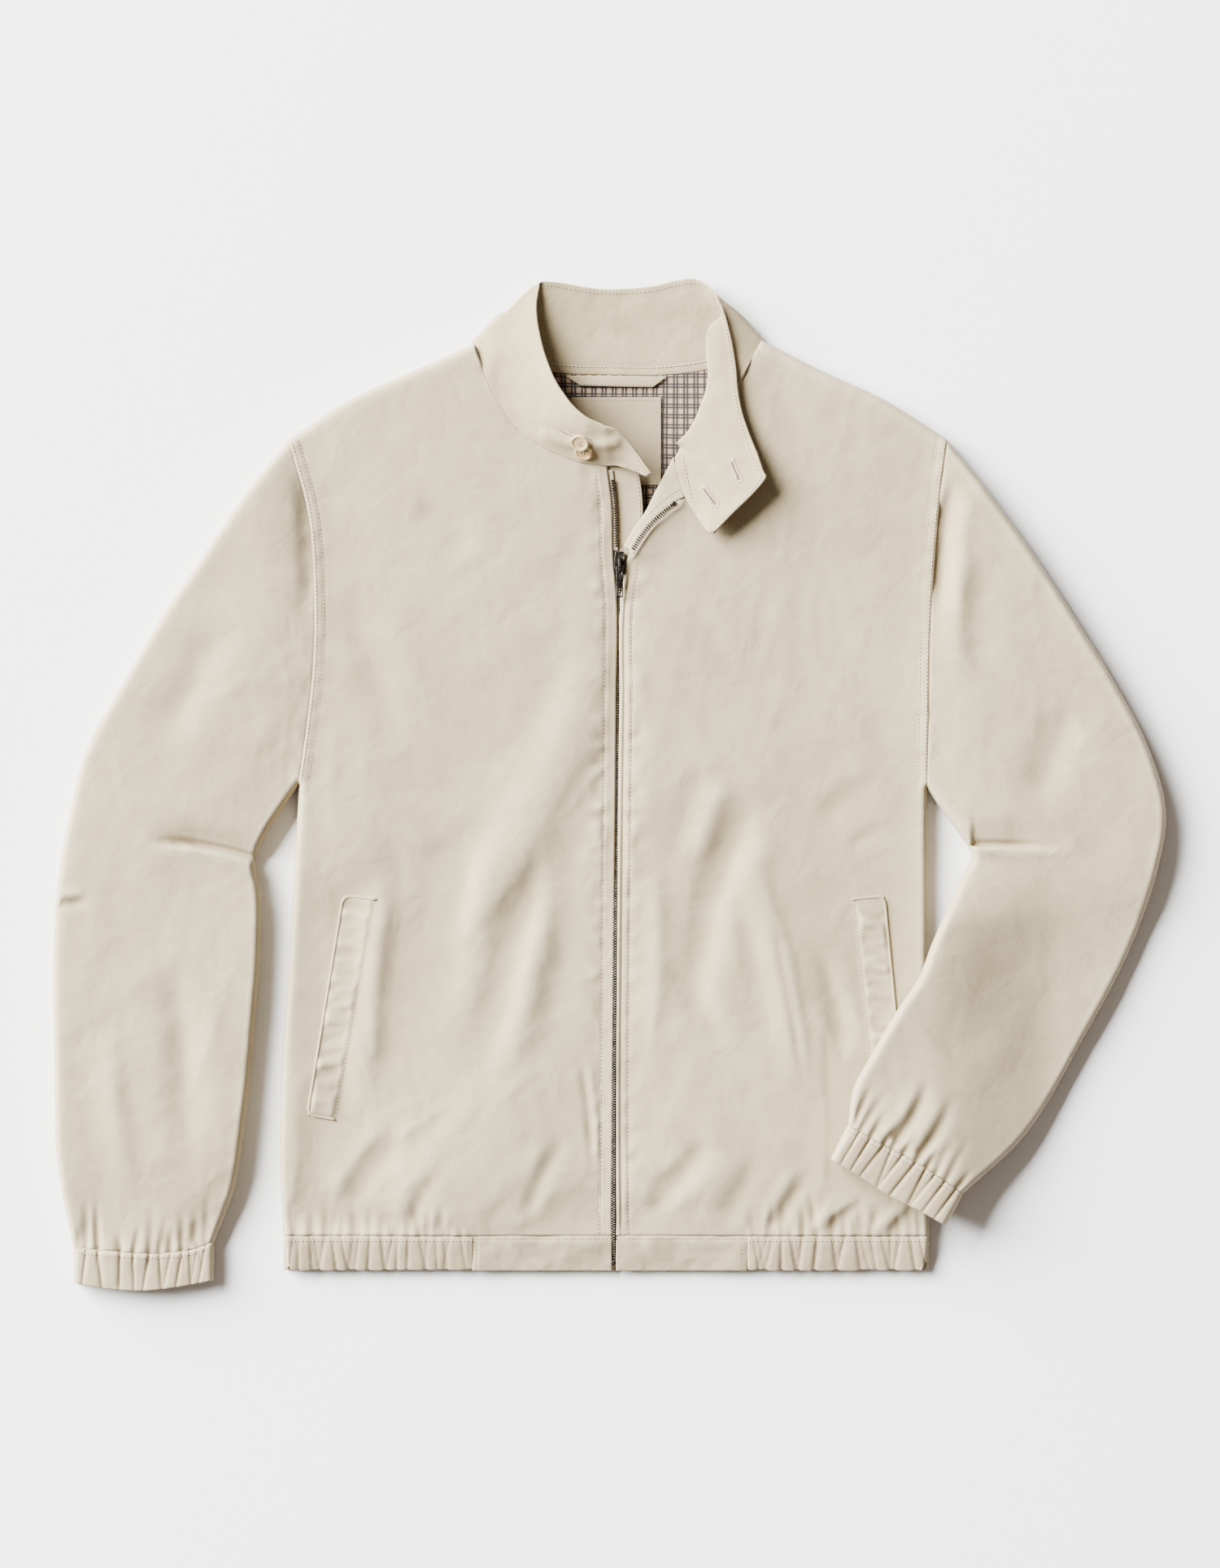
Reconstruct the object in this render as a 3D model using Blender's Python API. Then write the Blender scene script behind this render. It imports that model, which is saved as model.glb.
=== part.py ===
"""A harrington jacket laid flat on its back, built from the pieces a maker would cut and sew.

Metres, +Z up. The origin lies on the floor under the centre front, level with the armpits. X runs
across the jacket, towards the wearer's left, and Y runs up to the collar. All tables are in
millimetres in that frame, and build_wall turns them into metres.

The cloth is one soft heap: `top_height` gives the height of its upper layer over any place, and
`underside` that of its lower layer, so pieces that meet at a seam read the same height there.
"""

import math
from collections import namedtuple

import bmesh
import bpy
import numpy as np
from mathutils import Vector

MM = 0.001

# Driving sizes, in millimetres
CLOTH = 1.5              # wall of one layer of the shell, with its seam turnings
RIB_CLOTH = 2.2          # wall of the elasticated hem and cuffs
COLLAR_CLOTH = 2.2       # wall of the two-layer collar
THIN_CLOTH = 1.0         # lining, label and zip tape
SEAM_GAP = 0.3           # clear distance between pieces at a seam
EDGE_HEIGHT = 6.0        # height of the fold at a side, shoulder or sleeve edge
EDGE_BELOW = 6.0         # radius of that fold underneath
ROLL_WIDTH = 30.0        # how far in from an edge the upper layer reaches its full height
BODY_LOFT = 15.5         # height of the upper layer over the body
SLEEVE_LOFT = 20.0       # height of the upper layer over the sleeves
HEM_LOFT = 12.0          # height of the upper layer over the hem
CUFF_LOFT = 15.0         # height of the upper layer over the cuffs
FRONT_EDGE_DROP = 2.2    # how much lower the zip edge of a front lies
BENT_ARM_LIFT = 18.0     # height of the left forearm's underside, where it lies on the body
BENT_ARM_RAMP = 60.0     # width over which that underside comes down beside the body

Point = namedtuple("Point", "x y")
Fold = namedtuple("Fold", "x0 y0 x1 y1 bow width height")
Section = namedtuple("Section", "layer sx sy sz rx ry rz tx ty tz turn")
Finish = namedtuple("Finish", "name colour roughness metallic")

CREAM = Finish("cream_cloth", (0.73, 0.67, 0.58, 1.0), 0.85, 0.0)
CREAM_LIGHT = Finish("cream_trim", (0.78, 0.73, 0.64, 1.0), 0.85, 0.0)
CHECK = Finish("check_lining", (0.62, 0.54, 0.45, 1.0), 0.8, 0.0)
GUNMETAL = Finish("gunmetal", (0.12, 0.115, 0.11, 1.0), 0.35, 1.0)
HORN = Finish("horn", (0.74, 0.63, 0.44, 1.0), 0.3, 0.0)

# Outlines. "right" and "left" are the wearer's, so right lies at -X.
NECK_RIGHT = [
    Point(-5.4, 233.2), Point(-27.6, 237.0), Point(-48.6, 245.4), Point(-69.0, 259.2),
    Point(-84.0, 279.0), Point(-93.6, 297.6), Point(-103.8, 322.2),
]
NECK_BACK = [
    Point(-103.8, 322.2), Point(-75.0, 308.6), Point(-46.8, 302.7), Point(0.0, 300.6),
    Point(38.4, 300.6), Point(69.6, 304.8), Point(92.0, 314.6), Point(109.2, 325.2),
]
NECK_LEFT = [
    Point(49.8, 246.9), Point(63.0, 255.6), Point(75.0, 267.0), Point(84.6, 279.6),
    Point(91.2, 291.6), Point(97.8, 304.8), Point(109.2, 325.2),
]
SHOULDER_RIGHT = [Point(-103.8, 322.2), Point(-150.0, 302.0), Point(-196.0, 281.0), Point(-240.0, 252.0)]
SHOULDER_LEFT = [Point(109.2, 325.2), Point(152.0, 303.4), Point(200.0, 281.0), Point(246.0, 252.0)]
ARMHOLE_RIGHT = [
    Point(-232.8, -3.6), Point(-226.5, 40.0), Point(-221.5, 90.0), Point(-221.0, 140.0),
    Point(-225.0, 195.0), Point(-240.0, 252.0),
]
ARMHOLE_LEFT = [
    Point(231.0, -6.0), Point(232.2, 50.0), Point(233.4, 110.0), Point(236.4, 165.0),
    Point(240.6, 210.0), Point(246.0, 252.0),
]
SIDE_RIGHT = [
    Point(-244.2, -336.0), Point(-246.6, -288.0), Point(-245.4, -216.0), Point(-240.6, -144.0),
    Point(-236.4, -72.0), Point(-232.8, -3.6),
]
SIDE_LEFT = [
    Point(232.8, -336.0), Point(231.6, -270.0), Point(231.0, -180.0), Point(231.0, -90.0), Point(231.0, -6.0),
]
SLEEVE_RIGHT_OUTER = [
    Point(-240.0, 252.0), Point(-269.4, 216.0), Point(-302.4, 168.0), Point(-334.8, 120.0),
    Point(-363.0, 72.0), Point(-389.4, 24.0), Point(-402.0, -24.0), Point(-410.4, -72.0),
    Point(-414.0, -130.0), Point(-413.4, -200.0), Point(-410.4, -288.0), Point(-399.6, -344.4),
]
SLEEVE_RIGHT_INNER = [
    Point(-232.8, -3.6), Point(-245.0, -21.0), Point(-256.8, -39.6), Point(-264.6, -58.2),
    Point(-260.6, -84.0), Point(-260.4, -112.0), Point(-261.6, -140.0), Point(-264.0, -168.0),
    Point(-267.0, -204.0), Point(-272.0, -250.0), Point(-280.0, -300.0), Point(-295.2, -340.2),
]
SLEEVE_LEFT_OUTER = [
    Point(246.0, 252.0), Point(274.8, 216.0), Point(309.6, 168.0), Point(340.8, 120.0),
    Point(370.2, 72.0), Point(394.8, 24.0), Point(407.6, -24.0), Point(399.6, -72.0),
    Point(382.8, -120.0), Point(345.6, -192.0), Point(301.2, -264.0), Point(256.8, -304.2),
]
SLEEVE_LEFT_INNER = [
    Point(231.0, -6.0), Point(240.0, -19.0), Point(253.0, -37.0), Point(263.6, -55.2),
    Point(255.0, -73.5), Point(244.8, -95.5), Point(234.6, -118.0), Point(224.0, -145.0),
    Point(208.8, -168.0), Point(189.6, -201.0), Point(176.0, -227.0), Point(172.2, -252.6),
]
CUFF_RIGHT_SEAM = [
    Point(-295.2, -340.2), Point(-318.0, -347.0), Point(-343.8, -348.6), Point(-370.0, -346.8),
    Point(-399.6, -344.4),
]
CUFF_RIGHT_EDGE = [
    Point(-295.8, -367.8), Point(-320.0, -372.2), Point(-347.0, -375.3), Point(-372.0, -374.0),
    Point(-399.0, -369.6),
]
CUFF_LEFT_SEAM = [
    Point(172.2, -252.6), Point(193.0, -265.0), Point(214.2, -276.0), Point(236.0, -289.0), Point(256.8, -304.2),
]
CUFF_LEFT_EDGE = [
    Point(159.6, -277.2), Point(180.0, -289.6), Point(204.0, -305.0), Point(224.0, -315.0), Point(244.2, -326.4),
]
ROLL_LINE = [Point(8.8, 160.0), Point(22.8, 194.0), Point(35.4, 219.0), Point(45.0, 238.0), Point(49.8, 246.9)]
FRONT_EDGE_RIGHT = [
    Point(-1.9, -336.0), Point(-1.0, -250.0), Point(0.2, -100.0), Point(1.6, 60.0), Point(1.8, 137.0),
    Point(-0.6, 165.0), Point(-1.6, 205.0), Point(-5.4, 233.2),
]
FRONT_EDGE_LEFT = [
    Point(1.8, -336.0), Point(1.2, -250.0), Point(2.2, -100.0), Point(4.0, 60.0), Point(5.4, 137.0),
    Point(8.8, 160.0),
]

# Hem band
HEM_BOTTOM = -361.2
HEM_SEAM = -336.0
TAB_END_RIGHT, TAB_END_LEFT = -104.4, 98.4
HEM_GATHERS_FRONT = 17   # gathers on each elasticated front stretch
HEM_GATHERS_BACK = 46
CUFF_GATHERS = 26        # gathers round each cuff
GATHER_DEPTH = 1.3

# The main folds of the upper layer, as soft ridges (+) and troughs (-)
BODY_FOLDS = [
    Fold(-20, 84, -128, -138, 10, 14, 2.6),
    Fold(-112, -10, -152, -200, 8, 13, -2.4),
    Fold(-165, -60, -182, -262, -6, 11, 1.6),
    Fold(-38, -20, -86, -222, 6, 12, 1.9),
    Fold(-64, -70, -112, -244, 6, 9, -1.8),
    Fold(-24, -206, -17, -288, 3, 5, -1.2),
    Fold(-190, 150, -150, 20, -8, 16, -1.4),
    Fold(-150, 205, -100, 165, 6, 13, -1.6),
    Fold(108, -4, 58, -196, -16, 14, -2.6),
    Fold(98, -50, 136, -232, 8, 13, 2.0),
    Fold(84, 20, 44, -70, -6, 12, 1.6),
    Fold(30, -60, 26, -220, 3, 10, 1.4),
    Fold(70, -262, 20, -300, 8, 9, -1.6),
    Fold(160, 40, 120, 20, 4, 9, -1.2),
    Fold(60, 120, 130, 60, -8, 16, -1.2),
]
HEM_FOLDS = [
    Fold(-200, -334, -186, -296, 4, 6, 1.6),
    Fold(-160, -334, -142, -280, 4, 6, 1.8),
    Fold(-128, -334, -104, -304, 3, 5, 1.6),
    Fold(152, -332, 176, -304, -4, 5, 2.0),
    Fold(122, -334, 116, -300, 2, 5, 1.4),
    Fold(194, -331, 208, -312, -3, 4, 1.8),
]
SLEEVE_FOLDS = [
    Fold(-232, 236, -224, 120, 6, 9, -2.4),
    Fold(-290, 120, -345, 20, 6, 16, -2.0),
    Fold(-342, -46, -268, -55, -3, 6, -3.0),
    Fold(-338, -62, -272, -68, -3, 8, 1.6),
    Fold(-410, -92, -384, -90, 0, 6, -1.6),
    Fold(-330, -130, -318, -300, 8, 14, -2.2),
    Fold(-370, -180, -352, -320, -6, 12, 1.4),
    Fold(250, 224, 241, 110, -4, 8, -3.4),
    Fold(262, 180, 256, 60, -6, 12, 1.6),
    Fold(330, 60, 300, -30, 6, 16, -2.0),
    Fold(270, -44, 322, -46, 0, 5, -3.4),
    Fold(268, -58, 330, -60, 0, 7, 2.0),
    Fold(300, -120, 250, -230, -6, 13, -2.2),
    Fold(212, -268, 244, -206, -5, 6, -2.6),
    Fold(226, -278, 262, -220, -5, 6, 1.8),
]

# Collar sections, from the right front tab round the back to the turned-out left leaf. s is the
# sewn edge, r the middle or, where turn is 1, the roll, and t the free edge. layer is 1 on the
# upper layer's seam, 0 on the back's, and None where sz gives the height.
COLLAR_TAB = [
    Section(None, 24.6, 225.0, 23.0, 25.6, 226.2, 23.6, 26.7, 227.6, 24.2, 0),
    Section(None, 10.2, 231.0, 18.0, 10.4, 240.0, 25.0, 9.8, 250.6, 31.0, 0),
    Section(None, 1.4, 233.4, 15.4, 1.0, 245.0, 25.5, 0.2, 258.4, 35.0, 0),
]
COLLAR_RIGHT = [
    Section(1, -5.4, 233.2, 0, -6.0, 246.0, 26.0, -6.8, 260.2, 36.0, 0),
    Section(1, -27.6, 237.0, 0, -24.6, 252.0, 26.0, -21.6, 267.6, 36.0, 0),
    Section(1, -48.6, 245.4, 0, -42.6, 262.0, 24.5, -34.2, 280.0, 33.0, 0),
    Section(1, -69.0, 259.2, 0, -58.0, 278.0, 22.0, -45.6, 299.0, 28.0, 0),
    Section(1, -84.0, 279.0, 0, -71.0, 299.0, 18.5, -53.4, 322.0, 23.0, 0),
    Section(1, -93.6, 297.6, 0, -79.0, 319.0, 15.5, -57.2, 345.0, 18.5, 0),
    Section(1, -103.8, 322.2, 0, -82.0, 345.0, 9.0, -54.8, 368.2, 11.5, 0),
]
COLLAR_BACK = [
    Section(0, -103.8, 322.2, 0, -82.0, 345.0, 9.0, -54.8, 368.2, 11.5, 0),
    Section(0, -75.0, 308.6, 0, -56.0, 338.0, 4.2, -38.0, 366.6, 8.0, 0),
    Section(0, -46.8, 302.7, 0, -32.0, 333.0, 3.4, -19.2, 363.3, 7.0, 0),
    Section(0, 0.0, 300.6, 0, 2.0, 331.0, 3.2, 4.0, 362.3, 6.6, 0),
    Section(0, 38.4, 300.6, 0, 34.0, 332.0, 3.4, 29.0, 364.5, 7.0, 0),
    Section(0, 69.6, 304.8, 0, 58.0, 337.0, 4.2, 47.4, 368.7, 8.2, 0),
    Section(0, 92.0, 314.6, 0, 78.0, 342.0, 5.6, 62.0, 368.6, 10.5, 0),
    Section(0, 109.2, 325.2, 0, 90.0, 344.6, 11.0, 74.8, 357.0, 16.0, 0),
]
COLLAR_LEFT = [
    Section(1, 109.2, 325.2, 0, 90.0, 344.6, 11.0, 74.8, 357.0, 16.0, 0),
    Section(1, 97.8, 304.8, 0, 68.9, 333.0, 17.6, 84.6, 329.0, 21.0, 1),
    Section(1, 91.2, 291.6, 0, 68.4, 314.0, 18.4, 88.6, 307.6, 22.0, 1),
    Section(1, 84.6, 279.6, 0, 69.0, 297.0, 18.8, 90.4, 288.0, 23.0, 1),
    Section(1, 75.0, 267.0, 0, 65.4, 282.0, 19.0, 93.6, 271.2, 24.0, 1),
    Section(1, 63.0, 255.6, 0, 58.5, 264.0, 19.2, 99.0, 255.0, 26.0, 1),
    Section(None, 49.8, 246.9, 17.4, 50.4, 248.6, 20.0, 104.6, 241.0, 28.0, 0),
]
COLLAR_LEAF = [
    Section(None, 45.6, 236.0, 20.0, 77.0, 233.0, 25.0, 108.6, 228.8, 29.0, 0),
    Section(None, 48.6, 222.0, 20.0, 79.0, 222.0, 25.0, 110.4, 222.0, 30.0, 0),
    Section(None, 52.2, 210.0, 20.2, 76.0, 210.0, 24.4, 101.4, 211.2, 28.6, 0),
    Section(None, 58.4, 198.8, 21.0, 72.0, 199.0, 24.0, 88.2, 198.6, 27.0, 0),
    Section(None, 67.6, 184.0, 23.0, 70.2, 183.2, 24.2, 73.4, 183.4, 25.2, 0),
]

# The left front's turned-out corner: the roll it turns at, and its edge with the zip
FACING = [
    (Point(9.6, 172.0), Point(12.6, 170.4)),
    (Point(14.6, 182.0), Point(18.6, 179.6)),
    (Point(22.8, 194.8), Point(27.4, 191.2)),
    (Point(31.0, 210.8), Point(37.6, 200.8)),
    (Point(38.8, 225.6), Point(46.0, 206.8)),
    (Point(44.0, 235.6), Point(51.2, 209.2)),
]
FACING_SECTION = [(-2.4, -1.0), (-2.6, 1.0), (-1.6, 2.8), (0.6, 3.6)]   # steps out from the roll, and up

# Zip and its hardware
GUARD_EDGE = [Point(17.0, 233.0), Point(20.0, 214.0), Point(20.8, 170.0), Point(20.8, HEM_BOTTOM + 2)]
GUARD_LEFT = -11.0       # the guard's other edge
GUARD_ROWS = (0, 0.03, 0.07, 0.12, 0.2, 0.35, 0.5, 0.65, 0.8, 0.9, 1)
GUARD_DROP = 0.6         # how far under the tape the guard lies, beyond the seam gap
TAPE_DROP = 0.5          # how far under the fronts' walls the tape lies
TAPE_HALF = 12.0
TAPE_ROWS = 16
CHAIN_WIDTH = 1.2
CHAIN_HEIGHT = 1.8
ZIP_START = HEM_BOTTOM + 3
TEETH_HALF = 1.3         # half the width of an open row of teeth
TEETH_RIGHT = [Point(-2.2, 229.0), Point(0.4, 205.0), Point(1.6, 170.0)]
TEETH_RIGHT_TOP, TEETH_RIGHT_HEIGHT = 2.4, 2.0     # over the tape's level
TEETH_LEFT = [
    Point(45.4, 205.6), Point(36.2, 198.8), Point(26.4, 189.6), Point(17.4, 177.6), Point(12.0, 168.6),
]
TEETH_LEFT_TOP, TEETH_LEFT_HEIGHT = 5.5, 1.6       # over the front's outer face
SLIDER = Point(4.1, 160.8)
SLIDER_SIZE = (7.6, 16.4, 5.0)
SLIDER_TOP = 16.6
SLIDER_NOSE, SLIDER_NOSE_INSET = 5.0, 1.4          # length of its narrow lower end, and how much narrower
BRIDGE_WIDTH = 1.8
BRIDGE_FOOT, BRIDGE_HEAD = 3.2, 6.4                # how far the bridge reaches down and up from the pivot
BRIDGE_POST = 1.2
BRIDGE_CROWN = (1.0, 2.0)                          # heights of the bridge's crown over the pivot
BRIDGE_HOLE = 2.0                                  # half the hole in which the pull's eye turns
PULL_PIVOT = (4.1, 157.6, 18.3)
PULL_WIDTH, PULL_LENGTH, PULL_THICK = 5.0, 22.5, 1.2
PULL_RIM = 1.1
EYE_LENGTH = 5.4                                   # from the pivot to the plain part of the pull
WINDOW_TOP = 15.5                                  # from the pivot to the window in the pull's end

# Trims
POCKET_RIGHT = [Point(-202.2, -90.0), Point(-226.8, -244.8), Point(-204.0, -251.4), Point(-174.6, -86.4)]
POCKET_LEFT = [Point(201.0, -90.0), Point(216.0, -246.0), Point(192.0, -251.0), Point(174.6, -86.4)]
PIPING_WIDTH, PIPING_HEIGHT = 2.4, 1.6
PIPING_STEP = 14.0       # distance between the piping's sections
WELT_INSET = 3.4         # from the pocket's outline to the welt inside the piping
POCKET_CORNER = 3.0
BUTTON_DIAMETER = 13.5
BUTTON_THICK = 2.0
BUTTON_SIDES = 20
BUTTON_BACK = 0.8        # share of the radius that its flat back has
BUTTON_RINGS = [(1.0, -0.35), (1.0, 0.3), (0.86, 0.5), (0.6, 0.28)]   # shares of radius and thickness
BUTTON_LOWER, BUTTON_UPPER = Point(-21.6, 243.9), Point(-24.2, 251.4)
BUTTON_REACH = 25.0      # how much of the collar around the buttons gives their slope
BUTTON_LIFT = 3.7        # height of the lower button's middle over the collar's middle
LABEL_CENTRE, LABEL_SIZE = Point(1.5, 251.0), (66.0, 64.0)
LOOP_TOP = (Point(-35.4, 299.0), Point(38.4, 298.4))
LOOP_LOW = (Point(-24.6, 292.0), Point(28.8, 291.0))
LOOP_SLACK = 1.2
LINING_LOW, LINING_SIDE = 120.0, 104.0
LINING_INSET = 1.2       # from the neck seam
LINING_SHARES = np.linspace(0.07, 0.93, 9)

# Shares of a seam or edge at which its grid has points: closer together beside a folded edge
ARM_SHARES = (0, 0.012, 0.045, 0.1, 0.22, 0.36, 0.5, 0.64, 0.78, 0.9, 0.955, 0.988, 1)
ARM_SHARES_BELOW = (0, 0.008, 0.024, 0.12, 0.3, 0.5, 0.7, 0.88, 0.976, 0.992, 1)
SIDE_SHARES = (0, 0.06, 0.14, 0.23, 0.32, 0.41, 0.5, 0.59, 0.68, 0.77, 0.86, 0.94, 1)
SIDE_SHARES_BELOW = (0, 0.14, 0.3, 0.46, 0.62, 0.78, 0.9, 1)
FRONT_COLUMNS = (0, 0.035, 0.12, 0.22, 0.33, 0.45, 0.57, 0.69, 0.8, 0.885, 0.95, 0.987, 1)
NECK_SHARES = (0, 0.14, 0.28, 0.42, 0.56, 0.7, 0.83, 0.93, 1)
ROLL_SHARES = (0, 0.35, 0.7, 1)
NECK_LEFT_SHARES = (0, 0.22, 0.44, 0.66, 0.86, 1)
NECK_BACK_SHARES = (0, 0.07, 0.17, 0.29, 0.43, 0.57, 0.71, 0.83, 0.93, 1)
SLEEVE_ROWS = (0, 0.05, 0.12, 0.2, 0.28, 0.36, 0.42, 0.46, 0.5, 0.56, 0.63, 0.71, 0.79, 0.87, 0.94, 1)
CUFF_ROWS = (0, 0.5, 1)
ELBOW_ROW, ELBOW_POINT = 0.46, 3   # row of a sleeve at its elbow, and the inner edge's point there
ACROSS_COLLAR = (0, 0.2, 0.36, 0.45, 0.5, 0.55, 0.64, 0.8, 1)


# ---------------------------------------------------------------------------------------------
# Curves and grids in plan
# ---------------------------------------------------------------------------------------------

def smooth_curve(points, shares):
    """Points of a Catmull-Rom curve through the rows, at shares of its length."""
    rows = np.array([tuple(p) for p in points], float)
    chords = np.linalg.norm(np.diff(rows[:, :2], axis=0), axis=1)
    stops = np.concatenate([[0.0], np.cumsum(chords)])
    stops /= stops[-1]
    slopes = np.gradient(rows, stops, axis=0)
    found = []
    for share in shares:
        k = min(max(int(np.searchsorted(stops, share, side="right")) - 1, 0), len(stops) - 2)
        span = stops[k + 1] - stops[k]
        s = (share - stops[k]) / span
        found.append(
            (2 * s**3 - 3 * s**2 + 1) * rows[k]
            + (s**3 - 2 * s**2 + s) * span * slopes[k]
            + (3 * s**2 - 2 * s**3) * rows[k + 1]
            + (s**3 - s**2) * span * slopes[k + 1]
        )
    return np.array(found)


def chain(*curves):
    """Curves end to end, each start point dropped where it repeats the one before."""
    joined = list(curves[0])
    for curve in curves[1:]:
        joined.extend(curve[1:])
    return np.array(joined)


def coons(low, high, start, end, columns, rows):
    """Grid of plan points between four borders: low and high along the columns, start and end up the rows."""
    u = np.asarray(columns)[None, :, None]
    v = np.asarray(rows)[:, None, None]
    ruled_rows = (1 - v) * low[None] + v * high[None]
    ruled_columns = (1 - u) * start[:, None] + u * end[:, None]
    corners = (
        (1 - u) * (1 - v) * low[0] + u * (1 - v) * low[-1] + (1 - u) * v * high[0] + u * v * high[-1]
    )
    return ruled_rows + ruled_columns - corners


def shares_of(curve):
    """Share of the curve's length at each of its points."""
    stops = np.concatenate([[0.0], np.cumsum(np.linalg.norm(np.diff(curve, axis=0), axis=1))])
    return stops / stops[-1]


# ---------------------------------------------------------------------------------------------
# Heights of the laid cloth
# ---------------------------------------------------------------------------------------------

def dense(points):
    """A smooth edge as a close polyline, for distances."""
    return smooth_curve(points, np.linspace(0, 1, 8 * len(points)))


HEM_SIDE_RIGHT = np.array([(-244.2, HEM_SEAM), (-244.2, HEM_BOTTOM - 40)])
HEM_SIDE_LEFT = np.array([(232.8, HEM_SEAM), (233.4, HEM_BOTTOM - 40)])
CUFF_SIDES = [
    np.array([(-295.2, -340.2), (-296.2, -400.0)]),
    np.array([(-399.6, -344.4), (-398.6, -400.0)]),
    np.array([(172.2, -252.6), (147.0, -301.8)]),
    np.array([(256.8, -304.2), (231.6, -348.6)]),
]
SHOULDERS = [dense(SHOULDER_RIGHT), dense(SHOULDER_LEFT)]
COLLAR_FOLDS = [np.array([(-103.8, 322.2), (-54.8, 368.2)]), np.array([(109.2, 325.2), (74.8, 357.0)])]
OUTER_EDGES = [dense(SLEEVE_RIGHT_OUTER), dense(SLEEVE_LEFT_OUTER)]
UPPER_INNER_EDGES = [dense(SLEEVE_RIGHT_INNER[:4]), dense(SLEEVE_LEFT_INNER[:4])]
BODY_EDGES = SHOULDERS + COLLAR_FOLDS + OUTER_EDGES + UPPER_INNER_EDGES + [
    dense(SIDE_RIGHT), dense(SIDE_LEFT), HEM_SIDE_RIGHT, HEM_SIDE_LEFT,
]
SLEEVE_EDGES = SHOULDERS + OUTER_EDGES + CUFF_SIDES + [dense(SLEEVE_RIGHT_INNER), dense(SLEEVE_LEFT_INNER)]


def distance(x, y, start, end):
    """Distance from points to one straight stretch, and the share of the stretch nearest to them."""
    along = np.array(end, float) - np.array(start, float)
    share = ((x - start[0]) * along[0] + (y - start[1]) * along[1]) / max(along @ along, 1e-9)
    share = np.clip(share, 0, 1)
    return np.hypot(x - start[0] - share * along[0], y - start[1] - share * along[1]), share


def edge_distance(x, y, edges):
    """Distance from points to the nearest of the folded edges."""
    nearest = np.full(np.shape(x), 1e9)
    for edge in edges:
        for start, end in zip(edge[:-1], edge[1:]):
            nearest = np.minimum(nearest, distance(x, y, start, end)[0])
    return nearest


def smoothstep(value):
    """0 to 1 as value goes from 0 to 1, level at both ends."""
    value = np.clip(value, 0, 1)
    return value * value * (3 - 2 * value)


def fold_height(x, y, folds):
    """Sum of the folds' ridges and troughs over points."""
    total = np.zeros(np.shape(x))
    for fold in folds:
        start, end = np.array([fold.x0, fold.y0], float), np.array([fold.x1, fold.y1], float)
        along = (end - start) / np.linalg.norm(end - start)
        middle = (start + end) / 2 + fold.bow * np.array([-along[1], along[0]])
        first, _ = distance(x, y, start, middle)
        second, _ = distance(x, y, middle, end)
        reach = np.minimum(first, second)
        total = total + fold.height * np.exp(-((reach / fold.width) ** 2))
    return total


def armhole_x(y, armhole):
    """How far out an armhole lies at height y."""
    curve = dense(armhole)
    return np.interp(y, curve[:, 1], np.abs(curve[:, 0]))


def loft(x, y):
    """Full height of the upper layer, away from the edges and without folds."""
    out = np.where(x < 0, armhole_x(y, ARMHOLE_RIGHT), armhole_x(y, ARMHOLE_LEFT))
    sleeve = smoothstep((np.abs(x) - out + 20) / 60)
    body = BODY_LOFT - (BODY_LOFT - HEM_LOFT) * smoothstep((-286 - y) / 50)
    placket = smoothstep((260 - y) / 60) * smoothstep((y + 330) / 60)
    body = body - FRONT_EDGE_DROP * np.exp(-((x / 13) ** 2)) * placket
    right_cuff = smoothstep((-270 - y) / 76)
    seam_start, seam_end = CUFF_LEFT_SEAM[0], CUFF_LEFT_SEAM[-1]
    left_cuff = smoothstep(1 - distance(x, y, seam_start, seam_end)[0] / 76)
    past_seam = (x - seam_start.x) * 0.52 + (seam_start.y - y) * 0.85 > 0
    left_cuff = np.where(past_seam & (left_cuff > 0), 1.0, left_cuff)
    arm = SLEEVE_LOFT - (SLEEVE_LOFT - CUFF_LOFT) * np.where(x < 0, right_cuff, left_cuff)
    return body * (1 - sleeve) + arm * sleeve


def rolled(distance_in):
    """How much of its full height the upper layer has at a distance in from a folded edge."""
    return np.sqrt(1 - (1 - np.clip(distance_in / ROLL_WIDTH, 0, 1)) ** 2)


def under_edge(distance_in):
    """Height of the lower layer's underside beside a folded edge."""
    return EDGE_HEIGHT * (1 - np.sqrt(1 - (1 - np.clip(distance_in / EDGE_BELOW, 0, 1)) ** 2))


def top_height(x, y):
    """Height of the body's upper layer."""
    full = loft(x, y) + fold_height(x, y, BODY_FOLDS + HEM_FOLDS + SLEEVE_FOLDS)
    return EDGE_HEIGHT + (full - EDGE_HEIGHT) * rolled(edge_distance(x, y, BODY_EDGES))


def underside(x, y):
    """Height of the body's underside."""
    return under_edge(edge_distance(x, y, BODY_EDGES))


def arm_lift(x, y):
    """Height of a sleeve's underside away from its edges: only the bent left forearm is off the floor."""
    beside = 1 - smoothstep((x - SIDE_LEFT[-1].x) / BENT_ARM_RAMP)
    below_elbow = smoothstep((-52 - y) / 55)
    return np.where(x > 0, BENT_ARM_LIFT * beside * below_elbow, 0.0)


def sleeve_top(x, y):
    """Height of a sleeve's or cuff's upper layer."""
    rolled_in = rolled(edge_distance(x, y, SLEEVE_EDGES))
    full = np.where(arm_lift(x, y) > 1e-6, arm_loft(x, y), loft(x, y)) + fold_height(x, y, SLEEVE_FOLDS)
    return arm_lift(x, y) + EDGE_HEIGHT + (full - EDGE_HEIGHT) * rolled_in


def arm_loft(x, y):
    """Full height of the bent forearm over its own underside."""
    seam_start, seam_end = CUFF_LEFT_SEAM[0], CUFF_LEFT_SEAM[-1]
    to_cuff = (x - seam_start.x) * -0.52 + (y - seam_start.y) * 0.85
    return SLEEVE_LOFT - (SLEEVE_LOFT - CUFF_LOFT) * smoothstep(1 - to_cuff / 76)


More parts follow.
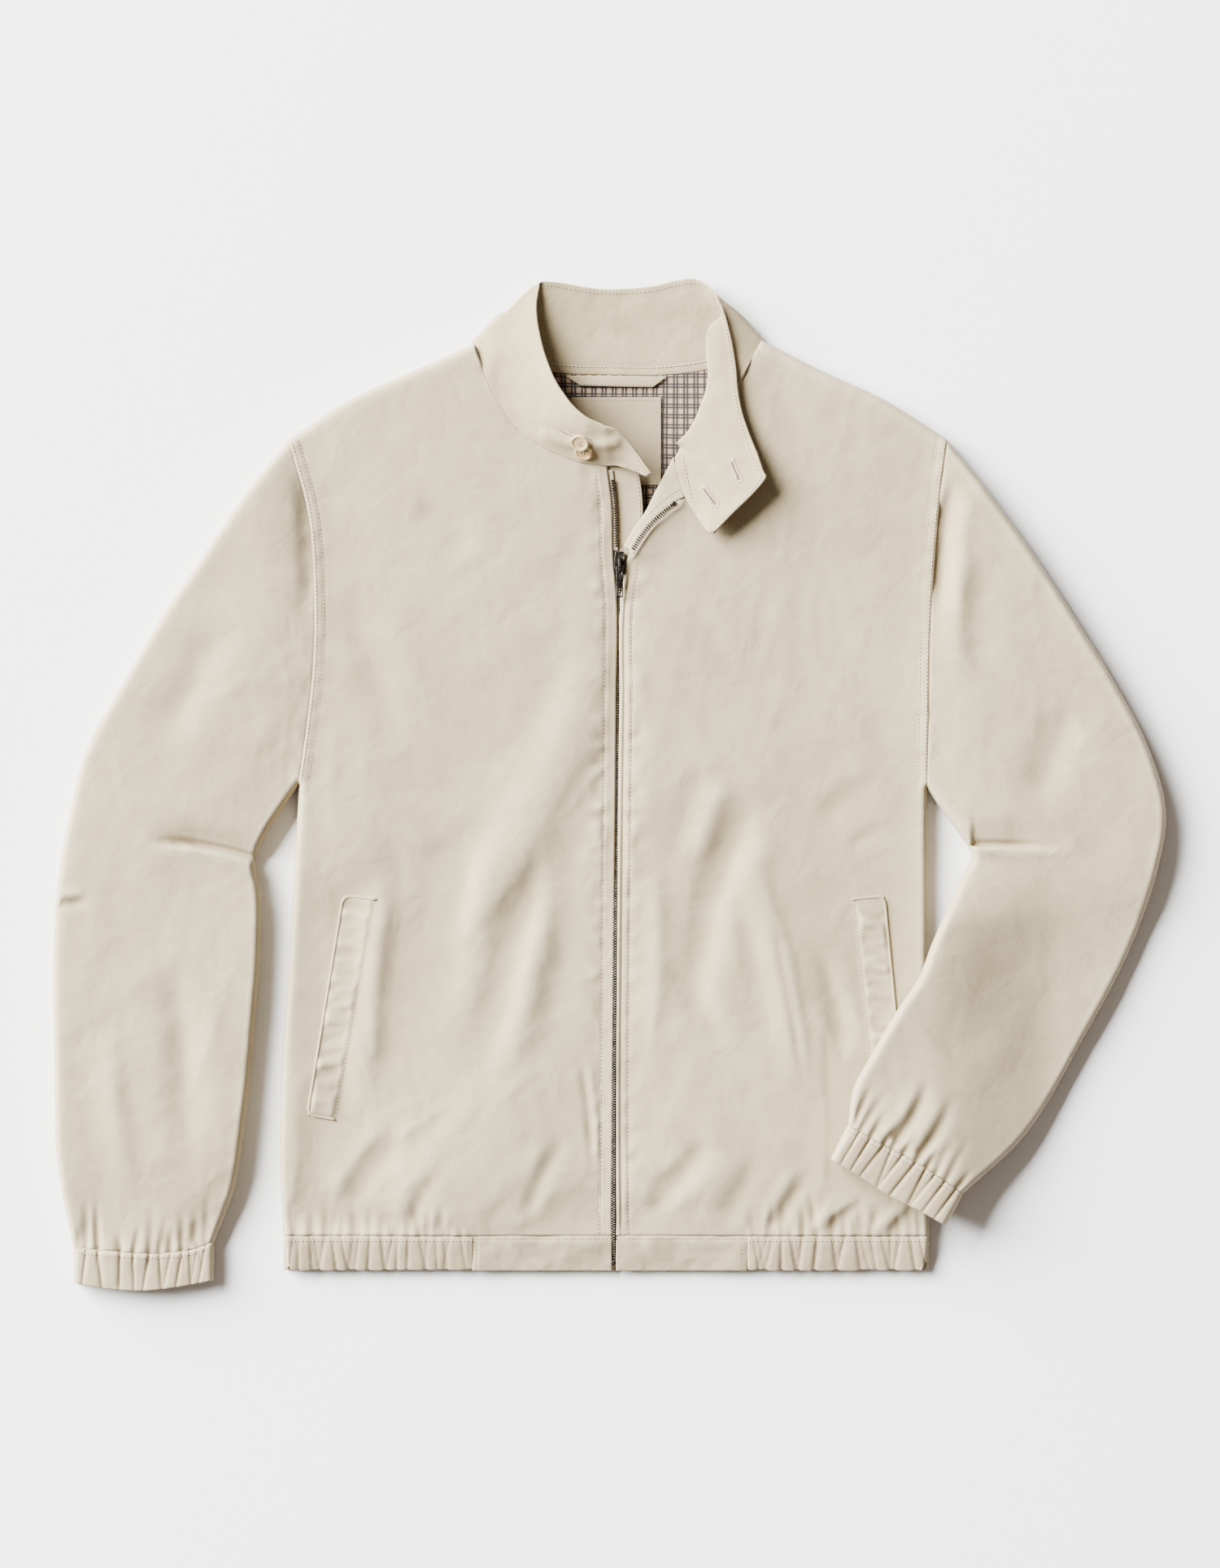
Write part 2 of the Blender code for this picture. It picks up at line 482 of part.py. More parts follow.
def sleeve_under(x, y):
    """Height of a sleeve's or cuff's underside."""
    return arm_lift(x, y) + under_edge(edge_distance(x, y, SLEEVE_EDGES))


# ---------------------------------------------------------------------------------------------
# Walls: closed meshes from grids of points
# ---------------------------------------------------------------------------------------------

LOW, HIGH, START, END = "low", "high", "start", "end"


def border(grid, name, first=0, last=None, depth=0):
    """Index of a stretch of a grid's border, or of the line that lies depth steps inside it."""
    stretch = slice(first, last)
    return {
        LOW: (depth, stretch),
        HIGH: (grid.shape[0] - 1 - depth, stretch),
        START: (stretch, depth),
        END: (stretch, grid.shape[1] - 1 - depth),
    }[name]


def unit(vectors):
    """Vectors scaled to length 1."""
    length = np.linalg.norm(vectors, axis=-1, keepdims=True)
    return vectors / np.where(length < 1e-12, 1, length)


def outward_of(points, beside):
    """Level direction out of a border: square to it, and away from the line beside it."""
    tangents = unit(np.gradient(points[:, :2], axis=0))
    sideways = np.stack([-tangents[:, 1], tangents[:, 0]], axis=-1)
    sign = np.sign(((points[:, :2] - beside[:, :2]) * sideways).sum(axis=-1, keepdims=True))
    return sideways * np.where(sign == 0, 1, sign)


def pull_in(plan, name, first=0, last=None, gap=SEAM_GAP / 2):
    """Moves a stretch of a plan grid's border in from its seam."""
    line = border(plan, name, first, last)
    plan[line] = plan[line] - gap * outward_of(plan[line], plan[border(plan, name, first, last, 1)])


def grid_normals(grid, around, up):
    """Unit normals of a grid, whose rows close on themselves where around is true."""
    if around:
        along_row = np.roll(grid, -1, axis=1) - np.roll(grid, 1, axis=1)
    else:
        along_row = np.gradient(grid, axis=1)
    normals = unit(np.cross(along_row, np.gradient(grid, axis=0)))
    half = normals[:, : normals.shape[1] // 2] if around else normals
    return normals if (half[..., 2].mean() > 0) == up else -normals


def level_out(grid, normals, name, first=0, last=None):
    """On a folded edge the wall runs level and straight in."""
    line = border(grid, name, first, last)
    outward = outward_of(grid[line], grid[border(grid, name, first, last, 1)])
    normals[line] = np.concatenate([outward, np.zeros((len(outward), 1))], axis=1)


def stand_up(grid, normals, line, folded_ends=(False, False)):
    """At a seam the wall's end stands upright, and at a seam's folded end it runs level along it."""
    points = grid[line]
    tangents = unit(np.gradient(points[:, :2], axis=0))
    sideways = np.stack([-tangents[:, 1], tangents[:, 0], np.zeros(len(points))], axis=-1)
    found = normals[line]
    found = unit(found - (found * sideways).sum(axis=-1, keepdims=True) * sideways)
    for end, near, folded in ((0, 1, folded_ends[0]), (-1, -2, folded_ends[1])):
        if folded:
            outward = unit(points[end, :2] - points[near, :2])
            found[end] = (outward[0], outward[1], 0)
    normals[line] = found


def with_height(plan, height):
    """Plan points with their heights."""
    return np.concatenate([plan, height(plan[..., 0], plan[..., 1])[..., None]], axis=-1)


def finish(name, values):
    """The Principled material of one piece, with one of the finishes above."""
    material = bpy.data.materials.new(f"{name}_{values.name}")
    material.use_nodes = True
    shader = material.node_tree.nodes["Principled BSDF"]
    shader.inputs["Base Color"].default_value = values.colour
    shader.inputs["Roughness"].default_value = values.roughness
    shader.inputs["Metallic"].default_value = values.metallic
    return material


def add_object(name, points, faces, values):
    """A mesh object with its faces pointing out."""
    mesh = bpy.data.meshes.new(name)
    mesh.from_pydata([tuple(p) for p in points], [], faces)
    work = bmesh.new()
    work.from_mesh(mesh)
    bmesh.ops.recalc_face_normals(work, faces=work.faces)
    if work.calc_volume(signed=True) < 0:
        bmesh.ops.reverse_faces(work, faces=work.faces)
    work.to_mesh(mesh)
    work.free()
    mesh.shade_smooth()
    mesh.set_sharp_from_angle(angle=math.radians(50))
    mesh.materials.append(finish(name, values))
    obj = bpy.data.objects.new(name, mesh)
    bpy.context.scene.collection.objects.link(obj)
    return obj


def build_wall(name, outer, inner, values, around=False):
    """One closed body between two matching grids of points in millimetres."""
    rows, columns = outer.shape[:2]
    points = np.concatenate([outer.reshape(-1, 3), inner.reshape(-1, 3)]) * MM
    shift = rows * columns
    steps = columns if around else columns - 1
    faces = []
    for i in range(rows - 1):
        for j in range(steps):
            a, b = i * columns + j, i * columns + (j + 1) % columns
            faces.append((a, b, b + columns, a + columns))
            faces.append((a + columns + shift, b + columns + shift, b + shift, a + shift))
    for j in range(steps):
        a, b = j, (j + 1) % columns
        faces.append((b, a, a + shift, b + shift))
        a, b = a + (rows - 1) * columns, b + (rows - 1) * columns
        faces.append((a, b, b + shift, a + shift))
    if not around:
        for i in range(rows - 1):
            a, b = i * columns, (i + 1) * columns
            faces.append((a, b, b + shift, a + shift))
            a, b = a + columns - 1, b + columns - 1
            faces.append((b, a, a + shift, b + shift))
    return add_object(name, points, faces, values)


# ---------------------------------------------------------------------------------------------
# Pieces of the shell
# ---------------------------------------------------------------------------------------------

def front_top(x, y):
    """Height of a front's outer face, just above the back's at their shared edges."""
    return np.maximum(top_height(x, y), EDGE_HEIGHT + SEAM_GAP / 2)


def back_under(x, y):
    """Height of the back's outer face, just under the fronts' at their shared edges."""
    return np.minimum(underside(x, y), EDGE_HEIGHT - SEAM_GAP / 2)


def front_plan(hem_line, inner_edge, side, armhole, shoulder):
    """Plan grid of a front: columns run from its zip edge to its side, rows from the hem up."""
    outer_edge = chain(smooth_curve(side, SIDE_SHARES), smooth_curve(armhole, ARM_SHARES))
    low = np.outer(1 - np.array(FRONT_COLUMNS), hem_line[0]) + np.outer(FRONT_COLUMNS, hem_line[1])
    return coons(
        low, smooth_curve(shoulder, FRONT_COLUMNS), inner_edge, outer_edge,
        FRONT_COLUMNS, shares_of(outer_edge),
    )


def make_front(name, plan, values):
    """A front panel, from its plan grid."""
    armpit = len(SIDE_SHARES) - 1
    for stretch in ((LOW, 0, None), (START, 0, None), (END, armpit, None)):
        pull_in(plan, *stretch)
    outer = with_height(plan, front_top)
    normals = grid_normals(outer, False, True)
    level_out(outer, normals, END, 0, armpit + 1)
    level_out(outer, normals, HIGH)
    stand_up(outer, normals, border(outer, LOW), (False, True))
    stand_up(outer, normals, border(outer, START), (False, True))
    stand_up(outer, normals, border(outer, END, armpit), (True, True))
    build_wall(name, outer, outer - CLOTH * normals, values)
    return outer


def make_back(values):
    """The back panel, whose underside lies flat on the floor."""
    shoulder_columns = (0, 0.015, 0.045, 0.5, 1)
    flipped = tuple(1 - s for s in reversed(shoulder_columns))
    high = chain(
        smooth_curve(SHOULDER_RIGHT[::-1], shoulder_columns),
        smooth_curve(NECK_BACK, NECK_BACK_SHARES),
        smooth_curve(SHOULDER_LEFT, flipped),
    )
    first, last = SIDE_RIGHT[0], SIDE_LEFT[0]
    shoulder_share = 0.3
    columns = np.concatenate([
        shoulder_share * np.array(shoulder_columns),
        shoulder_share + (1 - 2 * shoulder_share) * np.array(NECK_BACK_SHARES[1:]),
        1 - shoulder_share + shoulder_share * np.array(flipped[1:]),
    ])
    low = np.outer(1 - columns, first) + np.outer(columns, last)
    start = chain(smooth_curve(SIDE_RIGHT, SIDE_SHARES_BELOW), smooth_curve(ARMHOLE_RIGHT, ARM_SHARES_BELOW))
    end = chain(smooth_curve(SIDE_LEFT, SIDE_SHARES_BELOW), smooth_curve(ARMHOLE_LEFT, ARM_SHARES_BELOW))
    plan = coons(low, high, start, end, columns, shares_of(start))
    armpit = len(SIDE_SHARES_BELOW) - 1
    neck = slice(len(shoulder_columns) - 1, len(shoulder_columns) - 1 + len(NECK_BACK_SHARES))
    neck_stretch = (HIGH, neck.start, neck.stop)
    for stretch in ((LOW, 0, None), (START, armpit, None), (END, armpit, None), neck_stretch):
        pull_in(plan, *stretch)
    outer = with_height(plan, back_under)
    normals = grid_normals(outer, False, False)
    level_out(outer, normals, START, 0, armpit + 1)
    level_out(outer, normals, END, 0, armpit + 1)
    level_out(outer, normals, HIGH, 0, neck.start + 1)
    level_out(outer, normals, HIGH, neck.stop - 1)
    stand_up(outer, normals, border(outer, LOW), (True, True))
    stand_up(outer, normals, border(outer, START, armpit), (True, True))
    stand_up(outer, normals, border(outer, END, armpit), (True, True))
    stand_up(outer, normals, border(outer, HIGH, neck.start, neck.stop), (True, True))
    build_wall("back", outer, outer - CLOTH * normals, values)


def tube_grids(near_top, far_top, near_under, far_under, inner_edge, outer_edge, rows):
    """Plan grids of a tube's upper and lower halves, each from its inner edge to its outer edge."""
    top = coons(near_top[0], far_top[0], inner_edge, outer_edge, near_top[1], rows)
    under = coons(near_under[0], far_under[0], inner_edge, outer_edge, near_under[1], rows)
    return top, under


def tube_wall(name, top, under, top_wave, thickness, values):
    """A flattened tube: the upper half, then the lower one back to the start."""
    for plan in (top, under):
        pull_in(plan, LOW)
    upper = with_height(top, sleeve_top)
    lower = with_height(under, sleeve_under)
    count = upper.shape[1]
    lift = arm_lift(upper[..., 0], upper[..., 1]) + EDGE_HEIGHT
    upper[:, 0, 2], upper[:, -1, 2] = lift[:, 0], lift[:, -1]
    ring = np.concatenate([upper, lower[:, -2:0:-1]], axis=1)
    normals = grid_normals(ring, True, True)
    size = ring.shape[1]
    upper_line = np.arange(count)
    lower_line = np.concatenate([np.arange(count - 1, size), [0]])
    for row in (0, ring.shape[0] - 1):
        for line in (upper_line, lower_line):
            stand_up(ring, normals, (row, line), (True, True))
    inner = ring - thickness * normals
    outer = ring if top_wave is None else ring + top_wave(ring.shape)[..., None] * normals
    if top_wave is not None:
        floor = arm_lift(outer[..., 0], outer[..., 1])
        outer[..., 2] = np.maximum(outer[..., 2], np.where(normals[..., 2] < -0.5, floor, outer[..., 2]))
    build_wall(name, outer, inner, values, around=True)
    return ring


def make_sleeve(name, armhole, outer_edge, inner_edge, cuff_seam, values):
    """A sleeve: a flattened tube from its armhole to its cuff."""
    rows = np.array(SLEEVE_ROWS)
    # The elbow corner of the inner edge meets the row in the middle.
    stops = shares_of(np.array([tuple(p) for p in inner_edge]))
    inner_rows = np.interp(rows, (0, ELBOW_ROW, 1), (0, stops[ELBOW_POINT], 1))
    inner = smooth_curve(inner_edge, inner_rows)
    outer = smooth_curve(outer_edge, np.interp(rows, (0, ELBOW_ROW, 1), (0, 0.5, 1)))
    near = [(smooth_curve(armhole, shares), shares) for shares in (ARM_SHARES, ARM_SHARES_BELOW)]
    far = [(smooth_curve(cuff_seam, shares), shares) for shares in (ARM_SHARES, ARM_SHARES_BELOW)]
    top, under = tube_grids(near[0], far[0], near[1], far[1], inner, outer, rows)
    for plan in (top, under):
        pull_in(plan, HIGH)
    return tube_wall(name, top, under, None, CLOTH, values)


def make_cuff(name, seam, edge, values):
    """An elasticated cuff: a short tube with gathers in its outer face."""
    half = CUFF_GATHERS // 2
    shares = np.linspace(0, 1, 3 * half + 1)
    ends = [(smooth_curve(line, shares), shares) for line in (seam, edge)]
    rows = np.array(CUFF_ROWS)
    sides = [np.outer(1 - rows, ends[0][0][k]) + np.outer(rows, ends[1][0][k]) for k in (0, -1)]
    top, under = tube_grids(ends[0], ends[1], ends[0], ends[1], sides[0], sides[1], rows)

    def gathers(shape):
        """Height of the gathers over the tube's outer face."""
        place = np.arange(shape[1]) % 3
        wave = np.where(place == 0, 0.0, GATHER_DEPTH)
        wave = wave * (0.75 + 0.25 * np.cos(np.arange(shape[1]) * 1.7))
        return np.repeat(wave[None, :], shape[0], axis=0)

    return tube_wall(name, top, under, gathers, RIB_CLOTH, values)


# ---------------------------------------------------------------------------------------------
# Hem band
# ---------------------------------------------------------------------------------------------

def make_tab(name, x_start, x_end, values):
    """A plain stretch of the hem band beside the zip."""
    columns = np.linspace(0, 1, 6)
    rows = np.array([0, 0.5, 1])
    xs = x_start + (x_end - x_start) * columns
    ys = HEM_SEAM + (HEM_BOTTOM - HEM_SEAM) * rows
    plan = np.stack(np.meshgrid(xs, ys), axis=-1)
    pull_in(plan, LOW)
    pull_in(plan, END)
    outer = with_height(plan, front_top)
    normals = grid_normals(outer, False, True)
    for name_of in (LOW, HIGH, START, END):
        stand_up(outer, normals, border(outer, name_of))
    build_wall(name, outer, outer - RIB_CLOTH * normals, values)


def make_hem_elastic(values):
    """The elasticated hem: from the right tab round the back to the left tab."""

    def closing(share):
        """Share of the way to a side, with the points closer together beside it."""
        return 0.75 * share + 0.25 * math.sin(share * math.pi / 2)

    side_right, side_left = HEM_SIDE_RIGHT[0][0], HEM_SIDE_LEFT[0][0]
    front = np.linspace(0, 1, 3 * HEM_GATHERS_FRONT + 1)
    back = np.linspace(0, 1, 2 * HEM_GATHERS_BACK + 1)
    stretches = (
        [(TAB_END_RIGHT + (side_right - TAB_END_RIGHT) * closing(s), True) for s in front]
        + [(side_right + (side_left - side_right) * s, False) for s in back[1:-1]]
        + [(side_left + (TAB_END_LEFT - side_left) * (1 - closing(1 - s)), True) for s in front]
    )
    rows = (0, 0.5, 1)
    grid = np.zeros((len(rows), len(stretches), 3))
    for i, share in enumerate(rows):
        y = HEM_SEAM + (HEM_BOTTOM - HEM_SEAM) * share
        xs = np.array([x for x, _ in stretches])
        fronts = np.array([is_front for _, is_front in stretches])
        heights = np.where(fronts, top_height(xs, np.full(len(xs), y)), underside(xs, np.full(len(xs), y)))
        grid[i] = np.stack([xs, np.full(len(xs), y), heights], axis=-1)
    grid[0, :, 1] -= SEAM_GAP / 2
    grid[:, 0, 0] -= SEAM_GAP / 2
    grid[:, -1, 0] += SEAM_GAP / 2
    normals = grid_normals(grid, False, True)
    middle = grid.shape[1] // 2
    if normals[1, middle, 2] > 0:
        normals = -normals
    normals[..., 1] = 0
    normals = unit(normals)
    for end in (0, -1):
        normals[:, end] = (0, 0, 1)
    place = np.arange(grid.shape[1])
    fronts = len(front)
    wave = np.where((place % 3 == 0) | (place < 1) | (place == grid.shape[1] - 1), 0.0, GATHER_DEPTH)
    in_back = (place > fronts) & (place < grid.shape[1] - fronts)
    wave = np.where(in_back, np.where(place % 2 == 0, 0.0, -0.7), wave)
    outer = grid + wave[None, :, None] * normals
    outer[..., 2] = np.maximum(outer[..., 2], 0)
    build_wall("hem_elastic", outer, grid - RIB_CLOTH * normals, values)


# ---------------------------------------------------------------------------------------------
# Collar and the turned-out front corner
# ---------------------------------------------------------------------------------------------

def sewn_height(section):
    """Height of the middle of the collar's wall along its sewn edge."""
    if section.layer is None:
        return section.sz
    x, y = np.array(section.sx), np.array(section.sy)
    if section.layer:
        return float(front_top(x, y)) - CLOTH / 2
    return float(back_under(x, y)) + COLLAR_CLOTH / 2 + 0.1


def collar_line(section):
    """Points of one collar section, from the sewn edge over the middle or the roll to the free edge."""
    sewn = np.array([section.sx, section.sy, sewn_height(section)])
    middle = np.array([section.rx, section.ry, section.rz])
    free = np.array([section.tx, section.ty, section.tz])
    toward, away = middle - sewn, free - middle
    through = np.array([0, 0, 7.0]) if section.turn else (toward + away) / 2
    line = []
    for share in ACROSS_COLLAR:
        start, end, s = (sewn, middle, 2 * share) if share <= 0.5 else (middle, free, 2 * share - 1)
        slope_in = toward if share <= 0.5 else through
        slope_out = through if share <= 0.5 else away
        line.append(
            (2 * s**3 - 3 * s**2 + 1) * start + (s**3 - 2 * s**2 + s) * slope_in
            + (3 * s**2 - 2 * s**3) * end + (s**3 - s**2) * slope_out
        )
    return np.array(line)


def between(sections, shares):
    """Collar lines at shares along a stretch of sections."""
    lines = np.array([collar_line(section) for section in sections])
    sewn = [Point(section.sx, section.sy) for section in sections]
    stops = shares_of(np.array([tuple(p) for p in sewn]))
    places = smooth_curve(sewn, shares)
    found = []
    for share, place in zip(shares, places):
        k = min(max(int(np.searchsorted(stops, share, side="right")) - 1, 0), len(stops) - 2)
        s = (share - stops[k]) / (stops[k + 1] - stops[k])
        line = (1 - s) * lines[k] + s * lines[k + 1]
        line[0, :2] = place
        found.append(line)
    return np.array(found)


def make_collar(values):
    """The collar, one strip from the right tab round the neck to the turned-out left leaf."""
    tab = np.array([collar_line(section) for section in COLLAR_TAB])
    right = between(COLLAR_RIGHT, NECK_SHARES)
    back = between(COLLAR_BACK, NECK_BACK_SHARES)
    left = between(COLLAR_LEFT, tuple(1 - s for s in reversed(NECK_LEFT_SHARES)))
    leaf = np.array([collar_line(section) for section in COLLAR_LEAF])
    grid = np.concatenate([tab, right, back[1:], left[1:], leaf])
    # The neck seam doubles back at each shoulder, so each stretch between them is sewn by itself.
    first, second = len(tab) + len(right) - 1, len(tab) + len(right) + len(back) - 2
    pull = np.full(len(grid), 1.5 * SEAM_GAP)
    pull[[first, second]] = 3 * SEAM_GAP
    grid[:, 0, :2] += pull[:, None] * unit(grid[:, 1, :2] - grid[:, 0, :2])
    normals = grid_normals(grid, False, True)
    for stretch in (slice(0, first), slice(first + 1, second), slice(second + 1, None)):
        stand_up(grid, normals, (stretch, 0))
    half = COLLAR_CLOTH / 2 * normals
    build_wall("collar", grid + half, grid - half, values)
    return grid


def make_facing(values):
    """The left front's top corner, turned out at the roll with its inner face up."""
    shares = np.linspace(0, 1, 9)
    rolls = smooth_curve([roll for roll, _ in FACING], shares)
    edges = smooth_curve([edge for _, edge in FACING], shares)
    outer = []
    for roll, edge in zip(rolls, edges):
        away = unit(edge - roll)
        reach = float(np.linalg.norm(edge - roll))
        level = float(top_height(roll[0], roll[1]))
        last_out, last_up = FACING_SECTION[-1]
        steps = FACING_SECTION + [(max(reach * 0.6, last_out + 1), last_up), (max(reach, last_out + 2), last_up - 0.5)]
        outer.append([(*(roll + away * out), level + up) for out, up in steps])
    outer = np.array(outer)
    normals = grid_normals(outer, False, True)
    stand_up(outer, normals, border(outer, LOW))
    stand_up(outer, normals, border(outer, HIGH))
    build_wall("facing_left", outer, outer - CLOTH * normals, values)


# ---------------------------------------------------------------------------------------------
# Zip
# ---------------------------------------------------------------------------------------------

def make_strip(name, line, half_width, top_of, thickness, values):
    """A band along a plan line, its upper face at the height that top_of gives."""
    tangents = unit(np.gradient(line, axis=0))
    sideways = np.stack([-tangents[:, 1], tangents[:, 0]], axis=-1)
    offsets = np.array([-half_width, half_width])
    outer = with_height(line[:, None, :] + offsets[None, :, None] * sideways[:, None, :], top_of)
    return build_wall(name, outer, outer - np.array([0, 0, thickness]), values)


def tape_level(x, y):
    """Height of the zip tape's upper face, just under the fronts' edges."""
    return top_height(np.zeros(np.shape(x)), y) - RIB_CLOTH - TAPE_DROP


def guard_level(x, y):
    """Height of the guard's upper face, under the tape."""
    return tape_level(x, y) - THIN_CLOTH - SEAM_GAP - GUARD_DROP


def make_tape(values):
    """The zip's tape, under both fronts' edges up to the slider."""
    make_strip("zip_tape", zip_line(), TAPE_HALF, tape_level, THIN_CLOTH, values)


def zip_line():
    """Plan line midway between the fronts' edges, from the hem to the slider."""
    ys = np.linspace(ZIP_START, SLIDER.y - SLIDER_SIZE[1] / 2 - 2 * SEAM_GAP, TAPE_ROWS)
    right = smooth_curve(FRONT_EDGE_RIGHT, np.linspace(0, 1, 60))
    left = smooth_curve(FRONT_EDGE_LEFT, np.linspace(0, 1, 60))
    middle = (np.interp(ys, right[:, 1], right[:, 0]) + np.interp(ys, left[:, 1], left[:, 0])) / 2
    return np.stack([middle, ys], axis=-1)


def make_teeth(values):
    """The closed chain, and the two open rows of teeth above the slider."""

    def over_tape(height):
        """Level at a height over the tape."""
        return lambda x, y: tape_level(x, y) + height

    make_strip("zip_chain", zip_line(), CHAIN_WIDTH / 2, over_tape(SEAM_GAP + CHAIN_HEIGHT), CHAIN_HEIGHT, values)
    row = smooth_curve(TEETH_RIGHT, np.linspace(0, 1, 8))
    make_strip("zip_teeth_right", row, TEETH_HALF, over_tape(TEETH_RIGHT_TOP), TEETH_RIGHT_HEIGHT, values)
    row = smooth_curve(TEETH_LEFT, np.linspace(0, 1, 9))
    make_strip(
        "zip_teeth_left", row, TEETH_HALF, lambda x, y: top_height(x, y) + TEETH_LEFT_TOP, TEETH_LEFT_HEIGHT, values,
    )


def make_guard(values):
    """The guard behind the zip, which shows in the open neck."""
    rows = smooth_curve(GUARD_EDGE, GUARD_ROWS)
    columns = np.linspace(0, 1, 4)
    plan = np.stack([
        GUARD_LEFT + (rows[:, 0][:, None] - GUARD_LEFT) * columns,
        np.repeat(rows[:, 1][:, None], len(columns), axis=1),
    ], axis=-1)
    outer = with_height(plan, guard_level)
    build_wall("zip_guard", outer, outer - np.array([0, 0, CLOTH]), values)


def add_box(work, low, high):
    """A box between two corners, in millimetres, added to a bmesh."""
    size = [(h - l) * MM for l, h in zip(low, high)]
    centre = [(h + l) / 2 * MM for l, h in zip(low, high)]
    made = bmesh.ops.create_cube(work, size=1)
    bmesh.ops.scale(work, vec=size, verts=made["verts"])
    bmesh.ops.translate(work, vec=centre, verts=made["verts"])
    return made["verts"]


def union(name, boxes, values):
    """One body from overlapping boxes."""
    parts = []
    for low, high in boxes:
        work = bmesh.new()
        add_box(work, low, high)
        mesh = bpy.data.meshes.new(name)
        work.to_mesh(mesh)
        work.free()
        parts.append(bpy.data.objects.new(name if not parts else f"{name}_cutter", mesh))
        bpy.context.scene.collection.objects.link(parts[-1])
    for other in parts[1:]:
        other.hide_render = True
        other.display_type = "WIRE"
        join = parts[0].modifiers.new("Join", "BOOLEAN")
        join.operation = "UNION"
        join.object = other
    parts[0].data.materials.append(finish(name, values))
    return parts[0]


def make_slider(values):
    """The slider: body with its nose, and the bridge that holds the pull."""
    half_x, half_y, depth = SLIDER_SIZE[0] / 2, SLIDER_SIZE[1] / 2, SLIDER_SIZE[2]
    nose_x = half_x - SLIDER_NOSE_INSET
    x, y, top = SLIDER.x, SLIDER.y, SLIDER_TOP
    nose_y = y - half_y + SLIDER_NOSE
    px, py, pz = PULL_PIVOT
    side = BRIDGE_WIDTH / 2
    foot, head = py - BRIDGE_FOOT, py + BRIDGE_HEAD
    crown_low, crown_high = (pz + height for height in BRIDGE_CROWN)
    union("zip_slider", [
        ((x - half_x, nose_y, top - depth), (x + half_x, y + half_y, top)),
        ((x - nose_x, y - half_y, top - depth), (x + nose_x, nose_y + 0.2, top)),
        ((px - side, foot, top - 0.4), (px + side, foot + BRIDGE_POST, crown_high - 0.4)),
        ((px - side, py + BRIDGE_HOLE, top - 0.4), (px + side, head, crown_high - 0.4)),
        ((px - side, foot, crown_low), (px + side, head, crown_high)),
    ], values)


def make_pull(values):
    """The pull tab: an eye round the slider's bridge, and a flat tab with a window."""
    px, py, pz = PULL_PIVOT
    half, thick = PULL_WIDTH / 2, PULL_THICK / 2
    low, high = pz - thick, pz + thick
    tip, window = py - PULL_LENGTH, py - WINDOW_TOP
    eye = py - EYE_LENGTH - PULL_RIM
    pull = union("zip_pull", [
        ((px - half, py - thick, low), (px + half, py + thick, high)),
        ((px - half, eye, low), (px - half + PULL_RIM, py + thick, high)),
        ((px + half - PULL_RIM, eye, low), (px + half, py + thick, high)),
        ((px - half, window, low), (px + half, py - EYE_LENGTH, high)),
        ((px - half, tip, low), (px - half + PULL_RIM, window + PULL_RIM, high)),
        ((px + half - PULL_RIM, tip, low), (px + half, window + PULL_RIM, high)),
        ((px - half, tip, low), (px + half, tip + PULL_RIM, high)),
    ], values)
    pivot = bpy.data.objects.new("zip_pull_pivot", None)
    pivot.location = [p * MM for p in PULL_PIVOT]
    bpy.context.scene.collection.objects.link(pivot)
    pull.parent = pivot
    pull.location = [-p * MM for p in PULL_PIVOT]


# ---------------------------------------------------------------------------------------------
# Pockets, buttons and the neck's inside
# ---------------------------------------------------------------------------------------------

def panel_height(panel, x, y, reach=5.0):
    """Highest point of a panel's own facets near each place, so that what lies on it clears it."""
    triangles = []
    rows, columns = panel.shape[:2]
    for i in range(rows - 1):
        for j in range(columns - 1):
            a, b, c, d = panel[i, j], panel[i, j + 1], panel[i + 1, j + 1], panel[i + 1, j]
            triangles += [(a, b, c), (a, c, d), (a, b, d), (b, c, d)]
    triangles = np.array(triangles)
    centres = triangles[..., :2].mean(axis=1)
    flat_x, flat_y = np.ravel(x), np.ravel(y)
    found = []
    for px, py in zip(flat_x, flat_y):
        best = -1e9
        for dx, dy in ((0, 0), (reach, 0), (-reach, 0), (0, reach), (0, -reach)):
            spot = np.array([px + dx, py + dy])
            near = np.argsort(np.abs(centres - spot).sum(axis=1))[:40]
            for a, b, c in triangles[near]:
                m = np.array([b[:2] - a[:2], c[:2] - a[:2]]).T
                det = np.linalg.det(m)
                if abs(det) < 1e-9:
                    continue
                s, t = np.linalg.solve(m, spot - a[:2])
                if s >= -1e-6 and t >= -1e-6 and s + t <= 1 + 1e-6:
                    best = max(best, a[2] + s * (b[2] - a[2]) + t * (c[2] - a[2]))
        found.append(best)
    return np.array(found).reshape(np.shape(x))


def make_welt(side, panel, corners, values):
    """A pocket's welt, lying on its front."""
    top_out, low_out, low_in, top_in = (np.array(tuple(c)) for c in corners)
    v = np.linspace(0, 1, 9)[:, None, None]
    u = np.linspace(0, 1, 4)[None, :, None]
    inward, down = unit(top_in - top_out) * WELT_INSET, unit(low_out - top_out) * WELT_INSET
    start_top, start_low = top_out + inward + down, low_out + inward - down
    plan = (
        (1 - u) * (1 - v) * start_top + u * (1 - v) * (top_in + down)
        + (1 - u) * v * start_low + u * v * (low_in - down)
    )
    bottom = with_height(plan, lambda x, y: panel_height(panel, x, y) + SEAM_GAP)
    build_wall(f"pocket_welt_{side}", bottom + np.array([0, 0, CLOTH]), bottom, values)


